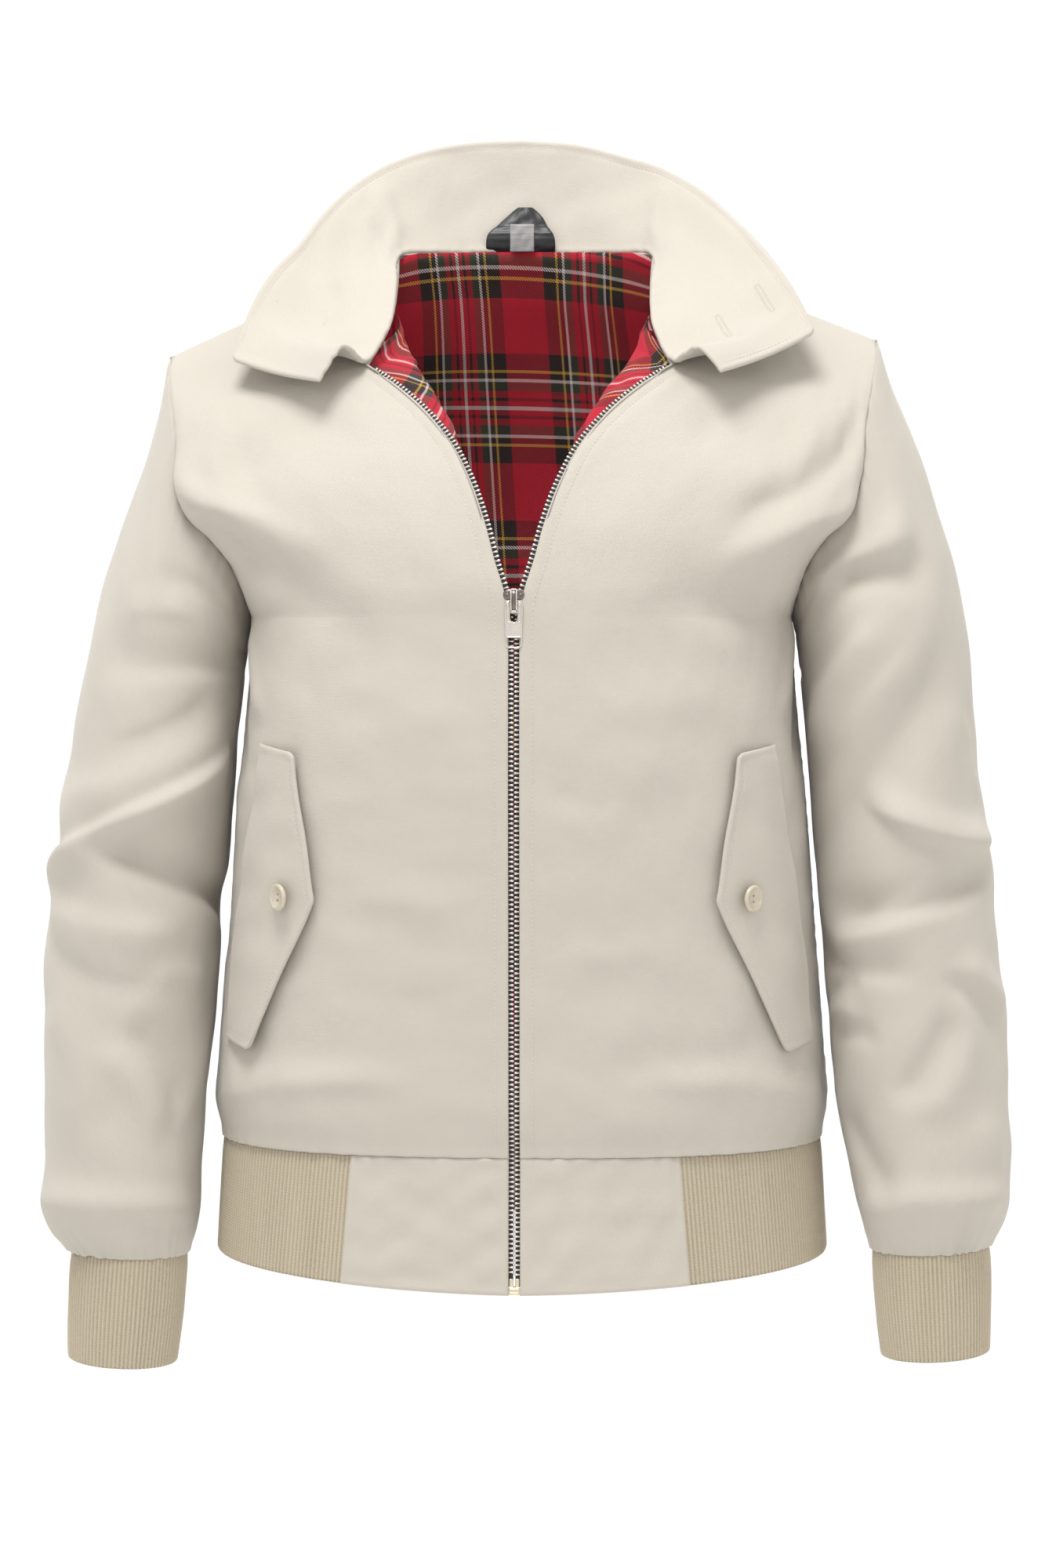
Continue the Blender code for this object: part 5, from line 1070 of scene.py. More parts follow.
# Folds: the across measure starts at the underarm seam and runs over the front, along is
# the level below the shoulder.
LEFT_ARM_FOLDS = (
    (0.036, -0.124, 0.134, -0.178, 0.000, 0.012, 0.20, 0.0050),
    (0.046, -0.146, 0.136, -0.199, 0.000, 0.011, -0.20, -0.0062),
    (0.145, -0.220, 0.026, -0.360, 0.000, 0.015, 0.15, -0.0066),
    (0.086, -0.196, 0.016, -0.304, 0.000, 0.014, 0.20, 0.0055),
    (0.060, -0.320, 0.166, -0.345, -0.008, 0.009, 0.35, 0.0078),
    (0.166, -0.353, 0.020, -0.394, 0.006, 0.010, -0.30, -0.0088),
    (0.112, -0.366, 0.025, -0.416, 0.000, 0.011, 0.20, 0.0046),
    (-0.010, -0.416, 0.090, -0.419, 0.000, 0.010, 0.20, -0.0046),
    (0.110, -0.412, 0.158, -0.448, 0.003, 0.009, 0.30, 0.0040),
    (0.100, -0.421, 0.146, -0.458, 0.003, 0.007, 0.00, -0.0030),
    (0.108, -0.438, 0.066, -0.496, 0.004, 0.011, 0.20, -0.0046),
    (0.122, -0.444, 0.080, -0.505, 0.006, 0.011, 0.20, 0.0036),
    (0.010, -0.436, 0.050, -0.428, 0.002, 0.006, 0.20, -0.0022),
    (0.012, -0.462, 0.062, -0.459, 0.003, 0.007, 0.20, -0.0024),
    (0.006, -0.448, 0.048, -0.444, 0.002, 0.006, 0.00, 0.0020),
    (0.015, -0.500, 0.060, -0.556, 0.000, 0.011, 0.20, -0.0036),
    (0.142, -0.298, 0.156, -0.258, 0.000, 0.007, 0.00, -0.0016),
    (0.150, -0.322, 0.146, -0.268, 0.000, 0.007, 0.00, 0.0018),
    (0.100, -0.230, 0.040, -0.300, 0.004, 0.007, 0.20, 0.0014),
    (0.120, -0.500, 0.140, -0.552, 0.003, 0.012, 0.00, 0.0020),
    (0.210, -0.300, 0.310, -0.352, 0.010, 0.015, 0.20, -0.0067),
    (0.235, -0.372, 0.325, -0.338, 0.010, 0.012, 0.25, 0.0062),
    (0.195, -0.438, 0.315, -0.472, 0.010, 0.015, -0.20, -0.0054),
    (0.205, -0.395, 0.290, -0.420, 0.006, 0.010, 0.20, 0.0032),
    (0.200, -0.230, 0.290, -0.270, 0.008, 0.012, 0.00, 0.0026),
    (0.010, -0.557, 0.165, -0.553, 0.006, 0.009, 0.00, 0.0046),
    (0.190, -0.552, 0.325, -0.557, 0.006, 0.009, 0.00, 0.0046),
)
RIGHT_ARM_FOLDS = (
    (0.142, -0.238, 0.004, -0.234, 0.003, 0.017, -0.20, -0.0042),
    (0.168, -0.322, 0.022, -0.286, 0.010, 0.017, 0.20, 0.0048),
    (0.192, -0.376, 0.012, -0.298, 0.001, 0.009, 0.38, 0.0078),
    (0.122, -0.342, -0.018, -0.396, 0.000, 0.010, -0.30, -0.0090),
    (0.165, -0.378, 0.046, -0.402, 0.006, 0.013, 0.20, 0.0044),
    (0.034, -0.508, 0.084, -0.450, 0.006, 0.013, 0.20, -0.0042),
    (0.052, -0.520, 0.100, -0.462, 0.006, 0.012, 0.20, 0.0028),
    (0.100, -0.510, 0.150, -0.440, 0.008, 0.016, 0.00, 0.0030),
    (0.110, -0.290, 0.040, -0.266, 0.005, 0.008, 0.20, -0.0016),
    (0.150, -0.404, 0.060, -0.432, 0.006, 0.008, 0.20, -0.0020),
    (0.020, -0.430, 0.070, -0.424, 0.003, 0.008, 0.00, 0.0018),
    (0.060, -0.190, 0.120, -0.214, 0.004, 0.010, 0.20, 0.0016),
    (0.030, -0.150, 0.100, -0.176, 0.002, 0.012, 0.00, -0.0022),
    (0.210, -0.306, 0.310, -0.360, 0.010, 0.015, 0.20, -0.0067),
    (0.230, -0.382, 0.325, -0.342, 0.010, 0.012, 0.25, 0.0062),
    (0.195, -0.448, 0.315, -0.482, 0.010, 0.015, -0.20, -0.0054),
    (0.205, -0.405, 0.290, -0.430, 0.006, 0.010, 0.20, 0.0030),
    (0.200, -0.240, 0.290, -0.276, 0.008, 0.012, 0.00, 0.0026),
    (0.010, -0.562, 0.165, -0.558, 0.006, 0.009, 0.00, 0.0046),
    (0.190, -0.557, 0.325, -0.563, 0.006, 0.009, 0.00, 0.0046),
)

# %% Smooth sleeve surface
SLEEVE_CLEAR = 0.0010   # the sleeve's step off the body at the underarm


def armhole_loop(around):
    """The armhole: 0 at the underarm, over the front, 0.5 at the shoulder, down the back."""
    rise = 1.0 - UNDERARM_V
    front = read_table(ARMHOLE_FRONT, UNDERARM_V + rise * np.clip(2 * around, 0, 1))
    rear = read_table(ARMHOLE_BACK, 1.0 - rise * np.clip(2 * around - 1, 0, 1))
    return np.where((around <= 0.5)[..., None], front, rear)


def sleeve_ring(table, around, t):
    """An oval section of the arm: half a cosine across, a sine in depth, tilted by its drop."""
    level, inner, outer, middle_y, depth, drop = np.moveaxis(read_table(table, t), -1, 0)
    out = (1.0 - np.cos(2 * math.pi * around)) / 2.0
    x = inner + (outer - inner) * out
    y = middle_y - depth * np.sin(2 * math.pi * around)
    return np.stack([x, y, level + drop * (0.5 - out)], axis=-1)


def sleeve_base(table, around, t, leave_out):
    """The smooth sleeve: from the armhole to the first full section it bows out like a
    cubic curve, and below that it follows the table."""
    around = around % 1.0
    first = table[0][0]
    loop = armhole_loop(around)
    loop[..., 0] += SLEEVE_CLEAR * (0.5 + 0.5 * np.cos(2 * math.pi * around)) ** 2
    ring = sleeve_ring(table, around, np.full_like(t, first))
    below = sleeve_ring(table, around, np.full_like(t, first + 0.02))
    turn = 2 * math.pi * around
    leave = unit(np.stack([0.10 + (leave_out - 0.10) * (1.0 - np.cos(turn)) / 2.0,
                           -0.40 * np.sin(turn), np.full_like(turn, -0.85)], axis=-1))
    reach = 0.38 * np.linalg.norm(ring - loop, axis=-1, keepdims=True)
    k = np.clip(t / first, 0.0, 1.0)[..., None]
    cap = ((1 - k) ** 3 * loop + 3 * k * (1 - k) ** 2 * (loop + leave * reach)
           + 3 * k**2 * (1 - k) * (ring - unit(below - ring) * reach) + k**3 * ring)
    return np.where((t < first)[..., None], cap, sleeve_ring(table, around, t))


def sleeve_level(table, t):
    """Nominal level of a sleeve station, for placing its folds."""
    first, top = table[0][0], -0.110
    level = read_table(table, t)[..., 0]
    return np.where(t < first, top + (table[0][1] - top) * t / first, level)

# %% The sleeves as tubes


def sleeve_grid(table, folds, leave_out, seed, lift=FACE, rows=184, columns=132):
    """The left sleeve's outer face: rows from the armhole down, columns round from the
    underarm over the back and once more to the underarm, so that the grid faces outwards."""
    t = with_edges(rows, (0.0, 0.006, 0.013))[:, None]
    around = (1.0 - np.arange(columns + 1) / columns)[None, :]
    around, t = np.broadcast_arrays(around, t)
    step = 2e-3

    def smooth(a, b):
        return sleeve_base(table, a, np.clip(b, 0.0, 1.0), leave_out)

    base = soften_rings(smooth(around, t), 0.001, 0.030, 40)
    over = smooth(around - step, t) - smooth(around + step, t)
    down = smooth(around, t + step) - smooth(around, t - step)
    normal = unit(np.cross(over, down))
    across, along = around * SLEEVE_GIRTH, sleeve_level(table, t)
    height = fold_height(across, along, folds, SLEEVE_GIRTH)
    height = height + unevenness(np.sin(2 * math.pi * around) * 0.06,
                                 along + 0.03 * np.cos(2 * math.pi * around), seed, 0.07, 0.0005)
    height = height * ease(t / 0.10) * ease((1.0 - t) / 0.03)
    under = ease((0.5 - np.abs(around - 0.5)) / 0.06)
    height = np.where(height > 0, height * (0.15 + 0.85 * under), height)
    gather = 0.5 - 0.5 * np.cos(2 * math.pi * around)
    height = height + pucker(across, run_length(base, 0), seed + 1, 0.0135, 0.010, 0.0006)
    left_over = run_length(base, 0)
    left_over = left_over[-1:] - left_over
    height = height + pucker(across, left_over, seed + 2, 0.0105, 0.016, 0.0010) * (0.6 + 0.4 * gather)
    flat = np.stack([(1.0 - around) * SLEEVE_GIRTH, -run_length(base, 0)], axis=-1)
    return base + normal * (lift + height)[..., None], flat


def soften_rings(points, start, reach, times):
    """Average a tube's rings along themselves, more and more from `start` to `reach` metres
    down the tube and then less again, so that a corner in the first ring doesn't run on."""
    run = run_length(points, 0)
    share = ease((run - start) / (reach - start)) * ease(1.0 - (run - 0.06) / 0.10)
    share = share[..., None] * 0.5
    ring = points[:, :-1]
    for _ in range(times):
        mean = 0.5 * (np.roll(ring, 1, axis=1) + np.roll(ring, -1, axis=1))
        ring = ring + share[:, :-1] * (mean - ring)
    return np.concatenate([ring, ring[:, :1]], axis=1)


def make_sleeve(word, side, table, folds, leave_out, seed):
    """One sleeve as a closed tube wall, turned under at the armhole and at the cuff."""
    points, flat = sleeve_grid(table, folds, leave_out, seed)
    points, flat = seam_edge(overhang(points, True, 0.0012, 0.0012), flat, 0, False)
    points, flat = turn_under(points, flat, 0, True, 0.0008, 0.0008)
    points = settled(side_of(points, side))
    if side < 0:
        points, flat = points[:, ::-1], flat[:, ::-1]
    piece = cloth_wall(f"sleeve_{word}_twill", points[:, :-1], flat, CLOTH, wrap=True)
    return finish_piece(piece, "jacket", SHELL_CLOTH, f"sleeve_{word}")


sleeve_left = make_sleeve("left", 1.0, SLEEVE_LEFT_ARM, LEFT_ARM_FOLDS, LEAVE_LEFT, 51)
make_sleeve("right", -1.0, SLEEVE_RIGHT_ARM, RIGHT_ARM_FOLDS, LEAVE_RIGHT, 67)
print("sleeves:", len(sleeve_left.data.polygons), "faces each")

# %% [markdown]
# ## Collar
# The collar is two layers sewn face to face, turned out and pressed, so its edges are round
# and a little fuller than its field. It stands up behind the neck, rolls over at the sides and
# falls as two pointed leaves. A row of topstitching runs a few millimetres inside the edge.

# %% Collar sections and its middle surface
# Station, seam x y z, free edge x y z, rise of the roll between them.
COLLAR_LEFT = (
    (0.00, 0.0000, 0.0006, 0.0008, -0.0040, 0.0200, 0.0690, 0.0015),
    (0.14, 0.0300, -0.0036, 0.0005, 0.0300, 0.0180, 0.0660, 0.0015),
    (0.27, 0.0560, -0.0142, -0.0004, 0.0590, 0.0120, 0.0580, 0.0010),
    (0.36, 0.0735, -0.0270, -0.0014, 0.0820, 0.0045, 0.0500, 0.0000),
    (0.43, 0.0775, -0.0425, -0.0080, 0.1025, -0.0100, 0.0375, 0.0010),
    (0.52, 0.0762, -0.0630, -0.0208, 0.1195, -0.0350, 0.0210, 0.0040),
    (0.62, 0.0762, -0.0860, -0.0365, 0.1385, -0.0660, -0.0010, 0.0060),
    (0.72, 0.0785, -0.1090, -0.0520, 0.1520, -0.0890, -0.0205, 0.0060),
    (0.82, 0.0890, -0.1365, -0.0705, 0.1595, -0.1030, -0.0340, 0.0050),
    (0.90, 0.1020, -0.1495, -0.0640, 0.1645, -0.1130, -0.0450, 0.0040),
    (1.00, 0.1168, -0.1600, -0.0790, 0.1697, -0.1270, -0.0580, 0.0030),
)
COLLAR_RIGHT = (
    (0.00, 0.0000, 0.0006, 0.0008, 0.0040, 0.0200, 0.0690, 0.0015),
    (0.14, 0.0300, -0.0036, 0.0005, 0.0390, 0.0180, 0.0672, 0.0015),
    (0.27, 0.0560, -0.0142, -0.0004, 0.0700, 0.0120, 0.0600, 0.0010),
    (0.36, 0.0735, -0.0270, -0.0014, 0.0915, 0.0045, 0.0500, 0.0000),
    (0.43, 0.0775, -0.0425, -0.0080, 0.1080, -0.0100, 0.0375, 0.0010),
    (0.52, 0.0762, -0.0630, -0.0208, 0.1220, -0.0350, 0.0210, 0.0040),
    (0.62, 0.0762, -0.0860, -0.0365, 0.1345, -0.0620, 0.0010, 0.0060),
    (0.72, 0.0785, -0.1090, -0.0520, 0.1465, -0.0820, -0.0140, 0.0060),
    (0.82, 0.0890, -0.1365, -0.0705, 0.1555, -0.0980, -0.0310, 0.0050),
    (0.90, 0.1000, -0.1490, -0.0635, 0.1610, -0.1100, -0.0475, 0.0040),
    (1.00, 0.1142, -0.1600, -0.0830, 0.1667, -0.1270, -0.0672, 0.0030),
)
COLLAR_HALF = 0.0013        # half the collar's thickness
COLLAR_CORNER = 0.0045      # radius of its front corners
COLLAR_LENGTH, COLLAR_WIDTH = 0.255, 0.070   # of one half, for spacing its grid
EDGE_STEPS = np.array([0.0, 0.00014, 0.0005, 0.0011, 0.0019, 0.0028])


def to_edge(count, length, first=True, last=True):
    """Stations from 0 to 1 over a real length, with EDGE_STEPS at one end or both."""
    fine = EDGE_STEPS / length
    low = fine if first else np.zeros(1)
    high = 1.0 - fine[::-1] if last else np.ones(1)
    inside = np.linspace(low[-1], high[0], count - len(low) - len(high) + 2)[1:-1]
    return np.concatenate([low, inside, high])


def collar_point(table, station, w):
    """One half of the collar, on the left: station along the neck, w from the seam to the
    free edge, with the roll raised as half a sine between them."""
    row = read_table(table, station)
    seam, edge, roll = row[..., :3], row[..., 3:6], row[..., 6]
    near = (read_table(table, np.clip(station + 0.01, 0, 1))
            - read_table(table, np.clip(station - 0.01, 0, 1)))
    up = unit(np.cross(edge - seam, near[..., :3] + near[..., 3:6]))
    w = w[..., None]
    return seam + (edge - seam) * w + up * (roll[..., None] * np.sin(math.pi * w))


def collar_half(table, stations, widths):
    """One half on a grid, its front corner rounded by drawing the stations back there."""
    station, w = np.broadcast_arrays(stations[None, :], widths[:, None])
    inward = np.clip(COLLAR_CORNER - (1.0 - w) * COLLAR_WIDTH, 0.0, None)
    back_off = COLLAR_CORNER - np.sqrt(COLLAR_CORNER**2 - inward**2)
    station = station - back_off / COLLAR_LENGTH * ease((station - 0.80) / 0.20)
    return collar_point(table, station, w)


# Soft creases of the collar: station and w of both ends, bow, width, lean, depth, one list
# for each half, on a map of COLLAR_LENGTH by COLLAR_WIDTH.
LEFT_COLLAR_FOLDS = (
    (0.092, 0.010, 0.097, 0.062, 0.002, 0.0045, 0.20, 0.0012),
    (0.104, 0.008, 0.112, 0.058, 0.002, 0.0060, 0.00, -0.0010),
    (0.150, 0.020, 0.200, 0.050, 0.003, 0.0100, 0.00, 0.0009),
    (0.206, 0.010, 0.232, 0.030, 0.002, 0.0050, 0.20, -0.0011),
    (0.040, 0.030, 0.010, 0.046, 0.002, 0.0120, 0.00, -0.0008),
)
RIGHT_COLLAR_FOLDS = (
    (0.092, 0.008, 0.098, 0.064, 0.002, 0.0042, 0.25, 0.0016),
    (0.103, 0.010, 0.110, 0.060, 0.002, 0.0060, 0.00, -0.0012),
    (0.160, 0.046, 0.190, 0.022, 0.003, 0.0090, 0.00, 0.0010),
    (0.196, 0.004, 0.236, 0.026, 0.003, 0.0050, 0.25, -0.0013),
    (0.216, 0.010, 0.240, 0.036, 0.002, 0.0040, 0.00, 0.0008),
    (0.030, 0.024, 0.060, 0.040, 0.002, 0.0120, 0.00, -0.0007),
)

# %% The collar
stations = to_edge(96, COLLAR_LENGTH, first=False)
widths = to_edge(52, COLLAR_WIDTH)
left = collar_half(COLLAR_LEFT, stations, widths)
right = side_of(collar_half(COLLAR_RIGHT, stations, widths), -1.0)
collar_middle = settled(np.concatenate([right[:, ::-1][:, :-1], left], axis=1))
collar_normal = grid_normals(collar_middle)
across = stations[None, :] * COLLAR_LENGTH
along = widths[:, None] * COLLAR_WIDTH
creases = np.concatenate([
    fold_height(across, along, RIGHT_COLLAR_FOLDS)[:, ::-1][:, :-1],
    fold_height(across, along, LEFT_COLLAR_FOLDS)], axis=1)
across = np.concatenate([-across[:, ::-1][:, :-1], across], axis=1)
rim = edge_distance(collar_middle, "foot start end")
creases = creases + unevenness(across, along, 71, 0.05, 0.0004) * ease(rim / 0.01)
creases = creases + pucker(across, along, 73, 0.009, 0.005, 0.0005)
collar_middle = collar_middle + collar_normal * (creases * ease(rim / 0.006))[..., None]
collar_middle = overhang(collar_middle, False, 0.0, 0.0018, 0.005)
flat = np.stack(np.broadcast_arrays(across, along), axis=-1)
TOPSTITCH = 0.0050      # from a turned edge to its topstitching
turned_rim = np.minimum(rim, edge_distance(collar_middle, "top"))
collar = turned_piece("collar_twill", collar_middle, flat,
                      COLLAR_HALF - 0.0004 * bell(rim - TOPSTITCH, 0.0008), turned_rim, 0.0004)
finish_piece(collar, "jacket", SHELL_CLOTH, "collar")
print("collar:", len(collar.data.polygons), "faces")

# %% [markdown]
# ## Rib knit hem and cuffs
# Each rib is a raised column of stitches between two furrows. The knit is doubled over at its
# lower edge, so that edge is a soft round fold, and its upper edge runs into the seam.

# %% Rings of the cuffs and the hem
CUFF_LEFT_ARM = (
    (-0.5812, 0.2050, 0.2715, -0.1288, 0.0358),
    (-0.6430, 0.2103, 0.2718, -0.1330, 0.0345),
)
CUFF_RIGHT_ARM = (
    (-0.5862, 0.1945, 0.2605, -0.1292, 0.0358),
    (-0.6500, 0.2006, 0.2625, -0.1335, 0.0345),
)
CUFF_SLANT = 0.0035     # the outer side of a cuff sits higher than its inner side
# Hem rings: level at front, side and back, front y, side x, side y, back y.
HEM_RINGS = (
    (-0.5206, -0.5206, -0.5206, -0.2036, 0.1747, -0.0880, 0.0276),
    (-0.5990, -0.5885, -0.5850, -0.2070, 0.1785, -0.0880, 0.0290),
)
HEM_SWEEP, HEM_SQUARE = 1.5, 2.48
BAND_END_X = (0.0923, 0.0983)
ZIP_HALF = 0.0045
SEAM_GAP = 0.0003
KNIT = 0.0010           # one layer of the doubled knit
RIB_RISE = 0.0009
RIB_POINTS = 6


def cuff_point(table, around, drop):
    """An oval of the cuff at a share of its height: both tables' rows mixed evenly, and
    swollen by half a sine between them."""
    top, foot = np.array(table[0]), np.array(table[1])
    row = top + (foot - top) * drop[..., None]
    level, inner, outer, middle_y, depth = np.moveaxis(row, -1, 0)
    swell = 0.0008 * np.sin(math.pi * drop)
    out = (1.0 - np.cos(2 * math.pi * around)) / 2.0
    x = inner - swell + (outer - inner + 2 * swell) * out
    y = middle_y - (depth + swell) * np.sin(2 * math.pi * around)
    return np.stack([x, y, level + CUFF_SLANT * (out - 0.5)], axis=-1)


def hem_ring(row):
    """Closely spaced points of a hem ring, from the left zip edge round the back to the
    right one, with their shares of its length: superellipse quarters for front and back."""
    front_z, side_z, back_z, front_y, side_x, side_y, back_y = HEM_RINGS[row]
    turn = np.linspace(0.0, math.pi, 1441)
    power = 2.0 / HEM_SQUARE
    x = side_x * np.sin(turn) ** power
    swing = np.sign(np.cos(turn)) * np.abs(np.cos(turn)) ** power
    y = side_y + np.where(swing > 0, front_y - side_y, side_y - back_y) * swing
    z = np.where(swing > 0, front_z, back_z)
    z = z + (side_z - z) * (x / side_x) ** HEM_SWEEP
    half = np.stack([x, y, z], axis=-1)[np.searchsorted(x[:720], ZIP_HALF):]
    full = np.concatenate([half, side_of(half, -1.0)[::-1][1:]])
    run = run_length(full, 0)
    return full, run / run[-1], run[-1]


HEM_LINES = [hem_ring(row) for row in (0, 1)]


def hem_point(share, drop):
    """A point of the hem: both rings read at the same share, mixed by the drop."""
    ends = [np.stack([np.interp(share, at, ring[:, i]) for i in range(3)], axis=-1)
            for ring, at, _ in HEM_LINES]
    return ends[0] + (ends[1] - ends[0]) * drop[..., None]


def band_share(row):
    """Share of a hem ring at which its cloth band ends."""
    ring, at, _ = HEM_LINES[row]
    return float(np.interp(BAND_END_X[row], ring[:400, 0], at[:400]))

# %% Ribs raised on a tube or strip


def rib_rows(count):
    """Shares down a rib, with three rows close above its lower edge."""
    return np.concatenate([np.linspace(0.0, 0.955, count - 3), [0.978, 0.991, 1.0]])[:, None]


def rib_wall(name, points, drop, seed, height, wrap, node):
    """A rib knit wall from its middle points: both edges rolled under, then ribs raised as a
    rounded cosine that dies away round the rolls."""
    columns = points.shape[1]
    flat = np.stack(np.broadcast_arrays(
        np.arange(columns + wrap)[None, :] / RIB_POINTS * RIB_PITCH, -drop * height), axis=-1)
    points, flat = turn_under(points, flat, 0, False, 0.0008, 0.002, bool(wrap))
    points, flat = turn_under(points, flat, 0, True, 0.0012, 0.012, bool(wrap))
    turn = 2 * math.pi * np.arange(columns)[None, :] / RIB_POINTS
    crest = (0.5 + 0.5 * np.cos(turn)) ** 0.8
    fade = (0.55 + 0.45 * ease(drop / 0.06)) * (0.45 + 0.55 * ease((1.0 - drop) / 0.03))
    roll = np.array([[0.0], [0.1], [0.2], [0.4]])
    fade = np.concatenate([roll, fade, roll[::-1]])
    down = np.concatenate([np.zeros((4, 1)), drop, np.ones((4, 1))])
    rise = RIB_RISE * crest * fade * (1.0 + unevenness(turn / 40.0, down, seed, 0.9, 0.12))
    points = points + grid_normals(points, bool(wrap)) * rise[..., None]
    piece = cloth_wall(name, points, flat, KNIT, wrap=bool(wrap))
    return finish_piece(piece, "jacket", RIB_KNIT, node)


def make_cuff(word, side, table):
    """One cuff: a whole number of ribs round its girth. Its seed keeps the two uneven."""
    around = np.linspace(0.0, 1.0, 400)
    girth = run_length(cuff_point(table, around, np.zeros(400)), 0)[-1]
    ribs = int(round(girth / RIB_PITCH))
    around = (1.0 - np.arange(ribs * RIB_POINTS) / (ribs * RIB_POINTS))[None, :]
    drop = rib_rows(11)
    points = side_of(cuff_point(table, *np.broadcast_arrays(around, drop)), side)
    if side < 0:
        points = points[:, ::-1]
    height = table[0][0] - table[1][0]
    seed = 14 if side > 0 else 15
    return rib_wall(f"cuff_{word}_knit", points, drop, seed, height, 1, f"cuff_{word}")


make_cuff("left", 1.0, CUFF_LEFT_ARM)
make_cuff("right", -1.0, CUFF_RIGHT_ARM)
starts = [band_share(row) + SEAM_GAP for row in (0, 1)]
rib_length = HEM_LINES[0][2] * (1.0 - 2.0 * starts[0])
hem_ribs = int(round(rib_length / RIB_PITCH))
share = np.linspace(0.0, 1.0, hem_ribs * RIB_POINTS + 1)[None, ::-1]
drop = rib_rows(10)
start = starts[0] + (starts[1] - starts[0]) * drop
hem_points = hem_point(start + (1.0 - 2.0 * start) * share, drop + 0.0 * share)
hem_rib = rib_wall("hem_rib_knit", hem_points, drop, 12, 0.070, 0, "hem_rib")
print("ribs round the hem:", hem_ribs, "faces:", len(hem_rib.data.polygons))

# %% [markdown]
# ## Cloth bands of the hem
# Beside the zip the knit gives way to two bands of the shell cloth, doubled over at the lower
# edge, so that the zip has something firm to be sewn to.

# %% Hem bands
BAND_HALF = 0.0012


def make_band(word, side):
    """One band between the zip and the rib, puffed slightly, with turned edges."""
    share = to_edge(56, 0.09)[None, :]
    drop = to_edge(44, 0.078)[:, None]
    end = [band_share(row) + 0.0008 for row in (0, 1)]
    at = (end[0] + (end[1] - end[0]) * drop) * share
    middle = hem_point(at, drop + 0.0 * share)
    cover = EDGE_COVER * ease(1.0 - share * 0.092 / 0.008)
    middle = middle - unit(middle[:, 6:7] - middle[:, :1]) * cover[..., None]
    rim = edge_distance(middle, "foot top start end")
    normals = grid_normals(middle[:, ::-1])[:, ::-1]
    soft = unevenness(share * 0.09, drop * 0.078, 81 + int(side), 0.035, 0.0004) * ease(rim / 0.01)
    soft = soft + pucker(share * 0.09, drop * 0.078, 83, 0.011, 0.007, 0.0005)
    soft = soft - 0.0008 * ease(1.0 - edge_distance(middle, "top") / 0.003)
    soft = soft - 0.0004 * bell(edge_distance(middle, "end") - 0.004, 0.0009)
    soft = soft - 0.0003 * bell(edge_distance(middle, "start") - PLACKET - EDGE_COVER, 0.0009)
    middle = middle + normals * soft[..., None]
    flat = np.stack(np.broadcast_arrays(share * 0.092, -drop * 0.078), axis=-1)
    BAND_GRIDS[word] = (middle, normals)
    middle = side_of(middle, side)
    if side > 0:
        middle, rim, flat = middle[:, ::-1], rim[:, ::-1], flat[:, ::-1]
    piece = turned_piece(f"hem_band_{word}_twill", middle, flat, BAND_HALF, rim, 0.0003)
    return finish_piece(piece, "jacket", SHELL_CLOTH, f"hem_band_{word}")


BAND_GRIDS = {}
for word, side in SIDES:
    band = make_band(word, side)
print("bands:", len(band.data.polygons), "faces each")

# %% [markdown]
# ## Pocket flaps
# The pockets are slanted, and each has a long flap with a point towards the middle. A flap is
# turned like the collar, sewn down along its outer seam and topstitched inside its free edges.
# It is made from the front's own points, moved out, so that it lies on the front.

# %% Places on the front, and the flaps
# Station from top to tip, seam x z, free edge x z.
FLAP = (
    (0.00, 0.1442, -0.2900, 0.1226, -0.2940),
    (0.14, 0.1475, -0.3110, 0.1198, -0.3165),
    (0.32, 0.1520, -0.3385, 0.1150, -0.3450),
    (0.47, 0.1558, -0.3645, 0.1118, -0.3712),
    (0.50, 0.1566, -0.3700, 0.1110, -0.3765),
    (0.53, 0.1574, -0.3750, 0.1126, -0.3812),
    (0.75, 0.1628, -0.4110, 0.1303, -0.4200),
    (0.95, 0.1655, -0.4520, 0.1462, -0.4568),
    (1.00, 0.1663, -0.4605, 0.1500, -0.4650),
)
FLAP_LIFT = 0.0030      # how far the free edge stands off the front
FLAP_GAP = 0.0008       # clearance of its seam edge over the curved front
FLAP_HALF = 0.0010
FLAP_CORNER = 0.0035
FLAP_BUTTON_XZ = (0.1310, -0.3765)


def front_uv(x, z):
    """The front's u and v below the armhole, from x and level: v by its level at the zip
    edge, u by undoing the superellipse."""
    v_line = np.linspace(0.0, 0.66, 300)
    v = np.interp(z, read_table(FRONT_EDGE, v_line)[:, 2], v_line)
    for _ in range(3):
        inner, outer = read_table(FRONT_EDGE, v), read_table(SIDE_SEAM, v)
        square = read_table(SQUARENESS, v)[..., 0]
        share = np.clip((x - inner[..., 0]) / (outer[..., 0] - inner[..., 0]), 0.0, 1.0)
        u = np.arcsin(share ** (square / 2.0)) * 2.0 / math.pi
        level = inner[..., 2] + (outer[..., 2] - inner[..., 2]) * u
        v = np.clip(v + (z - level) / PANEL_HEIGHT * 0.8, 0.0, 0.66)
    return u, v


def flap_place(w, c):
    """Point and normal on the flap's middle: w down the flap, c from the seam to the free
    edge, lifted off the front as c^1.5."""
    table = read_table(FLAP, w)
    seam_u, seam_v = front_uv(table[..., 0], table[..., 1])
    free_u, free_v = front_uv(table[..., 2], table[..., 3])
    u, v = seam_u + (free_u - seam_u) * c, seam_v + (free_v - seam_v) * c
    normal = surface_normal(front_base, u, v, (0.0, 1.0), (0.0, 1.0), 4e-3)
    stand = FACE + FLAP_GAP + FLAP_HALF + FLAP_LIFT * c**1.5
    return front_base(u, v) + normal * stand[..., None], normal


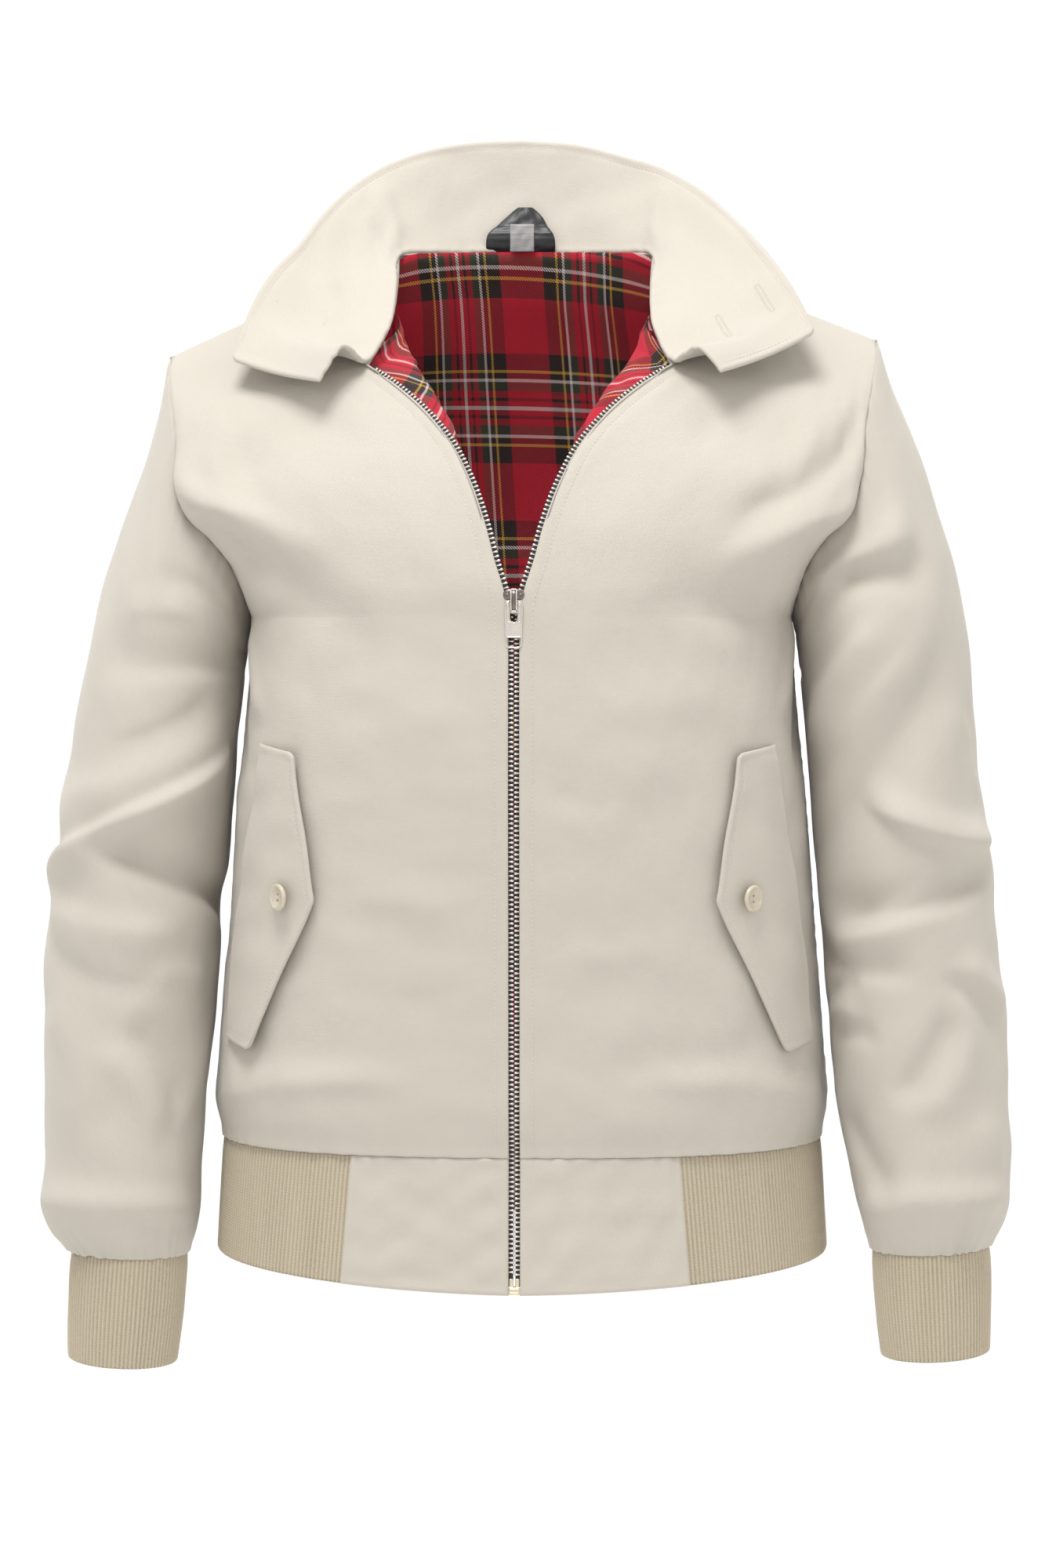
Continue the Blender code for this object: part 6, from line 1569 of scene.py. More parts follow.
def make_flap(word, side, seed):
    """One flap on a grid of 92 rows down and 40 columns from the seam to the free edge."""
    w, c = to_edge(92, 0.19)[:, None], to_edge(40, 0.045)[None, :]
    w, c = np.broadcast_arrays(w, c)
    inward = np.clip(FLAP_CORNER - (1.0 - c) * 0.03, 0.0, None)
    drop = (FLAP_CORNER - np.sqrt(FLAP_CORNER**2 - inward**2)) / 0.19
    w = w + drop * ease((0.12 - w) / 0.12) - drop * ease((w - 0.90) / 0.10)
    middle, normal = flap_place(w, c)
    rim = edge_distance(middle, "top foot end")
    soft = unevenness(w * 0.19, c * 0.045, seed, 0.05, 0.0004)
    soft = soft + 0.0007 * bell(c - 0.45, 0.22) * np.sin(math.pi * w) ** 0.5
    middle = middle + normal * (soft * ease(rim / 0.008))[..., None]
    rim = np.minimum(rim, edge_distance(middle, "start"))
    flat = np.stack([c * 0.045, -w * 0.19], axis=-1)
    FLAP_GRIDS[word] = (middle, normal)
    half = FLAP_HALF - 0.0004 * bell(edge_distance(middle, "top foot end") - TOPSTITCH, 0.0008)
    middle = side_of(middle, side)
    if side < 0:
        middle, flat, half, rim = middle[:, ::-1], flat[:, ::-1], half[:, ::-1], rim[:, ::-1]
    piece = turned_piece(f"pocket_flap_{word}_twill", middle, flat, half, rim, 0.0003)
    return finish_piece(piece, "jacket", SHELL_CLOTH, f"pocket_flap_{word}")


FLAP_GRIDS = {}
for word, side in SIDES:
    flap = make_flap(word, side, 90 + int(side))
print("flaps:", len(flap.data.polygons), "faces each")

# %% [markdown]
# ## Many small bodies from arrays
# Stitches, zip teeth and pins are each a short closed bar. A whole row of them is one array of
# rings, (bodies, stations, points round, 3), so hundreds are made and joined at once.

# %% Closed bars from rings


def closed_faces(rings):
    """Points and faces of closed bars: side faces between the rings, and strips from side to
    side over both ends. A body whose signed volume is negative is turned inside out."""
    count, stations, around = rings.shape[:3]
    index = np.arange(count * stations * around).reshape(count, stations, around)
    turned = np.roll(index, -1, axis=2)
    side = np.stack([index[:, :-1], turned[:, :-1], turned[:, 1:], index[:, 1:]], axis=-1)
    low = np.arange(around // 2 - 1)
    high = around - 1 - low
    cap = [low, high, high - 1, low + 1]
    quads = np.concatenate([
        side.reshape(count, -1, 4),
        np.stack([index[:, 0][:, i] for i in cap], axis=-1),
        np.stack([index[:, -1][:, i] for i in cap[::-1]], axis=-1)], axis=1)
    points = rings.reshape(-1, 3)
    a, b, c, d = (points[quads[..., i]] - points[quads[:, :1, 0]] for i in range(4))
    volume = ((np.cross(b, c) + np.cross(c, d)) * a).sum(axis=(1, 2))
    quads = np.where(volume[:, None, None] < 0, quads[..., ::-1], quads)
    return points, quads.reshape(-1, 4)


def one_mesh(name, parts, finish, body, node):
    """One object from arrays of closed bars whose ring counts may differ, laid end to end."""
    points, quads, shift = [], [], 0
    for part in parts:
        grid, faces = closed_faces(part)
        points.append(grid)
        quads.append(faces + shift)
        shift += len(grid)
    piece = new_piece(name, np.concatenate(points), np.concatenate(quads))
    piece.data.materials.append(finish)
    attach(piece, body)
    if node:
        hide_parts(node)
    return piece


def read_line(line, at):
    """Read the columns of `line` (points, normals and so on, stacked) at run lengths."""
    run = run_length(line[:, :3], 0)
    return np.stack([np.interp(at, run, line[:, i]) for i in range(line.shape[1])], axis=-1)

# %% [markdown]
# ## Topstitching
# A topstitch shows as a row of short raised threads, each dipping into the cloth at both ends,
# in a shallow groove that its tension pulls into the cloth.

# %% Rows of stitches
STITCH_PITCH = 0.0026
STITCH_SHARE = 0.74     # share of the pitch that shows as thread
THREAD_RADIUS = 0.00020


def stitch_rings(line, lift, pitch=STITCH_PITCH, radius=THREAD_RADIUS):
    """Rings of one row of stitches: `line` holds points and normals side by side. Each stitch
    is a bar whose height over the cloth is a sine that starts and ends below it."""
    length = run_length(line[:, :3], 0)[-1]
    count = max(1, int(length / pitch))
    turn = np.linspace(0.0, 1.0, 5)
    at = (np.arange(count)[:, None] + (1 - STITCH_SHARE) / 2 + STITCH_SHARE * turn) * pitch
    read = read_line(line, at.ravel()).reshape(count, 5, 6)
    points, normals = read[..., :3], unit(read[..., 3:])
    along = unit(np.gradient(points, axis=1))
    side = np.cross(normals, along)
    height = lift + radius * (1.9 * np.sin(math.pi * turn) - 1.1)
    points = points + normals * height[None, :, None]
    angle = np.radians([45.0, 135.0, 225.0, 315.0])
    return points[:, :, None] + radius * (
        side[:, :, None] * np.cos(angle)[:, None] + 0.85 * normals[:, :, None]
        * np.sin(angle)[:, None])


def sew(name, lines, lift, finish=None, pitch=STITCH_PITCH):
    """Several rows of stitches as one piece."""
    rings = np.concatenate([stitch_rings(line, lift, pitch) for line in lines if len(line) > 3])
    return one_mesh(name, [rings], finish or THREAD, "jacket", None)


def surface_line(grid, normals, axis, last, distance, keep=None):
    """Points and normals at a distance inside an edge, cut to where `keep` is positive."""
    carried = [normals] if keep is None else [normals, keep[..., None]]
    found = line_inside(grid, carried, axis, last, distance)
    line = np.concatenate(found[:2], axis=-1)
    return line if keep is None else line[found[2][:, 0] > 0]


def mirrored_line(line, side):
    """A line of points and normals on the left, or its mirror image where side is -1."""
    line = line.copy()
    line[:, [0, 3]] *= side
    line[:, :3] = settled(line[:, :3])
    return line

# %% Stitches of the fronts, bands, flaps and collar
rows = []
for word, side in SIDES:
    grid, normals = FRONT_GRIDS[word]
    keep = np.ones(grid.shape[:2]) * (grid[:, :1, 2] < FRONT_EDGE[-1][3] - 0.004)
    rows.append(mirrored_line(surface_line(grid, normals, 1, False, PLACKET + EDGE_COVER,
                                           keep - 0.5), side))
    grid, normals = BAND_GRIDS[word]
    grid = grid + normals * (BAND_HALF - 0.0003)
    inside = np.minimum(edge_distance(grid, "top foot") - 0.001, 1.0)
    rows.append(mirrored_line(surface_line(grid, normals, 1, False, PLACKET + EDGE_COVER,
                                           inside), side))
    rows.append(mirrored_line(surface_line(grid, normals, 1, True, 0.004, inside), side))
front_stitching = sew("front_topstitching", rows, 0.00005)

rows = []
for word, side in SIDES:
    middle, normals = FLAP_GRIDS[word]
    face = middle + normals * (FLAP_HALF - 0.0003)
    sides = edge_distance(middle, "top foot") - TOPSTITCH
    ends = edge_distance(middle, "start end") - TOPSTITCH
    for axis, last, keep, distance in ((1, True, sides, TOPSTITCH), (0, False, ends, TOPSTITCH),
                                       (0, True, ends, TOPSTITCH), (1, False, sides, 0.0035)):
        rows.append(mirrored_line(surface_line(face, normals, axis, last, distance, keep), side))
flap_stitching = sew("flap_topstitching", rows, 0.00005)

face_normals = grid_normals(collar_middle)
rows = []
for way in (1.0, -1.0):
    face = collar_middle + face_normals * way * (COLLAR_HALF - 0.0003)
    sides = edge_distance(collar_middle, "foot") - TOPSTITCH
    ends = np.minimum(edge_distance(collar_middle, "start end") - TOPSTITCH,
                      edge_distance(collar_middle, "top") - 0.003)
    for axis, last, keep in ((0, True, ends), (1, False, sides), (1, True, sides)):
        keep = keep if axis == 0 else np.minimum(keep, edge_distance(collar_middle, "top") - 0.004)
        rows.append(surface_line(face, face_normals * way, axis, last, TOPSTITCH, keep))
collar_stitching = sew("collar_topstitching", rows, 0.00005)
print("stitches:", sum(len(p.data.polygons) for p in (
    front_stitching, flap_stitching, collar_stitching)) // 18)

# %% [markdown]
# ## Lining
# The jacket is lined from hem to neck. The back lining hangs a little loose inside the shell,
# so it undulates softly, and its check tilts slightly with the hang. At the open neck the
# front linings roll into view beside the zip, cut on the slant.

# %% Back lining
LINING_CLOTH = 0.0007
LINING_INSET = 0.0016   # outer face of the lining from the shell's middle
LINING_LOOSE = 0.0045   # how much further inside it hangs between its seams
LINING_SHARE = 0.960    # how far it reaches towards the side seams
LINING_LOW, LINING_HIGH, LINING_TUCK = 0.02, 0.997, 0.014
CHECK_LEFT, CHECK_DOWN = 0.0447, 0.0090    # a block's middle from the centre back and nape
CHECK_HANG, CHECK_TILT = 0.06, 0.05        # slant of the upright and of the level stripes
NECK_LAP = np.array([0.0, -0.0034, 0.0025])    # how its top laps over the neck seam
LINING_FOLDS = (
    (0.200, 0.500, 0.030, 0.440, 0.010, 0.020, 0.00, 0.0016),
    (0.190, 0.400, 0.040, 0.470, 0.010, 0.016, 0.20, -0.0015),
    (0.060, 0.530, 0.050, 0.300, 0.004, 0.014, 0.00, 0.0014),
    (0.120, 0.480, 0.110, 0.250, 0.004, 0.016, 0.20, -0.0015),
    (0.030, 0.340, 0.180, 0.300, 0.008, 0.020, 0.00, 0.0014),
)


def back_lining():
    """The back's own points moved inwards, further between the seams than along them."""
    half = even_columns(60) * LINING_SHARE
    s = np.concatenate([half[::-1], -half[1:]])[None, :]
    v = LINING_LOW + (LINING_HIGH - LINING_LOW) * np.linspace(0.0, 1.0, 120)[:, None]
    tuck = LINING_TUCK * ease((np.abs(s) - 0.22) / 0.08)
    v = v - tuck * ease((v - 0.90) / 0.09)
    s, v = np.broadcast_arrays(s, v)
    base = back_base(s, v)
    normal = surface_normal(lambda a, b: back_base(-a, b), -s, v, (-1.0, 1.0), (0.0, 1.0), 2e-3)
    loose = ease((1.0 - np.abs(s)) / 0.10) * ease(v / 0.05) * ease((1.0 - v) / 0.05)
    across, along = s * FRONT_WIDTH, v * PANEL_HEIGHT
    waves = fold_height(np.abs(across), along + 0.02 * s, LINING_FOLDS)
    waves = (waves + unevenness(across, along, 101, 0.07, 0.0006)) * loose
    waves = waves + pucker(across, (1.0 - v) * PANEL_HEIGHT, 103, 0.013, 0.008, 0.0004)
    points = base - normal * (LINING_INSET + LINING_LOOSE * loose + waves)[..., None]
    neck = ease((v - 0.965) / 0.035) * ease((0.26 - np.abs(s)) / 0.06)
    points = points + neck[..., None] * NECK_LAP
    run, down = run_length(base, 1), run_length(base, 0)
    x = run[:, 59:60] - run
    y = down - down[-1:, 59:60]
    flat = np.stack([x + CHECK_LEFT + CHECK_HANG * y,
                     y - CHECK_DOWN + CHECK_TILT * x * np.clip(1.0 + y / 0.2, 0.0, 1.0)], axis=-1)
    return settled(points), flat


points, flat = back_lining()
lining_back = cloth_wall("lining_back_tartan", points, flat, LINING_CLOTH)
finish_piece(lining_back, "jacket", TARTAN, "lining_back")

# %% The zip edge's own frame, and the front linings
# v on the zip edge, the visible roll x y z, then where it turns back inside x y z.
LINING_ROLL = (
    (0.838, 0.0318, -0.1705, -0.1225, 0.0430, -0.1545, -0.1240),
    (0.858, 0.0385, -0.1565, -0.1075, 0.0530, -0.1400, -0.1100),
    (0.880, 0.0470, -0.1400, -0.0930, 0.0620, -0.1250, -0.0980),
    (0.905, 0.0570, -0.1220, -0.0790, 0.0720, -0.1050, -0.0830),
    (0.927, 0.0680, -0.1020, -0.0640, 0.0760, -0.0820, -0.0560),
    (0.945, 0.0730, -0.0850, -0.0500, 0.0770, -0.0660, -0.0380),
)
LINING_FRONT_IN = 0.0042
STRIPE_SLANT = math.radians(52.0)


def zip_frame(v):
    """On the left front's zip edge: the edge, and unit vectors away from the middle, up the
    edge and off the cloth."""
    v = np.asarray(v, float)
    step = 2e-3
    edge = front_base(np.zeros_like(v), v)
    across = unit(front_base(np.full_like(v, 0.02), v) - edge)
    along = unit(front_base(np.zeros_like(v), np.clip(v + step, 0, CORNER_V))
                 - front_base(np.zeros_like(v), np.clip(v - step, 0, CORNER_V)))
    across = unit(across - along * (across * along).sum(-1, keepdims=True))
    return edge, across, along, unit(np.cross(across, along))


def make_lining_front(word, side):
    """A front lining's roll beside the zip: a parabola across through its visible line."""
    v = np.linspace(LINING_ROLL[0][0], LINING_ROLL[-1][0], 64)
    table = read_table(LINING_ROLL, v)
    edge, across, _, normal = zip_frame(v)
    edge = (edge + across * 0.0010 - normal * LINING_FRONT_IN)[:, None]
    roll, rear = table[:, None, :3], table[:, None, 3:]
    w = np.linspace(0.0, 1.0, 26)[None, :, None]
    control = 2.0 * roll - 0.5 * (edge + rear)
    points = (1 - w) ** 2 * edge + 2 * w * (1 - w) * control + w**2 * rear
    run, down = run_length(points, 1), run_length(points, 0)
    soft = unevenness(run, down, 111 + int(side), 0.02, 0.0006)
    soft = soft * np.sin(math.pi * w[..., 0]) * ease(np.minimum(v - v[0], v[-1] - v) / 0.01)[:, None]
    points = points + grid_normals(points) * soft[..., None]
    turn = STRIPE_SLANT * side
    flat = np.stack([run * math.cos(turn) + down * math.sin(turn) + 0.018,
                     down * math.cos(turn) - run * math.sin(turn) + 0.030], axis=-1)
    points = side_of(points, side)
    if side < 0:
        points, flat = points[:, ::-1], flat[:, ::-1]
    piece = cloth_wall(f"lining_front_{word}_tartan", points, flat, LINING_CLOTH)
    return finish_piece(piece, "jacket", TARTAN, f"lining_front_{word}")


for word, side in SIDES:
    lining_front = make_lining_front(word, side)
print("linings:", len(lining_back.data.polygons) + 2 * len(lining_front.data.polygons), "faces")

# %% [markdown]
# ## Hanging loop and size tab
# A satin tape is sewn into the neck seam, folded down over itself and tacked, so it shows as a
# low band with an arch standing behind it. A small blank satin tab is sewn in front of it.

# %% Loop and tab
# Level, middle x, half width, y of the loop's rows, from the seam up to its apex. A pleat is
# level, width and rise.
LOOP_SHAPE = (
    (-0.0012, -0.0042, 0.0206, -0.0022),
    (0.0030, -0.0042, 0.0209, -0.0051),
    (0.0072, -0.0042, 0.0207, -0.0056),
    (0.0108, -0.0042, 0.0196, -0.0050),
    (0.0136, -0.0040, 0.0174, -0.0036),
    (0.0160, -0.0034, 0.0151, -0.0020),
    (0.0184, -0.0028, 0.0133, -0.0012),
    (0.0208, -0.0022, 0.0113, -0.0004),
    (0.0232, -0.0019, 0.0090, 0.0004),
    (0.0252, -0.0018, 0.0068, 0.0010),
    (0.0272, -0.0018, 0.0040, 0.0014),
)
PLEATS = ((0.0074, 0.0006, 0.0004), (0.0111, 0.0005, 0.0005), (0.0143, 0.0005, 0.0004))
LABEL_SHAPE = ((-0.0001, -0.0073), (0.0088, -0.0080), (0.0164, -0.0071))
LABEL_X, LABEL_HALF_WIDTH = -0.0032, 0.0072


def tape_patch(name, level, middle, half, y, thick, finish, node):
    """An upright patch of tape from rows of level, middle x, half width and y, its side
    edges rounded; y may vary across it."""
    across = np.linspace(-1.0, 1.0, y.shape[1])[None, :]
    x = middle[:, None] + half[:, None] * across
    points = np.stack(np.broadcast_arrays(x, y, level[:, None]), axis=-1)
    flat = np.stack(np.broadcast_arrays(x, level[:, None]), axis=-1)
    rim = edge_distance(points, "top foot start end")
    piece = turned_piece(name, points, flat, thick / 2, rim)
    return finish_piece(piece, "jacket", finish, node)


at = np.linspace(0.0, 1.0, 48)
rows = read_table([(i / (len(LOOP_SHAPE) - 1), *row) for i, row in enumerate(LOOP_SHAPE)], at)
level, middle, half, y = rows.T
across = np.linspace(-1.0, 1.0, 33)[None, :]
relief = sum(rise * bell(level - high, wide) for high, wide, rise in PLEATS)[:, None]
relief = relief * (1.0 + 0.35 * np.sin(9.0 * across)) + 0.0006 * np.cos(2.2 * across)
arch = ease((level - 0.0130) / 0.004)[:, None]
soft = unevenness(across * 0.02, level[:, None], 121, 0.012, 0.0002)
relief = relief - arch * 0.0008 * across**2 + soft
loop = tape_patch("hanger_loop_satin", level, middle, half, y[:, None] - relief, 0.0009,
                  LOOP_SATIN, "hanger_loop")
at = np.linspace(0.0, 1.0, 30)
level, y = read_table([(i / 2, *row) for i, row in enumerate(LABEL_SHAPE)], at).T
across = np.linspace(-1.0, 1.0, 25)[None, :]
bowed = y[:, None] - 0.0003 * np.cos(1.5 * across) + unevenness(
    across * 0.01, level[:, None], 123, 0.010, 0.00012)
tab = tape_patch("size_tab_satin", level, np.full(30, LABEL_X), np.full(30, LABEL_HALF_WIDTH),
                 bowed, 0.0005, LABEL_SATIN, "size_label")
print("loop and tab:", len(loop.data.polygons) + len(tab.data.polygons), "faces")

# %% [markdown]
# ## Zip
# Each side's teeth are clamped on the corded edge of a dark woven tape, every second gap
# belonging to the other side, so the two rows mesh. Above the slider the rows part and follow
# the edges of the fronts up to the neck.

# %% Tapes and teeth
ZIP_OUT = -0.0020       # the zip's middle plane from the middle of the cloth
TAPE_THICK = 0.0007
TOOTH_PITCH = 0.00268
# Along a tooth from its root towards the middle: distance, half height, half thickness.
TOOTH_STATIONS = (
    (-0.0006, 0.00034, 0.00090),
    (0.0000, 0.00042, 0.00108),
    (0.0014, 0.00042, 0.00106),
    (0.0019, 0.00066, 0.00114),
    (0.0030, 0.00064, 0.00112),
    (0.0033, 0.00040, 0.00070),
)
TOOTH_RING = ((0.74, 1.0), (1.0, 0.72), (1.0, -0.72), (0.74, -1.0))
FOOT_Z = HEM_RINGS[1][0]
FOOT_Y = HEM_RINGS[1][3]


def zip_rows(past, out, count=160):
    """Points of one long line of the zip from its foot to the neck corner, with the same
    unit vectors as zip_frame: `past` metres beyond the cloth edge, `out` metres off it."""
    edge, across, _, normal = zip_frame(np.linspace(0.0, CORNER_V - 0.004, count))
    line = edge - across * past + normal * out
    low = np.array([ZIP_HALF - past, FOOT_Y - out, FOOT_Z + 0.0052])
    high = np.array([ZIP_HALF - past, HEM_RINGS[0][3] - out, HEM_RINGS[0][0] - 0.001])
    share = np.linspace(0.0, 1.0, 40)[:, None]
    line = np.concatenate([low + (high - low) * share, line])
    across = np.concatenate([np.repeat([[1.0, 0.0, 0.0]], 40, axis=0), across])
    return line, across


def make_tape(word, side):
    """The tape from under the front to the roots of the teeth, thicker at its corded edge."""
    past = np.array([-0.0090, -0.0060, -0.0030, -0.0010, 0.0006, 0.0018, 0.0029, 0.0039])
    lines = np.stack([zip_rows(p, ZIP_OUT)[0] for p in past], axis=1)
    normals = grid_normals(lines[:, ::-1])[:, ::-1]
    if (normals[..., 1] > 0).mean() > 0.5:
        normals = -normals
    cord = 0.0003 * bell(past - 0.0018, 0.0012)[None, :, None]
    outer = lines + normals * (TAPE_THICK / 2 + cord)
    inner = lines - normals * (TAPE_THICK / 2 + cord)
    flat = np.stack([np.broadcast_to(past, lines.shape[:2]), run_length(lines, 0)], axis=-1)
    outer, inner = side_of(outer, side), side_of(inner, side)
    if side > 0:
        outer, inner, flat = outer[:, ::-1], inner[:, ::-1], flat[:, ::-1]
    piece = cloth_wall(f"zip_tape_{word}_weave", outer, flat, inner=inner)
    return finish_piece(piece, "jacket", ZIP_TAPE, f"zip_tape_{word}")


def make_teeth(word, side):
    """One side's teeth: bars across the tape at an even pitch, the right side's set half a
    pitch higher, each with a leg, a broader head and a rounded tip."""
    line, across = zip_rows(0.0012, ZIP_OUT)
    run = run_length(line, 0)
    start = 0.0066 + (0.5 * TOOTH_PITCH if side < 0 else 0.0)
    at = np.arange(start, run[-1] - 0.001, TOOTH_PITCH)
    place = np.stack([np.interp(at, run, line[:, i]) for i in range(3)], axis=-1)
    inward = -unit(np.stack([np.interp(at, run, across[:, i]) for i in range(3)], axis=-1))
    up = unit(np.gradient(place, axis=0))
    inward = unit(inward - up * (inward * up).sum(-1, keepdims=True))
    front = np.cross(up, inward)
    stations = np.array(TOOTH_STATIONS)
    ring = np.array(TOOTH_RING)
    ring = np.concatenate([ring, -ring])
    rings = (place[:, None, None] + inward[:, None, None] * stations[None, :, None, :1]
             + up[:, None, None] * (stations[:, None, 1] * ring[:, 0])[None, :, :, None]
             + front[:, None, None] * (stations[:, None, 2] * ring[:, 1])[None, :, :, None])
    rings = side_of(rings, side)
    piece = one_mesh(f"zip_teeth_{word}_metal", [rings], TEETH_METAL, "jacket",
                     f"zip_teeth_{word}")
    return piece, len(at)


for word, side in SIDES:
    make_tape(word, side)
    teeth, count = make_teeth(word, side)
print("teeth a side:", count)

# %% [markdown]
# ## Slider and pull
# The slider is a cast body with a dark domed crown, and its locking bail stands over it as a
# narrow framed bridge. The pull is a pressed frame with an open slot for the bail, a bare field
# and a window at its foot. It hangs on its hinge and is the only part that swings.

# %% Rounded plates
SLIDER_Z = -0.2080
SLIDER_HALF_HEIGHT = 0.0068
PLATE = 0.0011
AXIS_FORWARD = 0.0037   # the hinge in front of the chain's middle plane


def chain_y(level):
    """Depth of the zip's middle plane at a level."""
    line = zip_rows(ZIP_HALF, ZIP_OUT)[0]
    return float(np.interp(level, line[:, 2], line[:, 1]))


def smooth_outline(right, count=22):
    """A closed outline in x and z from its right half, foot first, with its corners eased by
    a cubic through evenly spaced points, and its inward directions."""
    right = np.asarray(right, float)
    run = np.concatenate([[0.0], np.cumsum(np.linalg.norm(np.diff(right, axis=0), axis=1))])
    at = np.linspace(0.0, run[-1], count)
    half = np.stack([np.interp(at, run, right[:, i]) for i in range(2)], axis=-1)
    half[1:-1] = 0.25 * half[:-2] + 0.5 * half[1:-1] + 0.25 * half[2:]
    outline = np.concatenate([half, half[::-1] * (-1.0, 1.0)])
    ahead = np.roll(outline, -1, axis=0) - np.roll(outline, 1, axis=0)
    inward = np.stack([-ahead[:, 1], ahead[:, 0]], axis=-1)
    inward = inward / np.linalg.norm(inward, axis=1, keepdims=True)
    if ((outline.mean(axis=0) - outline) * inward).sum() < 0:
        inward = -inward
    return outline, inward


def plate(right, rear, front, rounding, dome=0.0):
    """Rings of a rounded plate between two depths y, front first. `dome` bulges its face."""
    outline, inward = smooth_outline(right)
    rings = []
    turn = np.radians([0.0, 30.0, 60.0, 90.0])
    sections = [(rounding * (1 - math.sin(a)), front + rounding * (1 - math.cos(a))) for a in turn]
    sections += [(rounding * (1 - math.sin(a)), rear - rounding * (1 - math.cos(a)))
                 for a in turn[::-1]]
    if dome:
        reach = np.abs(outline[:, 0]).max()
        bulge = [(reach * share, front - dome * (1 - (1 - share) ** 2)) for share in
                 (0.75, 0.55, 0.38, 0.22, 0.10)]
        sections = bulge + sections
    for shrink, depth in sections:
        edge = outline + inward * min(shrink, 1.0)
        if dome and depth < front:
            edge = outline * (1.0 - shrink / reach, 1.0) + (0.0, 0.0)
            middle = outline[:, 1].mean()
            edge[:, 1] = middle + (edge[:, 1] - middle) * (1.0 - shrink / reach)
        rings.append(np.stack([edge[:, 0], np.full(len(edge), depth), edge[:, 1]], axis=-1))
    return np.array(rings)[None]


def bent_bar(path, wide, deep):
    """Rings of a rounded bar along a path in x, y and z; `wide` is its half width in the
    plane of the plate and `deep` its half thickness."""
    path = np.asarray(path, float)
    run = run_length(path, 0)
    at = np.linspace(0.0, run[-1], max(12, int(run[-1] / 0.0006)))
    path = np.stack([np.interp(at, run, path[:, i]) for i in range(3)], axis=-1)
    for _ in range(2):
        path[1:-1] = 0.25 * path[:-2] + 0.5 * path[1:-1] + 0.25 * path[2:]
    along = unit(np.gradient(path, axis=0))
    forward = np.array([0.0, -1.0, 0.0])
    side = unit(np.cross(along, forward))
    forward = np.cross(side, along)
    angle = np.radians(np.arange(8) * 45.0 + 22.5)
    return (path[:, None] + side[:, None] * (wide * np.cos(angle))[:, None]
            + forward[:, None] * (deep * np.sin(angle))[:, None])[None]

# %% Slider
near = chain_y(SLIDER_Z) - 0.0017
far = chain_y(SLIDER_Z) + 0.0017
top = SLIDER_Z + SLIDER_HALF_HEIGHT
plate_right = [(0.0, SLIDER_Z - SLIDER_HALF_HEIGHT), (0.0036, SLIDER_Z - SLIDER_HALF_HEIGHT),
               (0.0043, SLIDER_Z - 0.0040), (0.0047, SLIDER_Z), (0.0060, SLIDER_Z + 0.0024),
               (0.0062, SLIDER_Z + 0.0046), (0.0050, top - 0.0006), (0.0026, top), (0.0, top)]
crown_right = [(0.0, SLIDER_Z + 0.0008), (0.0052, SLIDER_Z + 0.0008), (0.0060, SLIDER_Z + 0.0022),
               (0.0062, SLIDER_Z + 0.0042), (0.0052, top - 0.0008), (0.0028, top + 0.0001),
               (0.0, top + 0.0001)]
wedge_right = [(0.0, top - 0.0050), (0.0007, top - 0.0038), (0.0014, top - 0.0004), (0.0, top)]
slider_parts = [plate(plate_right, near, near - PLATE, 0.0004),
                plate(plate_right, far + PLATE, far, 0.0004),
                plate(wedge_right, far + 0.0003, near - 0.0003, 0.0001)]
slider = one_mesh("zip_slider_body", slider_parts, SLIDER_METAL, "jacket", "zip_slider")
face = near - PLATE
crown = one_mesh("zip_slider_crown", [plate(crown_right, face + 0.0003, face - 0.0002, 0.0003,
                                            0.0012)],
                 CROWN_METAL, "jacket", None)
BAIL_TOP, BAIL_LOW = SLIDER_Z + 0.0067, SLIDER_Z - 0.0056
bend = np.linspace(0.0, 1.0, 15)
rise = 0.0034 * np.sin(math.pi * bend) ** 0.42
level = BAIL_TOP + (BAIL_LOW - BAIL_TOP) * bend
bridge = np.stack([np.zeros(15), face + 0.0004 - rise, level], axis=-1)
shift = np.array([0.0015, 0.0, 0.0])
rims = [bent_bar(bridge + shift, 0.00042, 0.00050), bent_bar(bridge - shift, 0.00042, 0.00050)]
ends = [bent_bar([(-0.0015, y, z), (0.0015, y, z)], 0.0005, 0.0006)
        for y, z in ((face - 0.0008, BAIL_TOP - 0.0001), (face - 0.0010, BAIL_LOW + 0.0002))]
bail = one_mesh("zip_slider_bail", rims + ends, PULL_METAL, "jacket", None)
cover = bridge + np.array([0.0, 0.00035, 0.0])
one_mesh("zip_slider_spring", [bent_bar(cover, 0.0014, 0.00032)], CROWN_METAL, "jacket", None)
angle = np.radians(np.arange(12) * 30.0)
dots = []
for x in (-0.0036, 0.0036):
    ring = np.stack([x + 0.00042 * np.cos(angle), np.zeros(12), top - 0.0026 + 0.00042
                     * np.sin(angle)], axis=-1)
    middle = np.array([x, 0.0, top - 0.0026])
    dots.append(np.array([middle + (ring - middle) * scale + (0.0, face - 0.0002 - up, 0.0)
                          for scale, up in ((0.2, 0.0012), (0.7, 0.0011), (1.0, 0.0008),
                                            (1.0, 0.0))])[None])
one_mesh("zip_slider_rivets", dots, PULL_METAL, "jacket", None)

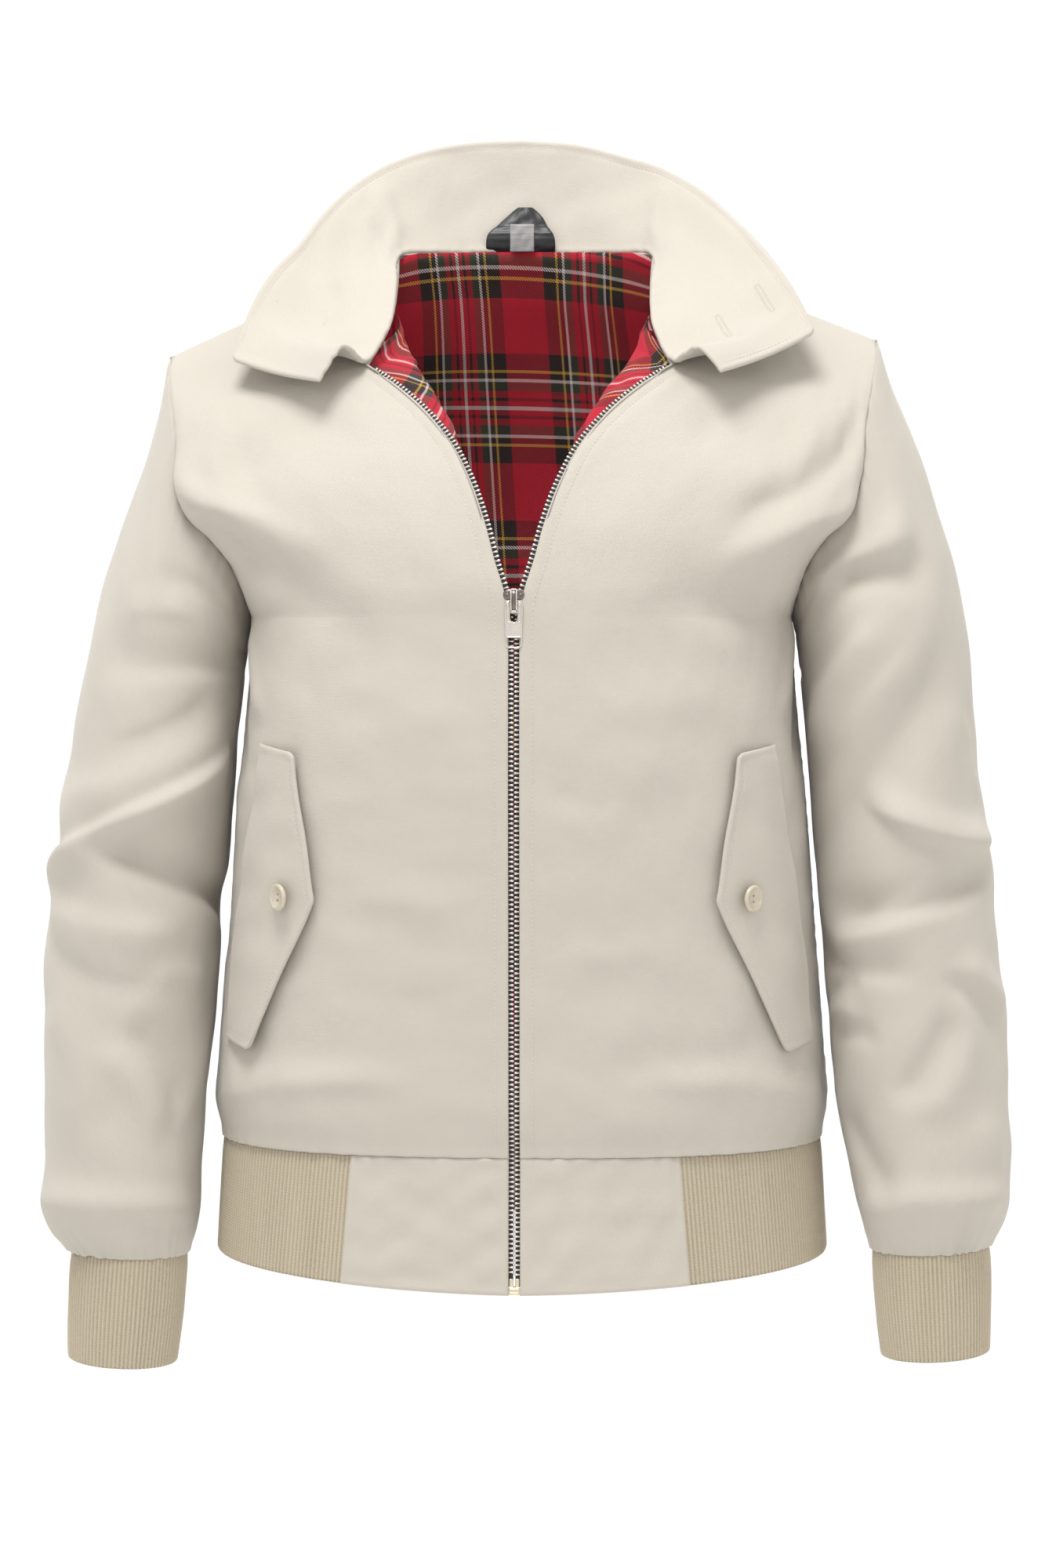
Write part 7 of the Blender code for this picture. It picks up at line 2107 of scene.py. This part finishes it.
# %% Pull, hung on its hinge
pivot = np.array([0.0, chain_y(SLIDER_Z) - AXIS_FORWARD, SLIDER_Z])
frame_path = [(-0.0021, 0.0, -0.0004), (-0.0044, 0.0, -0.0004), (-0.0047, 0.0, -0.0030),
              (-0.0044, 0.0, -0.0150), (-0.0042, 0.0, -0.0236), (-0.0038, 0.0, -0.0252),
              (-0.0026, 0.0, -0.0257), (0.0026, 0.0, -0.0257), (0.0038, 0.0, -0.0252),
              (0.0042, 0.0, -0.0236), (0.0044, 0.0, -0.0150), (0.0047, 0.0, -0.0030),
              (0.0044, 0.0, -0.0004), (0.0021, 0.0, -0.0004)]
field_right = [(0.0, -0.0199), (0.0041, -0.0199), (0.0043, -0.0112), (0.0018, -0.0112),
               (0.0, -0.0120)]
half_turn = np.radians(np.linspace(180.0, 360.0, 13))
loop_path = [(-0.0024, 0.0, -0.0010)] + [(0.0024 * math.cos(a), 0.0, -0.0094 + 0.0026
                                          * math.sin(a)) for a in half_turn]
loop_path += [(0.0024, 0.0, -0.0010)]
strip = [(x, 0.0, z) for x, z in ((0.0034, -0.0012), (0.0034, -0.0120))]
other = [(-x, y, z) for x, y, z in strip]
parts = [bent_bar(frame_path, 0.00052, 0.00062), plate(field_right, 0.00036, -0.00030, 0.0002),
         bent_bar(loop_path, 0.00042, 0.00052), bent_bar(strip, 0.0010, 0.00030),
         bent_bar(other, 0.0010, 0.00030),
         bent_bar([(-0.0040, 0.0, -0.0199), (0.0040, 0.0, -0.0199)], 0.00045, 0.0005)]
pull = one_mesh("zip_pull_frame", [part + pivot for part in parts], PULL_METAL, "pull",
                "zip_pull")
print("pull from z %.4f to %.4f" % (pull.bound_box[0][2], pull.bound_box[1][2]))

# %% [markdown]
# ## Foot of the zip
# At the hem the chain ends in two pressed pins that stand in the retainer box, all in a warmer
# plating than the teeth.

# %% Pins and box
box_y = FOOT_Y - ZIP_OUT
box_top = FOOT_Z + 0.0048
box_right = [(0.0, FOOT_Z + 0.0002), (0.0040, FOOT_Z + 0.0002), (0.0040, box_top), (0.0, box_top)]
box = one_mesh("zip_box_metal", [
    plate(box_right, box_y + 0.0016, box_y - 0.0016, 0.0004),
    bent_bar([(-0.0025, box_y - 0.0017, FOOT_Z + 0.0016), (0.0025, box_y - 0.0017,
                                                             FOOT_Z + 0.0016)], 0.0003, 0.0002),
    bent_bar([(-0.0029, box_y - 0.0016, FOOT_Z + 0.0036), (0.0029, box_y - 0.0016,
                                                             FOOT_Z + 0.0036)], 0.0004, 0.0002)],
    BOX_METAL, "jacket", "zip_box")
pins = []
for side in (1.0, -1.0):
    outline, _ = smooth_outline([(0.0, 0.0), (0.0013, 0.0), (0.0013, 0.0054), (0.0, 0.0054)], 12)
    rings = [np.stack([outline[:, 0] * s + side * 0.0018, np.full(24, box_y + y),
                       box_top - 0.0006 + outline[:, 1] * (0.5 + 0.5 * s) + (0.5 - 0.5 * s)
                       * 0.0027], axis=-1)
             for s, y in ((0.8, -0.0013), (1.0, -0.0010), (1.0, 0.0010), (0.8, 0.0013))]
    pins.append(np.array(rings)[None])
pins = one_mesh("zip_foot_pins", pins, BOX_METAL, "jacket", None)
print("foot:", len(box.data.polygons) + len(pins.data.polygons), "faces")

# %% [markdown]
# ## Buttons and buttonholes
# Each flap is fastened by a turned resin button, sewn through two holes. Two more sit under the
# right collar leaf, whose thread shows on top, and fasten through two worked buttonholes in the
# left leaf. A buttonhole is a long ring of close stitches with a second ring inside it.

# %% Turned buttons
BUTTON_RADIUS = 0.0078
BUTTON_THICK = 0.0030
BUTTON_SHANK = 0.0006
BUTTON_SECTION = (
    (0.04, 0.56), (0.16, 0.53), (0.30, 0.51), (0.40, 0.53), (0.47, 0.62), (0.53, 0.72),
    (0.60, 0.74), (0.66, 0.80), (0.73, 0.93), (0.81, 1.00), (0.89, 0.99), (0.96, 0.88),
    (1.00, 0.66), (0.99, 0.42), (0.94, 0.20), (0.84, 0.05), (0.60, 0.0), (0.30, 0.0),
    (0.04, 0.0),
)
HOLE_OUT, HOLE_RADIUS = 0.0014, 0.00075
# A pocket button hangs on its thread, turned 16 degrees outwards about the vertical.
TURN_OUT = math.radians(16.0)
POCKET_BUTTON_TURN = np.array([[math.cos(TURN_OUT), math.sin(TURN_OUT), 0.0],
                               [-math.sin(TURN_OUT), math.cos(TURN_OUT), 0.0],
                               [0.0, 0.0, 1.0]])


def turned_frame(facing):
    """Unit vectors of a plane square to `facing`: across and up the jacket."""
    facing = unit(np.asarray(facing, float))
    up = unit(np.array([0.0, 0.0, 1.0]) - facing * facing[2])
    return np.cross(up, facing), up, facing


def put_in(points, centre, axes):
    """Points given as across, up and off, placed in a frame."""
    across, up, off = axes
    return centre + points[..., :1] * across + points[..., 1:2] * up + points[..., 2:3] * off


def make_button(name, centre, facing, node):
    """A button turned from its section, with two sewn holes: sunk discs with a painted shade,
    dark for the shadow inside each hole, and a bar of thread from one to the other."""
    axes = turned_frame(facing)
    angle = np.radians(np.arange(48) * 7.5)
    section = np.array(BUTTON_SECTION) * (BUTTON_RADIUS, BUTTON_THICK)
    ring = np.stack([np.cos(angle), np.sin(angle)], axis=-1)
    rings = np.concatenate([section[:, None, :1] * ring, np.broadcast_to(
        section[:, None, 1:], (len(section), 48, 1))], axis=-1)
    rim = one_mesh(name, [put_in(rings, centre, axes)[None]], BUTTON_RESIN, "jacket", node)
    small = np.radians(np.arange(16) * 22.5)
    floor = 0.53 * BUTTON_THICK
    # painted shade: dark discs sunk in the holes stand for the shadow inside them
    holes = []
    for up in (-HOLE_OUT, HOLE_OUT):
        disc = np.stack([np.cos(small), np.sin(small), np.zeros(16)], axis=-1) * HOLE_RADIUS
        holes.append(put_in(np.array([disc * (s, s, 1.0) + (0.0, up, floor + h) for s, h in (
            (0.15, 0.00008), (0.85, 0.00010), (1.0, 0.00002), (1.0, -0.0003))]), centre,
            axes)[None])
    holes = one_mesh(name + "_hole_shade_discs", holes, PAINTED_HOLE_SHADE, "jacket", None)
    sewn = []
    for shift in (-0.00022, 0.00022):
        turn = np.linspace(0.0, 1.0, 9)
        path = np.stack([shift * (1 + 0.4 * np.sin(9 * turn)), (2 * turn - 1) * HOLE_OUT,
                         floor + 0.0004 * np.sin(math.pi * turn) - 0.0001], axis=-1)
        around = np.radians(np.arange(6) * 60.0)
        circle = np.stack([np.cos(around), np.zeros(6), np.sin(around)], axis=-1) * 0.00024
        sewn.append(put_in(path[:, None] + circle[None], centre, axes)[None])
    one_mesh(name + "_thread", sewn, THREAD, "jacket", None)
    return rim

# %% Pocket buttons
for word, side in SIDES:
    middle, normals = FLAP_GRIDS[word]
    u, v = front_uv(np.array([FLAP_BUTTON_XZ[0]]), np.array([FLAP_BUTTON_XZ[1]]))
    target = front_base(u, v)[0]
    away = np.linalg.norm((middle - target)[..., [0, 2]], axis=-1)
    row, column = np.unravel_index(away.argmin(), away.shape)
    off = normals[row, column]
    facing = off * (1.0, 1.0, 0.0) @ POCKET_BUTTON_TURN + off * (0.0, 0.0, 1.0)
    lean = BUTTON_RADIUS * math.sqrt(max(0.0, 1.0 - float(facing @ off) ** 2))
    centre = middle[row, column] + off * (FLAP_HALF + 0.0003 + lean)
    make_button(f"pocket_button_{word}_resin", side_of(centre[None], side)[0],
                side_of(facing[None], side)[0], f"pocket_button_{word}")

# %% Collar buttons
COLLAR_BUTTONS = ((0.79, 0.85), (0.77, 0.46))    # station and w of each


def on_collar(side, station, w):
    """Points on the collar's middle and normals off its upper face, read off its finished
    grid by station and w, each straight between the four grid points around it."""
    column = len(stations) - 1 + side * np.interp(station, stations, np.arange(len(stations)))
    row = np.interp(w, widths, np.arange(len(widths)))
    low, left_one = np.floor(row).astype(int), np.floor(column).astype(int)
    up, across = (row - low)[:, None], (column - left_one)[:, None]
    found = []
    for grid in (collar_middle, grid_normals(collar_middle)):
        lower = grid[low, left_one] * (1 - across) + grid[low, left_one + 1] * across
        upper = grid[low + 1, left_one] * (1 - across) + grid[low + 1, left_one + 1] * across
        found.append(lower * (1 - up) + upper * up)
    normal = unit(found[1])
    return found[0], normal * np.where(normal[:, 2:] < 0, -1.0, 1.0)


for number, (station, w) in enumerate(COLLAR_BUTTONS, start=1):
    centre, normal = on_collar(-1.0, np.array([station]), np.array([w]))
    centre = centre[0] - normal[0] * (COLLAR_HALF + BUTTON_SHANK)
    make_button(f"collar_button_{number}_resin", centre, -normal[0], f"collar_button_{number}")
print("buttons:", 4)

# %% Buttonholes and the buttons' thread marks
# First and last station of each buttonhole, and its w.
HOLES = ((0.712, 0.826, 0.80), (0.735, 0.822, 0.452))
MARK_HALF = 0.0014      # half the length of a thread of a mark
HOLE_HALF = 0.0015      # half a buttonhole's width, edge to edge of its thread


def collar_line(side, station, w):
    """A line for stitches on the collar's upper face."""
    middle, normal = on_collar(side, station, w)
    return np.concatenate([middle + normal * (COLLAR_HALF - 0.0001), normal], axis=-1)


loops = []
for first, last, w in HOLES:
    turn = np.linspace(0.0, 2 * math.pi, 90)
    shape = 1.0 / np.maximum(np.abs(np.cos(turn)), np.abs(np.sin(turn))) ** 0.8
    station = first + (last - first) * (0.5 + 0.5 * np.sin(turn) * shape)
    for half in (HOLE_HALF, 0.5 * HOLE_HALF):
        aside = w + half / COLLAR_WIDTH * np.cos(turn) * shape
        loops.append(collar_line(1.0, station, aside))
sew("collar_buttonholes", loops, 0.0001, THREAD, 0.0006)
marks = []
for station, w in COLLAR_BUTTONS:
    step = np.linspace(-1.0, 1.0, 12)
    for across, along in ((1.0, 0.3), (0.3, 1.0), (0.8, -0.7)):
        step_across, step_along = across * step * MARK_HALF, along * step * MARK_HALF
        marks.append(collar_line(-1.0, station + step_across / COLLAR_LENGTH,
                                 w + step_along / COLLAR_WIDTH))
sew("collar_thread_marks", marks, 0.0001, THREAD, 0.0013)
print("buttonholes:", len(HOLES), "and thread marks:", len(COLLAR_BUTTONS))

# %% [markdown]
# ## The cut of each piece
# Every piece of cloth is listed with the size of its flat cut. The panels and sleeves are cut
# with a little more than they show, eased into their seams. The ribs are knitted strips,
# stretched on to the wider cloth, and only the face of each doubled strip is counted. The
# collar and flaps count one of their two layers.

SHEETS = [
    # Piece, width, length, area, how it is held, what it rests on, what goes with it.
    ("back_twill", 0.480, 0.560, 0.235, "hung", ["collar_twill"], []),
    ("front_left_twill", 0.245, 0.560, 0.112, "hung", ["back_twill"], ["front_topstitching"]),
    ("front_right_twill", 0.245, 0.560, 0.112, "hung", ["back_twill"], []),
    ("sleeve_left_twill", 0.345, 0.560, 0.148, "hung", ["front_left_twill", "back_twill"], []),
    ("sleeve_right_twill", 0.345, 0.560, 0.148, "hung", ["front_right_twill", "back_twill"], []),
    ("collar_twill", 0.510, 0.075, 0.037, "folded", ["back_twill"],
     ["collar_topstitching", "collar_buttonholes", "collar_thread_marks"]),
    ("hem_rib_knit", 0.930, 0.085, None, "stretched", ["back_twill"], []),
    ("cuff_left_knit", 0.226, 0.085, None, "stretched", ["sleeve_left_twill"], []),
    ("cuff_right_knit", 0.226, 0.085, None, "stretched", ["sleeve_right_twill"], []),
    ("lining_back_tartan", 0.460, 0.550, 0.205, "hung", ["collar_twill"], []),
    ("hanger_loop_satin", 0.042, 0.030, 0.0009, "folded", ["collar_twill"], []),
    ("size_tab_satin", 0.0145, 0.0165, None, "hung", ["collar_twill"], []),
]
for word in ("left", "right"):
    front = f"front_{word}_twill"
    SHEETS += [
        (f"hem_band_{word}_twill", 0.096, 0.079, None, "hung", [front], []),
        (f"pocket_flap_{word}_twill", 0.062, 0.178, 0.0095, "hung", [front],
         ["flap_topstitching"] if word == "left" else []),
        (f"lining_front_{word}_tartan", 0.075, 0.090, 0.0042, "hung", ["collar_twill"], []),
        (f"zip_tape_{word}_weave", 0.013, 0.600, None, "hung", [front], []),
    ]
print("sheets:", len(SHEETS))
